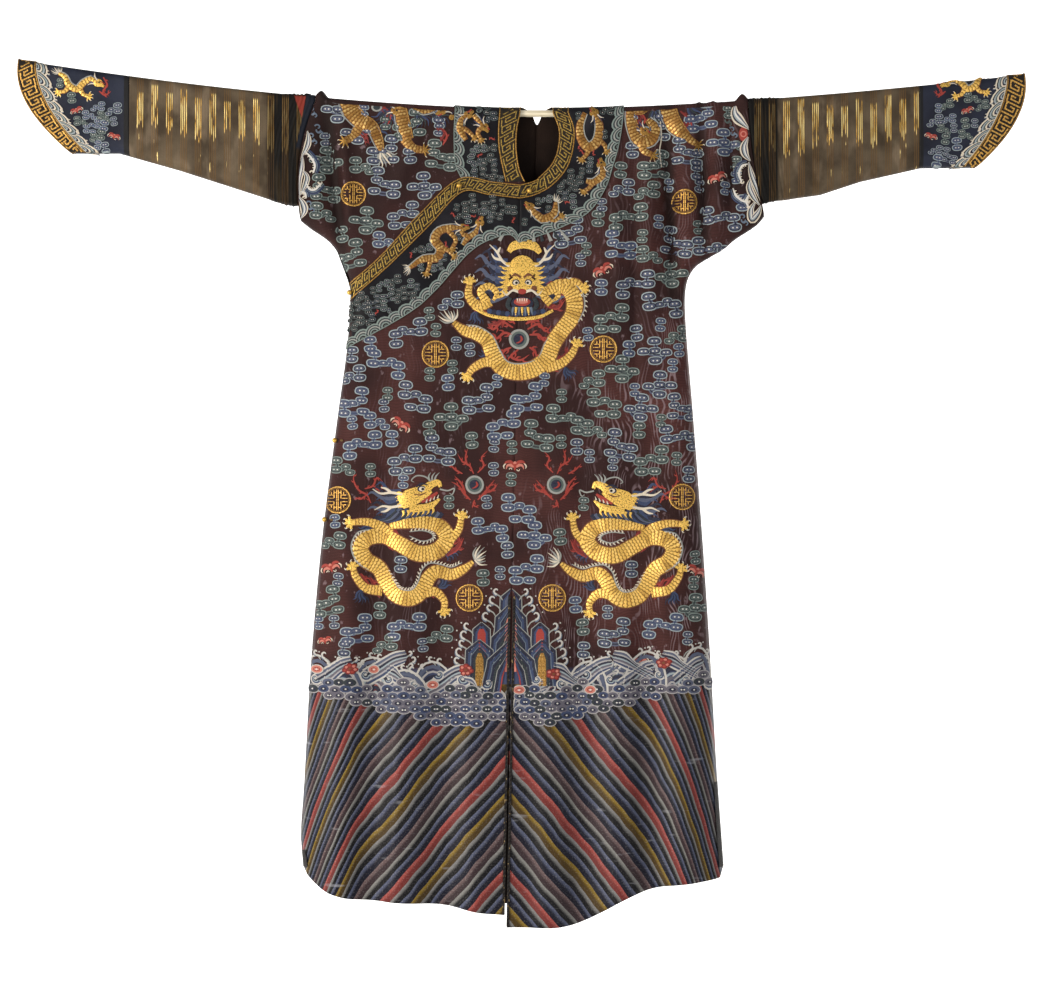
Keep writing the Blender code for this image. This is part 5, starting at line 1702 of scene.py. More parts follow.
for face, name in FACES.items():
    work = Needlework("dragons_" + name, face)
    for spot in SKIRT_DRAGONS[face]:
        side_dragon(work, spot)
    chest = FACING_DRAGONS[face]
    facing_dragon(work, chest)
    pearl(work, chest._replace(x=chest.x + 4, z=chest.z - 46))
    work.spot = chest
    for points in CHIN_FIRES:
        work.flame(points, width=1.6)
    work.make()

# ------------------------------------------------------------------ needlework: mountains and sea
# Three banded peaks rise over the slit from rolling waves with white crests, and the waves from
# a bank of foam bubbles that hides the tops of the shaded stripes. All is floss silk.
CHART = 1.766
CHARTS = {FRONT: Spot(-946.6, 200.8, CHART, 1, 0), BACK: Spot(-934.6, 200.8, CHART, 1, 0)}
CENTRE_AT = 511
Tier = namedtuple("Tier", "middle half top foot core")
TIERS = [
    Tier(CENTRE_AT, 11, 588, 634, "slate"), Tier(CENTRE_AT, 16, 604, 652, "pink"),
    Tier(CENTRE_AT - 29, 9, 621, 662, "red"), Tier(CENTRE_AT + 29, 9, 621, 662, "red"),
    Tier(CENTRE_AT, 20, 621, 670, "pink"), Tier(CENTRE_AT - 31, 14, 638, 684, "old_gold"),
    Tier(CENTRE_AT + 31, 14, 638, 684, "old_gold"), Tier(CENTRE_AT, 24, 640, 690, "red"),
]
TIER_BANDS = [("pale", 0.8), ("navy", 2.4), ("blue", 2.0), ("sky", 0.8), ("navy", 2.2),
              ("deep", 2.2), ("pale", 0.7), ("navy", 2.4), ("blue", 2.0)]
TIER_FLARE, CORE_HALF = 1.3, 3.2
# curls down the peaks' outer and inner edges: how far out, the run, the top and the drop
PEAK_CURLS = [(43, 2.4, 624, 8.5, 5, 4.6), (14, 3.4, 590, 8, 4, 4.2)]
Wave = namedtuple("Wave", "middle foot half height lean")
WAVES = [
    Wave(322, 688, 17, 34, -1), Wave(346, 690, 20, 30, -1), Wave(377, 692, 23, 36, -1),
    Wave(409, 698, 21, 30, -1), Wave(436, 700, 22, 40, -1), Wave(464, 704, 20, 30, -1),
    Wave(492, 706, 18, 22, -1), Wave(530, 706, 18, 22, 1), Wave(556, 704, 20, 32, 1),
    Wave(585, 698, 22, 38, 1), Wave(614, 694, 21, 32, 1), Wave(643, 690, 22, 40, 1),
    Wave(670, 686, 20, 32, 1), Wave(693, 684, 16, 38, 1),
]
PLUMES = [(340, 668, 1, 30), (392, 662, 1, 34), (400, 676, -1, 28), (452, 676, 1, 32),
          (476, 688, -1, 26), (535, 690, 1, 24), (566, 674, -1, 30), (596, 668, 1, 32),
          (628, 662, -1, 34), (640, 672, 1, 28), (676, 662, -1, 32), (690, 668, 1, 22)]
WAVE_BANDS = ["surf", "slate", "rim", "navy", "mist", "ash", "rim", "navy", "mist"]
PLUME_THREADS = ["surf", "slate", "rim", "navy", "mist", "ash", "rim", "blue", "surf"]
THIN_LINES = ("surf", "mist", "rim")
BAND_STEP = 2.7
FOAM_EDGE = [(308, 690), (340, 696), (372, 706), (405, 712), (440, 723), (475, 724), (500, 716),
             (522, 716), (545, 724), (572, 716), (606, 706), (645, 697), (690, 688), (712, 686)]
FOAM_TOP, FOAM_FOOT, FOAM_ROW, FOAM_STEP = 674, 728, 6.6, 10.4
FOAM_THREADS = ["ash", "slate", "ash", "blue", "deep"]
SWIRLS, SWIRL_FROM, SWIRL_STEP, SWIRL_AT = 17, 318, 24.3, 677
SIDE_AT = (312, 706)
FLOWERS = [(352, 667, "red"), (467, 668, "red"), (553, 672, "red"), (663, 661, "red"),
           (375, 668, "pink"), (320, 668, "pink"), (433, 683, "pink"), (590, 688, "pink"),
           (519, 688, "pink")]
PINK_FLOWER = [(6.6, 4.9, 4.4, "surf", 3.3, 0.4, 8), (5.6, 4.0, 3.5, "pink", 3.6, 0.3, 7),
               (3.6, 2.2, 1.9, "dark_red", 3.8, 0.2, 6), (2.9, 1.5, 1.3, "pink", 3.9, 0.2, 5),
               (1.3, 0.8, 0.8, "snow", 4.1, 0.2, 4)]


def make_tier(work, tier, layer):
    """One terrace of a peak: chevrons, one inside the other, round a narrow core."""
    inset = 0.0
    for thread, width in TIER_BANDS + [(tier.core, 1)]:
        core = CORE_HALF * (1.8 if tier.middle == CENTRE_AT else 1)
        if tier.half - inset < core + 0.6:
            thread, width = tier.core, tier.half - inset
        half = tier.half - inset - width / 2
        drop = inset * 1.3
        for side in (-1, 1):
            points = [(tier.middle + side * half * TIER_FLARE, tier.foot),
                      (tier.middle + side * half * 1.04, (tier.top + tier.foot) / 2 + drop / 2),
                      (tier.middle + side * half, tier.top + tier.half * 0.75 + drop * 0.8),
                      (tier.middle + side * 0.4, tier.top + drop)]
            work.stroke(points, width * 1.15, thread, layer + 0.02 * inset, 0.3, 1)
        if thread == tier.core:
            break
        inset += width


def crest_curls(work, line, side, size=4.2):
    """White curls stacked along a line, that break to one side."""
    for index, (u, v) in enumerate(line):
        grow = size * (0.85 + 0.3 * (index % 2))
        work.curl(u, v, grow, 90, -side * 250, 1.9, "surf", 0.9)
        work.curl(u, v + 0.4, grow * 1.3, 90, -side * 190, 1.5, "sky", 0.7)
        work.stroke([(u, v + grow), (u - side * grow, v + grow * 1.6),
                     (u - side * grow * 1.6, v + grow * 2.6)], [1.4, 1.3, 0.8], "pale", 0.6,
                    0.4, 3)
        work.blob(u + side * grow * 1.5, v - grow * 0.6, 0.8, 0.8, 0.8, "surf", 0.6, 0.3, 4)


def make_wave(work, wave, layer):
    bands = int(wave.half / BAND_STEP) + 2
    for index in range(bands):
        half = wave.half - index * BAND_STEP
        if half < 1.2:
            break
        height = wave.height * half / wave.half
        turn = np.linspace(math.pi, 0, 11)
        lean = wave.lean * 3.0 * np.sin(turn) * half / wave.half
        points = np.stack([wave.middle + half * np.cos(turn) + lean,
                           wave.foot - height * np.sin(turn) ** 0.9], -1)
        thread = WAVE_BANDS[index % len(WAVE_BANDS)]
        width = BAND_STEP * (0.75 if thread in THIN_LINES else 1.3)
        work.stroke(points, width, thread, layer + 0.04 * (bands - index), 0.4, 1)
    top = wave.foot - wave.height
    crest_curls(work, [(wave.middle + wave.lean * 4, top - 3),
                       (wave.middle - wave.lean * 5, top - 1),
                       (wave.middle + wave.lean * 12, top + 4)], wave.lean, 3.4)


def bubble(work, u, v, size, thread, dots=1):
    work.blob(u, v, 6.4 * size, 4.7 * size, 4.1 * size, "rim", 2.3, 0.4, 8)
    work.blob(u, v, 5.4 * size, 3.8 * size, 3.2 * size, thread, 2.7, 0.3, 7)
    work.blob(u, v + 0.2, 3.2 * size, 2.0 * size, 1.7 * size, "navy", 2.9, 0.2, 5)
    for dot in ((0,) if dots == 1 else (-1.3, 1.3)):
        work.blob(u + dot, v - 0.1, 0.9 * size, 0.8, 0.8, "snow", 3.2, 0.2, 4)


def plume(work, u, v, lean, length, layer):
    """A breaking wave: strands side by side that sweep up and curl over."""
    for strand, thread in enumerate(PLUME_THREADS):
        off = (strand - 4) * 2.15
        points = [(u - lean * length * 0.75 + off * 0.3, v + 14 + off * 0.9),
                  (u - lean * length * 0.3 + off * 0.5, v + 6 + off * 0.8),
                  (u + lean * length * 0.1, v - 3 + off * 0.9),
                  (u + lean * length * 0.5 - lean * abs(off) * 0.3, v - 7 + off * 0.7)]
        widths = [1.3, 2.0, 2.0, 0.9] if thread in THIN_LINES else [1.4, 2.8, 2.7, 1.2]
        work.stroke(points, widths, thread, layer, 0.4, 4)
    tip_u, tip_v = u + lean * length * 0.5, v - 6
    crest_curls(work, [(tip_u + lean * 2, tip_v - 5), (tip_u + lean * 5, tip_v + 1),
                       (tip_u + lean * 3, tip_v + 7)], lean, 3.0)


def swirl(work, u, v, lean, size=1.0):
    """A small roller: curls one inside the other, with a pale lip."""
    for reach, width, thread in ((7.2, 2.2, "surf"), (5.4, 2.4, "blue"), (4.0, 1.6, "mist"),
                                 (2.6, 1.8, "navy")):
        work.curl(u, v, reach * size, 90 + lean * 60, -lean * 300, width, thread,
                  2.1 - reach * 0.05, 10)
    work.blob(u, v, 1.5, 1.4, 1.4, "surf", 2.2, 0.3, 5)


def flower(work, u, v, thread):
    if thread == "pink":
        for oval in PINK_FLOWER:
            work.blob(u, v, *oval)
        return
    for petal in range(7):
        turn = 2 * math.pi * petal / 7 + u
        reach = 4.4 + 0.7 * math.sin(petal * 2.3 + v)
        du, dv = reach * math.cos(turn), 0.82 * reach * math.sin(turn)
        work.blob(u + du, v + dv, 2.7, 2.4, 2.4, "dark_red", 3.3, 0.4, 6)
        work.blob(u + du * 0.94, v + dv * 0.94, 1.5, 1.3, 1.3, "red" if petal % 2 else "pink",
                  3.6, 0.3, 5)
    work.blob(u, v, 3.0, 2.6, 2.6, "dark_red", 3.7, 0.4, 6)
    work.blob(u, v, 1.4, 1.2, 1.2, "brown", 4.0, 0.4, 5)


for face, name in FACES.items():
    rng = random.Random(7)
    work = Needlework("sea_" + name, face)
    work.spot = CHARTS[face]
    for index, tier in enumerate(TIERS):
        make_tier(work, tier, 0.1 + 0.22 * index)
    for side in (-1, 1):
        for out, run, top, drop, count, size in PEAK_CURLS:
            line = [(CENTRE_AT + side * (out + run * step), top + step * drop)
                    for step in range(count)]
            crest_curls(work, line, side, size)
    for index, wave in enumerate(WAVES):
        make_wave(work, wave, 0.5 + 0.5 * (index % 2))
    for u, v, lean, length in PLUMES:
        plume(work, u, v, lean, length, 1.5)
    for index in range(SWIRLS):
        u = SWIRL_FROM + index * SWIRL_STEP
        if abs(u - CENTRE_AT) > 14:
            swirl(work, u, SWIRL_AT + 5 * math.sin(index * 2.1), 1 if index % 2 else -1,
                  0.9 + 0.2 * math.sin(index * 1.3))
    v = FOAM_TOP
    row = 0
    while v < FOAM_FOOT:
        u = SIDE_AT[0] - 6 + (FOAM_STEP / 2 if row % 2 else 0)
        while u < SIDE_AT[1] + 8:
            edge = float(np.interp(u, *zip(*FOAM_EDGE)))
            top = FOAM_TOP + 10 * (0.5 + 0.5 * math.sin(u / 9.5)) + 0.25 * (edge - 690)
            if top <= v <= edge and abs(u - CENTRE_AT - (v - 680) * 0.02) > 5:
                bubble(work, u + rng.uniform(-1, 1), v + rng.uniform(-0.8, 0.8),
                       rng.uniform(0.92, 1.12), rng.choice(FOAM_THREADS), rng.choice((1, 1, 2)))
            u += FOAM_STEP
        v += FOAM_ROW
        row += 1
    for u, v, thread in FLOWERS:
        flower(work, u, v, thread)
    work.make()

# ------------------------------------------------------------------ needlework: small emblems
# Round gold lattices, red bats with pale wing tips, and pearls in branching fire are set between
# the dragons, all of floss and couched thread.
ROUNDELS = {FRONT: [(354, 195, 12), (684, 203, 12), (436, 355, 13), (603, 350, 13),
                    (339, 500, 13), (681, 497, 12.5), (470, 597, 13), (552, 597, 13)],
            BACK: [(354, 195, 12), (684, 203, 12), (441, 355, 13), (611, 350, 13),
                   (342, 500, 13), (684, 497, 12.5), (470, 597, 13), (566, 597, 13)]}
BATS = [(603, 272, 0.5, 1), (401, 426, -0.6, 1), (333, 568, 0.3, 1), (515, 467, 0.0, 1.05),
        (695, 572, -0.4, 1), (717, 180, 0.4, 0.9), (640, 660, 0.2, 0.7), (327, 640, 0.2, 0.7)]
PEARLS, PEARL_GROW = [(475, 485, 1), (556, 485, -1)], 1.66
FIRES = [
    [(471, 500), (465, 494), (459, 486), (452, 482)], [(466, 493), (462, 484), (455, 476)],
    [(478, 500), (484, 494), (490, 486), (495, 480)], [(486, 493), (493, 490), (498, 484)],
    [(474, 474), (470, 466), (463, 462), (458, 454)], [(468, 466), (466, 458), (468, 449)],
    [(478, 473), (484, 466), (482, 458), (488, 451)], [(463, 474), (456, 470), (450, 464)],
    [(475, 500), (474, 505), (479, 508)],
]
STRAY_FIRES = [
    [(372, 503), (368, 495), (360, 490), (355, 480), (357, 470)],
    [(368, 495), (362, 499), (356, 497)], [(366, 489), (374, 486), (378, 478), (384, 482)],
    [(374, 486), (380, 490), (385, 487)],
]


def roundel(work, u, v, radius):
    """A round lattice of straight bars, mirrored both ways."""
    work.spot = work.spot._replace(turn=0)
    work.ring(u, v, radius, 1.3, "mid_gold", 0.3, 0.7, 22)
    work.ring(u, v, radius * 0.88, 0.5, "old_gold", 0.2, 0.4, 18)
    bar = radius / 6.2
    for across in (-bar, bar):
        for down in (-bar, bar):
            for points in ([(0.4, 0), (0.4, 4.9)], [(1.7, 0.8), (1.7, 4.6)],
                           [(1.7, 2.3), (4.2, 2.3)], [(3.0, 2.3), (3.0, 3.8)],
                           [(1.7, 0.8), (4.8, 0.8)], [(0.4, 3.5), (1.7, 3.5)]):
                work.stroke([(u + across * a, v + down * b) for a, b in points], 1.0, "mid_gold",
                            0.3, 0.6, 1)


def bat(work, u, v, turn, size):
    home = work.spot
    x, z = work.put((u, v))
    work.spot = Spot(x, z, CHART * size, 1, turn)
    for side in (-1, 1):
        work.stroke([(side * 1, -1), (side * 4, -4.6), (side * 8, -4.2), (side * 10.6, -0.4)],
                    [2.6, 3.0, 2.4, 0.6], "red", 0.3, 0.5, 4)
        work.stroke([(side * 1, 0), (side * 4, -1.4), (side * 7, -1), (side * 8.4, 2.4)],
                    [2.6, 2.8, 2.2, 0.5], "pink", 0.35, 0.5, 3)
        work.stroke([(side * 8.8, -3), (side * 10.6, -0.6), (side * 10, 2)], [0.9, 1.4, 0.4],
                    "white", 0.5, 0.4, 3)
        work.curl(side * 3.6, 2.6, 1.9, 180, -side * 220, 0.8, "white", 0.5, 6)
    work.stroke([(0, -3.6), (0, 0), (0, 3.6)], [1.4, 3.2, 0.8], "red", 0.6, 0.7, 3)
    work.blob(0, -3.6, 1.6, 1.5, 1.4, "pink", 0.8, 0.5, 5)
    work.spot = home


for face, name in FACES.items():
    work = Needlework("emblems_" + name, face)
    work.spot = CHARTS[face]
    for u, v, radius in ROUNDELS[face]:
        roundel(work, u, v, radius)
    for place in BATS:
        bat(work, *place)
    home = CHARTS[face]
    for u, v, flip in PEARLS:
        x, z = work.put((u, v))
        middle = work.put((PEARLS[0][0], v))[0]
        pearl(work, Spot(x, z, CHART * PEARL_GROW, 1, 0))
        for fire in FIRES + STRAY_FIRES:
            width = 2.4 if fire in FIRES[:4] else 2.0
            work.spot = home._replace(x=home.x if flip > 0 else 2 * x + (middle - x) - home.x,
                                      flip=flip)
            work.flame(fire, width=width)
        work.spot = home
    work.make()

# ------------------------------------------------------------------ needlework: clouds
# Small clouds of blunt heads on zigzag stems are strewn over all the ground, in three families
# of blue and grey-green floss, each head ringed with pale silk and marked with white dots.
Cluster = namedtuple("Cluster", "heads reach")
CLUSTERS = [
    Cluster([(-13, -7, 1, 1), (-13, 1.5, -1, 1), (-3, 2, 1, 0.75), (5, -1, 1, 0.75),
             (12, 3, 1, 1), (12.5, 11.5, -1, 1)], 18),
    Cluster([(-11, -11, 1, 1), (-11, -2.5, -1, 1), (0, -3, 1, 0.8), (10, 1, 1, 1),
             (9, 9.5, -1, 1), (-4, 9, -1, 0.9)], 18),
    Cluster([(6, -11, 1, 1), (6.5, -3, -1, 0.85), (-2, 2, 1, 0.8), (-11, 3, 1, 1),
             (-10, 11, -1, 1), (9, 8, -1, 0.9)], 17),
    Cluster([(-7, -4.6, 1, 1), (-7, 4, -1, 1), (4, 2, 1, 0.8), (9, 7, -1, 0.8)], 13),
    Cluster([(0, -11, 1, 1), (0, -2.6, -1, 0.9), (-11, -1, 1, 0.9), (11, 1, 1, 0.9),
             (0, 7, -1, 1)], 16),
    Cluster([(0, -4.3, 1, 1), (0, 4.3, -1, 1)], 9),
]
# which clusters are strewn in turn, and at what size
STAGES = [((0, 1, 4, 2), 1.0), ((0, 1, 2, 3), 0.92), ((3, 5), 0.9), ((5,), 0.74)]
CLOUD_DEEP, CLOUD_FLAT, CLOUD_GAP, CLOUD_TRIES = 0.72, 1.25, 1.5, 2600
GROUND_BOX, GROUND_FOOT = (-405, 395, -985, 60), -985
ELBOW_KEEP = 22
# the middle of the front above and below a height, and the corner of the right yoke
MIDDLE_HIGH, MIDDLE_LOW, MIDDLE_BREAK = -28, -45, -400
RIGHT_YOKE_X, RIGHT_YOKE_FOOT, YOKE_FOOT = -145, -118, -232
BACK_YOKE_HALF, BACK_YOKE_FOOT, BACK_YOKE_LEAN = 150, -142, 0.15
# rim, fill and heart of a head, then the half width, near and far reach and layer of each
FAMILIES = [("mist", "navy", "slate"), ("moss", "deep", "green"), ("mist", "blue", "slate")]
CLOUD_HEAD = [(7.2, 5.2, 3.4, 0.2), (6.1, 4.1, 2.4, 0.5), (4.9, 2.9, 1.4, 0.7)]


def cloud(work, x, z, size, cluster, turn, flip, family):
    """Broad blunt heads in pairs, face to face, on a zigzag stem."""
    _, fill, heart = family
    work.spot = Spot(x, z, CHART * size, flip, turn)
    heads = cluster.heads
    for (u0, v0, *_), (u1, v1, *_) in zip(heads[:-1], heads[1:]):
        bend = ((u0 + u1) / 2 + 1.6, (v0 + v1) / 2 + 1.8)
        work.stroke([(u0, v0), bend, (u1, v1)], [3.4, 4.4, 3.4], heart, 0.0, 0.2, 3)
        work.stroke([(u0, v0), bend, (u1, v1)], [1.2, 1.6, 1.2], fill, 0.15, 0.2, 3)
    for u, v, way, grow in heads:
        for (half, near, far, layer), thread in zip(CLOUD_HEAD, family):
            up, down = (near, far) if way > 0 else (far, near)
            work.blob(u, v, half * grow, up * grow, down * grow, thread, layer, 0.3, 8, 2.7)
        for dot in ((-2.0, 2.0) if grow > 0.8 else (0,)):
            work.blob(u + dot * grow, v - way * 0.9, 0.9, 0.8, 0.8, "snow", 1.0, 0.2, 4)


def strew(work, inside, seed):
    """Clouds scattered wherever there is room for one, larger ones first."""
    rng = random.Random(seed)
    taken = np.concatenate(BUSY[work.face])
    x_low, x_high, z_low, z_high = GROUND_BOX
    for kinds, grow in STAGES:
        for _ in range(CLOUD_TRIES):
            x, z = rng.uniform(x_low, x_high), rng.uniform(z_low, z_high)
            cluster = CLUSTERS[rng.choice(kinds)]
            turn, flip = rng.uniform(-0.12, 0.12), rng.choice((-1, 1))
            family = FAMILIES[rng.choice((0, 0, 1, 1, 2))]
            reach = cluster.reach * CHART * grow
            if not inside(x, z, reach * CLOUD_DEEP):
                continue
            away = np.hypot(taken[:, 0] - x, (taken[:, 1] - z) * CLOUD_FLAT) - taken[:, 2]
            if away.min() < reach + CLOUD_GAP:
                continue
            cloud(work, x, z, grow, cluster, turn, flip, family)
            taken = np.vstack([taken, [x, z, reach]])


YOKE_EDGE = [(155, 20), (150, -35), (140, -80), (124, -130), (94, -175), (40, -205), (-30, -230)]


def on_ground(face):
    """Whether a place lies on the brown ground, well inside its edges."""
    def inside(x, z, margin):
        side = "left" if x > (MIDDLE_HIGH if z > MIDDLE_BREAK else MIDDLE_LOW) else "right"
        edge = ELBOW_KEEP if z > SIDE_SEAM[side][0][1] - 20 else 0
        if SIDES[side] * (float(side_limit(side, z)) - x) < margin + edge or z < GROUND_FOOT:
            return False
        if z > float(rod_height(x)) + 2 - margin * 0.6:
            return False
        if face == FRONT:
            if x < MIDDLE_HIGH and z > float(z_on(FACING_EDGE, x)) - margin * 1.2 and (
                    z < float(z_on(OVERLAP_EDGE, x)) + margin * 1.2):
                return False
            yoke = x_on(YOKE_EDGE, z)
            if -40 < x < yoke + margin and z > YOKE_FOOT - margin * 1.2:
                return False
            return not (RIGHT_YOKE_X - margin < x <= MIDDLE_HIGH and z > RIGHT_YOKE_FOOT)
        half = BACK_YOKE_HALF + margin - BACK_YOKE_LEAN * abs(z)
        return not (abs(x - BACK_MIDDLE) < half and z > BACK_YOKE_FOOT - margin)
    return inside


for face, name in FACES.items():
    work = Needlework("clouds_" + name, face)
    strew(work, on_ground(face), 11 + face)
    work.make(strewn=True)

# ------------------------------------------------------------------ gold keys and cords
# On every figured band a hooked key pattern of couched gold fills the black ground, and a thick
# gold cord is sewn along both of its edges.
KEY_UNIT, KEY_WIDTH, KEY_SLANT = 15.5, 1.8, 0.5
KEY_PATHS = [
    [(0, 0.88), (0, -0.62), (10.2, -0.62), (10.2, 0.3), (4.9, 0.3), (4.9, -0.16)],
    [(4.6, 0.7), (14.5, 0.7)],
]
CORD_WIDTH, CORD_STEP, CORD_AT = 2.0, 6.0, 0.985


def key_band(work, track, thread="key_gold", bold=1.0, wide=1.0):
    work.spot = track
    count = max(int(track.length / (KEY_UNIT * wide)), 1)
    unit = track.length / count
    half = float(np.linalg.norm(track.across, axis=1).mean())
    for index in range(count):
        flip = 1 if index % 2 else -1
        for path in KEY_PATHS:
            spots = [(index * unit + s * unit / KEY_UNIT + KEY_SLANT * half * flip * t, flip * t)
                     for s, t in path]
            spots = [(min(max(s, 0.0), track.length), t) for s, t in spots]
            for (s0, t0), (s1, t1) in zip(spots[:-1], spots[1:]):
                grow = 0.5 * KEY_WIDTH * np.sign(s1 - s0)
                work.stroke([(s0 - grow, t0), (s1 + grow, t1)], KEY_WIDTH * bold, thread, 0.1,
                            0.5, 1)
    for t in (-CORD_AT, CORD_AT):
        count = max(int(track.length / CORD_STEP), 2)
        line = [(s, t) for s in np.linspace(0, track.length, count)]
        work.stroke(line, CORD_WIDTH * wide, "dull_gold", 0.15, 1.0, 1)


def cuff_track(side, face, first, last):
    """The strip between two rings of a cuff, from the ridge down one face."""
    lines = []
    for ring in (first, last):
        x, down = down_ring(side, ring, 3, np.linspace(0, 1, 30))
        lines.append(np.stack([x, rod_height(x) - down], -1))
    return Track(*lines)


for bed, (hang, face) in TRIM_BEDS.items():
    inner, near, _ = TRIM_LINES[bed]
    work = Needlework("keys_" + bed, face, hang.place, BAND_TOP + 0.25)
    key_band(work, Track(inner, near))
    work.make(strewn=True)
for way in SIDES:
    for face, name in FACES.items():
        work = Needlework("keys_cuff_" + way + "_" + name, face, SLEEVE_HANGS[way].place,
                          BAND_TOP + 0.25)
        key_band(work, cuff_track(way, face, BORDER[way], CUFF_END[way]), "mid_gold", 1.5, 1.15)
        work.make(strewn=True)

# ------------------------------------------------------------------ needlework: yoke and sleeves
# The yoke, the cuffs and the ends of the upper sleeves are edged with rolling waves in pale
# floss. Small gold dragons, fine clouds and fires fill the yoke and cuffs, all couched or
# stitched through the dark silk before it is sewn on.
WAVE_EDGE, YOKE_STEP, SURF_LEAN = 19.0, 21, 0.3
YOKE_FAMILIES = [("green", "deep", "black"), ("moss", "deep", "navy"), ("green", "navy", "deep")]
YOKE_SURF = ["moss", "deep", "pale", "deep", "moss", "black", "green"]
CUFF_SURF = ["white", "deep", "mist", "green", "white", "navy", "mist", "deep"]


def surf_border(work, track, step, threads, curls=0):
    """Rolling waves along an edge: nested arcs that swell inward and overlap the next."""
    count = max(int(track.length / step), 2)
    pitch = track.length / count
    turn = np.linspace(math.pi, 0, 9)
    for index in range(count):
        s0 = (index + 0.5) * pitch
        work.spot = track
        for band, thread in enumerate(threads):
            share = 1 - band / len(threads)
            half = pitch * 0.72 * share
            swell = np.sin(turn) * (1.62 + 0.2 * (index % 2)) * share
            s = s0 + np.cos(turn) * half + SURF_LEAN * half * np.sin(turn)
            s = np.clip(s, 0, track.length)
            work.stroke(np.stack([s, 0.97 - swell], -1), [1.4, 3.0, 3.4, 3.0, 1.4], thread,
                        0.15 + 0.1 * (index % 3) + 0.04 * band, 0.4, 1)
        if curls:
            x, z = track.put(np.array([s0 + pitch * 0.3, -0.9]))
            work.spot = Spot(float(x), float(z), 1, curls, 0)
            work.curl(0, 0, 4.6, 60, 250, 1.8, "white", 0.9)
            work.curl(0, 0, 6.4, 60, 170, 1.3, "sky", 0.7)
    work.spot = track
    work.stroke([(s, 0.94) for s in np.linspace(0, track.length, count * 3)], 1.5, threads[0],
                0.8, 0.4, 1)


def little_dragon(work, points, widths, legs=(), tail=None):
    """A dragon too small for much detail: body, fin, head, and legs with claws."""
    for leg, aim in legs:
        work.leg(leg, [4.6, 3.8, 2.8], aim, None, 6.0)
    if tail is not None:
        work.tail(*points[-1], tail)
    work.hide(points, widths)
    line = curved(points, 3)
    half = spread(widths, len(line)) / 2
    edge = line + beside(line) * (half + 0.6)[:, None]
    work.stroke(edge, 1.1, "pale", 0.5, 0.4, 1)
    u, v = points[0]
    back = np.array(points[1], float) - points[0]
    back /= np.linalg.norm(back)
    side = np.array([-back[1], back[0]])
    for lock in range(5):
        root = np.array([u, v]) + back * 3 + side * (lock - 2) * 1.6
        work.stroke([root, root + back * 4 + side * (lock - 2), root + back * 8
                     + side * (lock - 2) * 2.2], [1.6, 1.4, 0.3], "blue" if lock % 2 else "navy",
                    0.9, 0.4, 3)
    for horn in (-1, 1):
        work.stroke([(u, v) + back * 2 + side * horn * 2, (u, v) + back * 6 + side * horn * 4,
                     (u, v) + back * 8 + side * horn * 7], [1.2, 1.0, 0.3], "white", 1.3, 0.5, 3)
    work.blob(u, v, 4.6, 4.0, 3.8, work.gold, 1.2, 1.0, 8)
    work.stroke([(u, v), (u, v) - back * 4, (u, v) - back * 7], [4.6, 3.8, 2.0], work.gold, 1.3,
                0.9, 3)
    work.stroke([(u, v) - back * 1 + side * 2.4, (u, v) - back * 6 + side * 2.4], [1.4, 0.8],
                "red", 1.5, 0.5, 2)
    work.blob(u - back[0], v - back[1] - 1, 1.1, 1.0, 1.0, "black", 2.3, 0.3, 5)


Fill = namedtuple("Fill", "seed tries start end half grows kinds reach apart room fires threads")
YOKE_FILL = Fill(23, 700, 6, 6, 0.8, (0.5, 0.42), (3, 5, 2), 0.8, 0.9, 0.7, 0.2,
                 [YOKE_FAMILIES[index] for index in (0, 0, 1, 2)])
CUFF_FILL = Fill(31, 900, 14, 8, 0.95, (0.72, 0.6, 0.5), (3, 5, 2, 1), 0.85, 0.95, 0, 0,
                 [FAMILIES[index] for index in (0, 1, 1, 2)])


def fill_strip(work, strip, fill):
    """Small clouds, and fires if there are any, wherever the strip has room for one."""
    rng = random.Random(fill.seed)
    taken = np.concatenate([np.column_stack([flat[:, 1], np.full(len(flat), 3.0)])
                            for flat in work.flat])
    for _ in range(fill.tries):
        s = rng.uniform(fill.start, strip.length - fill.end)
        t = rng.uniform(-fill.half, fill.half)
        x, z = strip.put(np.array([s, t]))
        room = (1 - abs(t)) * np.hypot(*(np.interp(s, strip.along, strip.across[:, axis])
                                         for axis in (0, 1)))
        grow = rng.choice(fill.grows)
        cluster = CLUSTERS[rng.choice(fill.kinds)]
        reach = cluster.reach * CHART * grow * fill.reach
        away = np.hypot(taken[:, 0] - x, taken[:, 1] - z) - taken[:, 2]
        if room < reach * fill.room or away.min() < reach * fill.apart:
            continue
        if fill.fires and rng.random() < fill.fires:
            work.spot = Spot(x, z, 1, 1, rng.uniform(0, 6))
            work.flame([(-5, 0), (-1, -3), (2, 1), (6, -2)], "red", 1.9)
        else:
            cloud(work, x, z, grow, cluster, rng.uniform(-0.2, 0.2), rng.choice((-1, 1)),
                  rng.choice(fill.threads))
        taken = np.vstack([taken, [x, z, reach * fill.reach]])


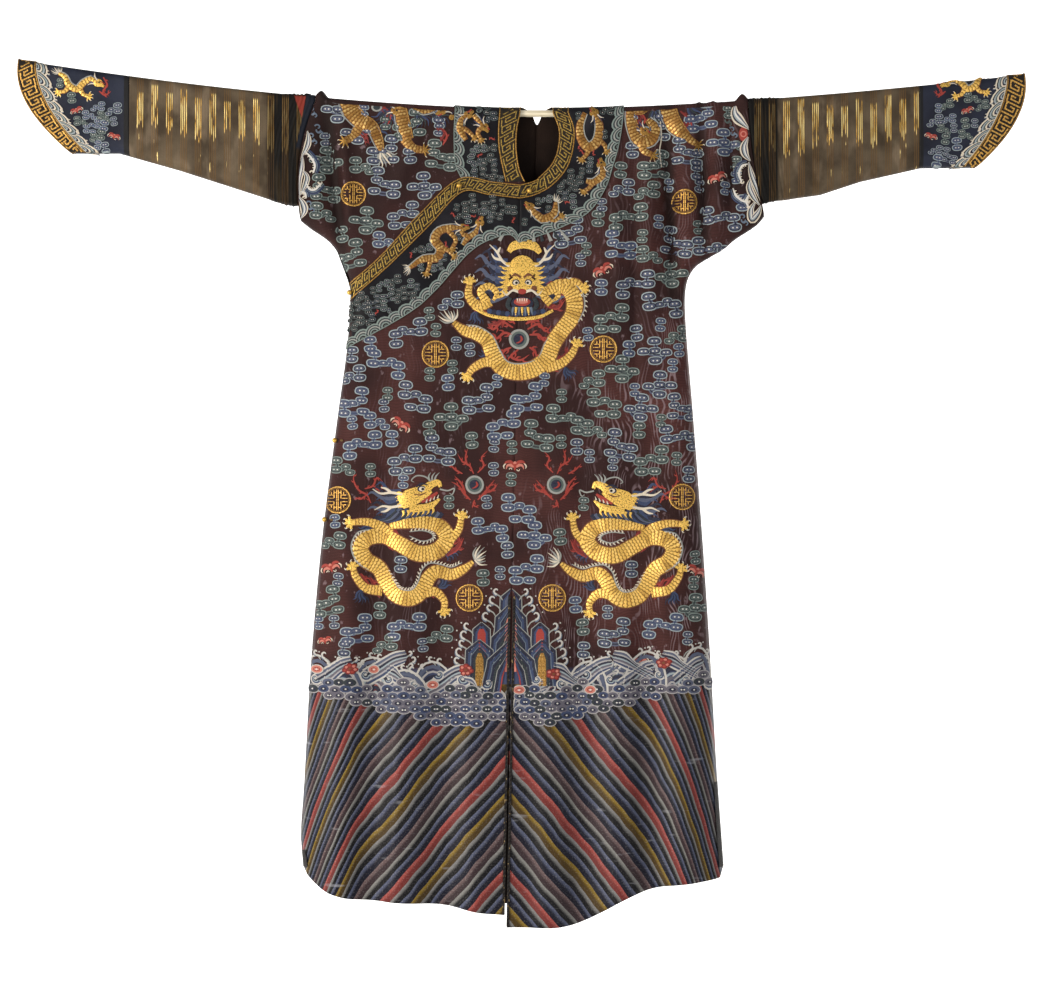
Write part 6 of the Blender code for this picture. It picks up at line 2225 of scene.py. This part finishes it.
YOKE_DRAGONS = {
    "overlap": [([(463, 229), (452, 229), (440, 232), (435, 241), (441, 250), (437, 259),
                  (424, 260), (410, 269)], [5, 6.5, 7.5, 8.5, 8.5, 8, 6.5, 3],
                 [([(449, 232), (456, 241), (452, 250)], 70),
                  ([(441, 248), (449, 252), (454, 257)], 40),
                  ([(430, 259), (430, 267), (427, 274)], 100)], 150),
                ([(480, 224), (476, 233), (468, 239), (463, 246)], [4, 5, 5, 3],
                 [([(470, 237), (464, 236), (461, 232)], -120)], None)],
    "right": [([(468, 116), (462, 120), (460, 130), (466, 141)], [5, 6, 7, 4],
               [([(461, 128), (468, 132), (474, 138)], 40)], None),
              ([(484, 128), (479, 122), (474, 116)], [4, 4.5, 4],
               [([(482, 127), (478, 134), (481, 140)], 80)], None)],
    "left": [([(594, 114), (599, 126), (597, 142), (588, 148), (581, 139), (580, 126),
               (585, 114)], [4, 7, 8.5, 9, 8, 6.5, 4],
              [([(590, 148), (586, 156), (582, 160)], 120), ([(597, 140), (604, 146), (606, 152)],
               60)], None),
             ([(601, 166), (602, 176), (594, 183), (586, 182)], [6, 7.5, 6.5, 4],
              [([(594, 182), (589, 189), (584, 192)], 120)], None),
             ([(530, 208), (542, 220), (554, 214), (556, 203)], [6, 7.5, 7, 3],
              [([(546, 217), (554, 222), (561, 218)], -30)], -60)],
    "back": [([(-4, 0), (6, 8), (18, 6), (26, -4), (38, -8)], [6, 7.5, 7, 6, 3],
              [([(14, 7), (18, 14), (24, 18)], 60)], 10)],
}
BACK_YOKE_CHART = Spot(-24, -88, CHART, 1, 0)
RAYS = [(498 + 7 * step, 243 - abs(step - 4.5) * 0.3, (step - 4.5) * 1.6) for step in range(10)]
for bed, (hang, face) in TRIM_BEDS.items():
    _, near, far = TRIM_LINES[bed]
    work = Needlework("yoke_work_" + bed, face, hang.place, BAND_TOP + 0.3)
    # painted shade: dull gold and the darker hide stand for shade at the top of the robe
    work.gold, work.scales = "dull_gold", "dull_scales"
    side = far - near
    share = WAVE_EDGE / np.linalg.norm(side, axis=1, keepdims=True)
    surf_border(work, Track(far - side * share, far), YOKE_STEP, YOKE_SURF)
    work.spot = CHARTS[face] if face == FRONT else BACK_YOKE_CHART
    for points, widths, legs, tail_aim in YOKE_DRAGONS[bed]:
        little_dragon(work, points, widths, legs, tail_aim)
    for u, v, lean in RAYS:
        if (bed == "left" and u > 521) or (bed == "overlap" and u < 506):
            work.stroke([(u - lean * 0.2, v - 11), (u + lean, v)], [1.4, 3.6],
                        "pale" if int(u) % 2 else "deep", 0.4, 0.4, 3)
    fill_strip(work, Track(near + side * 0.08, far - side * share * 1.15), YOKE_FILL)
    work.make(strewn=True)

# the cuffs: a dragon at the top of each, clouds, and waves along the border
CUFF_SHIFT = 48.0
CUFF_CLOUDS_FROM = {"right": -735, "left": 694}
CUFF_WAVES, CUFF_STEP, CUFF_EDGE, CLOUDS_SHORT, CLOUDS_IN = 24, 24, 1.5, 22, 6
CUFF_DRAGON = ([(99, 84), (92, 80), (84, 84), (78, 90), (70, 86), (66, 78), (60, 74)],
               [4, 5.5, 6, 6, 6, 5, 3],
               [([(80, 88), (84, 95), (89, 97)], 20), ([(70, 86), (66, 92), (60, 93)], 150)],
               -120)
CUFF_FIRES = [[(104, 78), (108, 86), (104, 92), (110, 97)], [(100, 92), (106, 96), (112, 92)]]
CUFF_BATS = [(78, 112, 0.4, 0.6), (115, 138, -0.3, 0.6)]
for way, sign in SIDES.items():
    for face, name in FACES.items():
        work = Needlework("cuff_work_" + way + "_" + name, face, SLEEVE_HANGS[way].place)
        waves = cuff_track(way, face, moved_ring(BORDER[way], -sign * CUFF_WAVES),
                           moved_ring(BORDER[way], -sign * CUFF_EDGE))
        surf_border(work, waves, CUFF_STEP, CUFF_SURF, -sign)
        chart = CHARTS[FRONT]
        work.spot = chart._replace(x=chart.x if way == "right" else -chart.x - CUFF_SHIFT,
                                   flip=-sign)
        little_dragon(work, *CUFF_DRAGON)
        for points in CUFF_FIRES:
            work.flame(points, "red", 2.0)
        for place in CUFF_BATS:
            bat(work, *place)
        start = CUFF_CLOUDS_FROM[way]
        clouds = cuff_track(way, face, moved_ring(Ring(start, start, 0), sign * CLOUDS_IN),
                            moved_ring(BORDER[way], -sign * CLOUDS_SHORT))
        fill_strip(work, clouds, CUFF_FILL)
        work.make(strewn=True)

# ------------------------------------------------------------------ needlework: the shoulders
# Two large dragons lie over each shoulder, heads up on the rod; the parts that hang down the
# front show their bodies, a leg or two and a tail. Waves edge the ends of the upper sleeves.
Limb = namedtuple("Limb", "points widths aim")
Trunk = namedtuple("Trunk", "points widths tail")
SHOULDER_TRUNKS = [
    Trunk([(346, 98), (351, 111), (361, 122), (372, 128), (378, 141), (381, 152)],
          [14, 16, 14, 10, 8, 4], 55),
    Trunk([(400, 100), (401, 114), (404, 128), (408, 141)], [8, 11, 12, 9], None),
    Trunk([(414, 106), (424, 110), (436, 108)], [7, 9, 6], None),
    Trunk([(668, 100), (668, 112), (674, 126), (685, 138)], [13, 15, 14, 9], None),
    Trunk([(630, 108), (631, 124), (638, 141), (650, 141), (655, 129), (648, 120)],
          [7, 9, 11, 11, 9, 4], None),
    Trunk([(648, 104), (640, 110), (630, 108)], [7, 8, 5], None),
]
SHOULDER_LIMBS = [
    Limb([(360, 128), (353, 137), (346, 142)], [10, 8, 6], 150),
    Limb([(405, 140), (413, 149), (424, 151)], [10, 8, 6], -10),
    Limb([(682, 134), (690, 141), (697, 145)], [9, 7, 5.5], 40),
    Limb([(640, 142), (644, 152), (652, 156)], [8, 6.5, 5], 30),
]
SHOULDER_FLAMES = [[(384, 124), (388, 114), (384, 106), (390, 100)],
                   [(440, 143), (444, 134), (440, 126), (446, 120)],
                   [(352, 122), (358, 128), (366, 136), (370, 146)],
                   [(680, 112), (688, 120), (686, 130), (692, 134)],
                   [(636, 126), (642, 118), (638, 110), (646, 104)],
                   [(626, 118), (622, 110), (627, 104), (623, 98)]]
MANES = [((420, 112), 60, 9), ((436, 114), 40, 7), ((388, 112), 110, 8), ((655, 112), 70, 9),
         ((690, 106), 40, 8), ((622, 110), 100, 7), ((376, 128), 70, 5)]
SHOULDER_HEADS = [(442, 112, 0.5), (644, 132, 2.4), (396, 112, 2.8)]
SHOULDER_OVALS = [(377, 108, 5.5, 4.5, 4.5, "pale", 0.4, 0.4, 9),
                  (377, 108, 3.6, 3, 3, "deep", 0.7, 0.3, 7),
                  (452, 118, 3.0, 2.8, 2.8, "dull_gold", 0.6, 0.8, 8)]
WHISKER = [(660, 122), (661, 138), (659, 152), (661, 168)]


def shoulder_work(work):
    for (u, v), aim, count in MANES:
        for lock in range(count):
            out, side = heading(aim - 50 + 100 * lock / count)
            root = np.array([u, v]) + side * (lock - count / 2) * 0.8
            work.stroke([root, root + out * 6 + side, root + out * 12 - side,
                         root + out * 17 + side * 2], [2.2, 2.2, 1.6, 0.4],
                        ("navy", "blue", "deep")[lock % 3], 0.1, 0.4, 4)
    for trunk in SHOULDER_TRUNKS:
        if trunk.tail is not None:
            for lock in range(7):
                out, side = heading(trunk.tail - 45 + 15 * lock)
                side = side * (lock - 3)
                root = np.array(trunk.points[-1], float)
                work.stroke([root, root + out * 7 + side * 0.5, root + out * 13 - side * 0.4,
                             root + out * 17 + side * 0.2], [2.0, 1.8, 1.3, 0.4],
                            "white" if lock % 2 else "pale", 0.3, 0.4, 4)
        work.hide(trunk.points, trunk.widths)
        line = curved(trunk.points, 4)
        half = spread(trunk.widths, len(line)) / 2
        for way in (-1, 1):
            edge = line + beside(line) * (way * (half + 1.2))[:, None]
            work.stroke(edge, 1.2, "pale" if way > 0 else "old_gold", 0.4, 0.5, 1)
    for limb in SHOULDER_LIMBS:
        work.leg(limb.points, limb.widths, limb.aim, None, 8.5)
    for points in SHOULDER_FLAMES:
        work.flame(points, "dark_red", 3.4)
        work.flame([(u + 3, v + 3) for u, v in points[:3]], "red", 2.2)
        work.flame([(u - 3, v + 1) for u, v in points[1:]], "dark_red", 2.2)
    for u, v, aim in SHOULDER_HEADS:
        back = (math.cos(aim), -math.sin(aim))
        little_dragon(work, [(u, v), (u + back[0] * 5, v + back[1] * 5)], [5, 5])
    for oval in SHOULDER_OVALS:
        work.blob(*oval)
    work.stroke(WHISKER, [0.9, 1.3, 1.1, 0.8], "white", 0.6, 0.4, 4)


def ribbon(work, points, width, threads=("white", "slate", "snow", "mist", "navy", "white")):
    """A swelling band of water: strands side by side that meet at both ends."""
    line = curved(points, 5)
    off = beside(line)
    swell = np.sin(np.linspace(0.12, math.pi - 0.12, len(line)))[:, None]
    for index, thread in enumerate(threads):
        away = width * ((index + 0.5) / len(threads) - 0.5)
        work.stroke(line + off * away * swell, width / len(threads) * 1.15 * swell[:, 0].clip(0.3),
                    thread, 1.1 + 0.05 * index, 0.4, 1)


def crest(work, points, side, width=2.6):
    """A breaking crest: a pale toothed roll with blue water behind it."""
    line = curved(points, 5)
    off = beside(line) * side
    for away, thread in ((width * 1.5, "blue"), (width * 0.9, "sky"), (width * 1.2, "navy")):
        work.stroke(line - off * away, [0.6, 1.6, 1.8, 0.5], thread, 1.0, 0.3, 1)
    work.stroke(line, [1.0, width * 0.8, width * 0.8, width * 0.6], "snow", 1.2, 0.6, 1)
    for step in range(2, len(line), 2):
        root = line[step]
        work.stroke([root, root + off[step] * width * 0.9], [1.5, 0.6], "white", 1.25, 0.4, 2)
    work.curl(*(line[-1] + off[-1] * 1.2), 2.4, 180, 220 * side, 1.4, "white", 1.3)


ELBOW_RIBBONS = [
    ([(308, 132), (309, 141), (307, 149), (302, 158)], 6.5),
    ([(303, 156), (302, 168), (299.5, 182), (300.5, 198)], 7),
    ([(303, 171), (307.5, 178), (306, 186), (301.5, 196)], 6),
    ([(299.5, 198), (303.5, 205), (305, 212), (301.5, 219)], 8),
    ([(735, 105), (734.5, 114), (740, 122), (748.5, 130)], 10),
    ([(747.5, 138), (743.5, 147), (744.5, 155), (749.5, 162)], 8),
    ([(748, 163), (751, 176), (756, 189), (760.5, 203)], 6.5),
    ([(751, 178), (748.5, 188), (752.5, 198), (758.5, 206)], 7),
    ([(755, 202), (750, 211), (751, 220), (757, 214), (760.5, 206)], 8),
]
ELBOW_CRESTS = [
    ([(305, 152), (311, 158), (315.5, 166), (314, 174)], 1),
    ([(306.5, 183), (310, 190), (316, 190.5), (322, 184)], -1),
    ([(301.5, 193), (305.5, 194), (307, 199)], 1),
    ([(747, 165), (741.5, 167), (738.5, 175), (741, 183)], -1),
    ([(733, 189), (736, 197), (742, 202), (748, 203)], -1),
    ([(748, 196), (745.5, 202), (747.5, 208)], -1),
]
ELBOW_BUD = (743, 135)
ELBOW_CURLS = [(312, 110, "sky"), (318, 128, "sky"), (312, 137, "sky"), (310, 205, "sky"),
               (732, 130, "sky"), (738, 145, "green"), (742, 218, "sky"), (726, 118, "green")]
for face, name in FACES.items():
    work = Needlework("shoulders_" + name, face)
    # painted shade: dull gold and the darker hide stand for shade at the top of the robe
    work.gold, work.scales = "dull_gold", "dull_scales"
    work.spot = CHARTS[face]
    shoulder_work(work)
    work.spot = CHARTS[FRONT]
    for points, width in ELBOW_RIBBONS:
        ribbon(work, points, width)
    for points, side in ELBOW_CRESTS:
        crest(work, points, side)
    work.blob(*ELBOW_BUD, 4.2, 7.5, 7.5, "red", 1.2, 0.5, 9)
    work.ring(*ELBOW_BUD, 2.6, 1.2, "pink", 1.7)
    for u, v, thread in ELBOW_CURLS:
        for step in range(3):
            work.curl(u + step * 1.6, v + step * 3.4, 3.2, 200, 260 * (-1) ** step, 1.5, thread,
                      0.4)
    work.make()

# ------------------------------------------------------------------ braids and bindings
# Flat plaited braids of black silk with a little gilt thread edge the open slit at the front,
# and a dark binding is turned over the edges of the side vents.
BRAID_WIDTH, BRAID_EDGE, BRAID_WALL, PLAIT = 4.5, 0.6, 1.2, 7.0
BRAID_BLACK, BRAID_SHEEN, BRAID_GILT = dye(14, 13, 14), dye(40, 37, 36), dye(150, 126, 84)


def braid_silk():
    silk = Finish("black_braid", Specular_IOR_Level=0.15)
    place = silk.flat_place("Cloth")
    x, z = silk.parts(place)
    strand = ((z / PLAIT + abs(x) * 0.1) % 1.0)
    glint = silk.grain(place, 300, 120)
    # painted sheen: each plait step is shaded from black to a paler sheen
    black = silk.mix(strand.ramp(0.1, 0.9), BRAID_BLACK, BRAID_SHEEN)
    silk.feed("Base Color", silk.mix(glint.ramp(0.62, 0.7), black, BRAID_GILT))
    silk.feed("Roughness", 0.4 + 0.3 * glint)
    silk.raise_by(strand, 0.3)
    return silk.material


BRAID = braid_silk()
for side, sign in SIDES.items():
    count = int((SLIT_TOP - CENTRE_FOOT[1]) / PLAIT * 4)
    t = np.linspace(0, 1, count)
    foot = -HEM[side][-1 if side == "right" else 0][1]
    centre_z = SLIT_TOP - 1 - t * (foot + SLIT_TOP - 3)
    z = centre_z[:, None] + np.zeros(7)
    share = np.linspace(0, 1, 7)
    x = x_on((CENTRE_TOP, CENTRE_FOOT), z) + sign * (1.0 + BRAID_EDGE + BRAID_WIDTH * share)
    rise = 0.45 * np.abs(np.sin(math.pi * (z / PLAIT + share * 0.8))) * np.sin(math.pi * share)
    flat = np.stack([x, z], -1)
    placed = HANGS[side].place(x, z, FRONT, BAND_TOP + rise)
    item = make_cloth("slit_plait_" + side, flat, placed, BRAID, BRAID, BRAID_WALL)
    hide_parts("slit_braid_" + side)

VENT_TOPS, VENT_FOOT = {"left": -1177, "right": -1296}, -1326
BINDING_IN, BINDING_WIDTHS = 5.4, [7, 11, 11]
work = Needlework("vent_binding", FRONT)
for side, top in VENT_TOPS.items():
    z = np.linspace(top, VENT_FOOT, 20)
    x = x_on(SIDE_SEAM[side], z) - SIDES[side] * BINDING_IN
    work.stroke(np.stack([x, -z], -1), BINDING_WIDTHS, "black", 1.5, 0.8, 1)
work.make(strewn=True)

# ------------------------------------------------------------------ loops and ball buttons
# Five hollow gilt balls, each held by a short braided loop of gilt and black cord sewn on
# beside it: at the neck, on the breast, under the arm and twice down the side.
Fastening = namedtuple("Fastening", "name side x z run_x run_z lift on_seam")
FASTENINGS = [
    Fastening("neck", "left", -12, -138.5, 6.5, 2.0, BAND_TOP, False),
    Fastening("breast", "right", -136, -129.5, 7, 0, BAND_TOP, False),
    Fastening("armpit", "right", 6, -317, 6, 6, BAND_TOP + 0.15, True),
    Fastening("side_1", "right", 6, -578, 8, 0, 0, True),
    Fastening("side_2", "right", 6, -717, 8, 0, 0, True),
]
BUTTON_RADIUS, LOOP_REACH, CORD_RADIUS, CORD_TWIST = 4.6, 3.0, 0.85, 2.4
FLUTES, FLUTE_DEPTH, CORD_APART = 10, 0.02, 1.15
GILT_BRIGHT, GILT_WORN, CORD_COLOUR = dye(232, 190, 96), dye(168, 118, 52), dye(96, 74, 40)


def gilt():
    metal = Finish("gilt_button", Metallic=1.0)
    dull = metal.noise(metal.object_place(), 900.0, 3.0)
    metal.feed("Base Color", metal.mix(dull.ramp(0.4, 0.75), GILT_BRIGHT, GILT_WORN))
    metal.feed("Roughness", 0.24 + 0.3 * dull)
    return metal.material


def cord_silk():
    cord = Finish("loop_cord", Base_Color=CORD_COLOUR, Specular_IOR_Level=0.3)
    fibre = cord.noise(cord.object_place(), 2400.0, 2.0)
    cord.feed("Roughness", 0.45 + 0.3 * fibre)
    cord.raise_by(fibre, 0.1)
    return cord.material


def finish_small(shape, name, node, finish):
    bmesh.ops.recalc_face_normals(shape, faces=shape.faces[:])
    mesh = settled(shape, name)
    mesh.shade_smooth()
    mesh.materials.append(finish)
    item = in_scene(name, mesh)
    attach(item, "root")
    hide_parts(node)


def sweep_tube(shape, line, radius, sides=8):
    """A closed round cord along a line."""
    run = np.gradient(line, axis=0)
    run /= np.linalg.norm(run, axis=1, keepdims=True)
    up = np.array([0.0, -1.0, 0.0])
    first = np.cross(run, up)
    first /= np.linalg.norm(first, axis=1, keepdims=True) + 1e-9
    second = np.cross(run, first)
    rings = []
    for centre, a, b in zip(line, first, second):
        turn = [2 * math.pi * k / sides for k in range(sides)]
        rings.append([shape.verts.new((centre + radius * (a * math.cos(t) + b * math.sin(t)))
                                      * MM) for t in turn])
    for near, far in zip(rings[:-1], rings[1:]):
        for k in range(sides):
            shape.faces.new((near[k], near[(k + 1) % sides], far[(k + 1) % sides], far[k]))
    shape.faces.new(rings[0][::-1])
    shape.faces.new(rings[-1])


GILT, CORD = gilt(), cord_silk()
for one in FASTENINGS:
    x = one.x + (float(x_on(SIDE_SEAM["right"], one.z)) if one.on_seam else 0.0)
    hang = HANGS[one.side]
    centre = hang.place(np.array([x]), np.array([one.z]), FRONT,
                        np.array([one.lift + LAY + BUTTON_RADIUS]))[0]
    ball = bmesh.new()
    bmesh.ops.create_uvsphere(ball, u_segments=28, v_segments=18, radius=BUTTON_RADIUS * MM)
    for vert in ball.verts:
        turn = math.atan2(vert.co.y, vert.co.x)
        shallow = 1 - (vert.co.z / (BUTTON_RADIUS * MM)) ** 2
        vert.co *= 1.0 - FLUTE_DEPTH + FLUTE_DEPTH * math.cos(FLUTES * turn) * shallow
    bmesh.ops.translate(ball, verts=ball.verts[:], vec=Vector((centre * MM).tolist()))
    finish_small(ball, "ball_" + one.name, "button_" + one.name, GILT)
    run = np.array([one.run_x, one.run_z], float)
    run /= np.linalg.norm(run)
    side = np.array([-run[1], run[0]])
    start = np.array([x, one.z]) + np.array([one.run_x, one.run_z])
    cord = bmesh.new()
    for strand in (0, 1):
        share = np.linspace(0, 1, 26)
        turn = share * 2 * math.pi * CORD_TWIST / 2 + strand * math.pi
        spots = start + run * (share * (LOOP_REACH + 1.2) - 0.6)[:, None] + side * (
            np.sin(turn) * CORD_APART)[:, None]
        lifts = one.lift + LAY + CORD_RADIUS + 0.25 * (1 + np.cos(turn))
        sweep_tube(cord, hang.place(spots[:, 0], spots[:, 1], FRONT, lifts), CORD_RADIUS)
    finish_small(cord, "braided_loop_" + one.name, "loop_" + one.name, CORD)
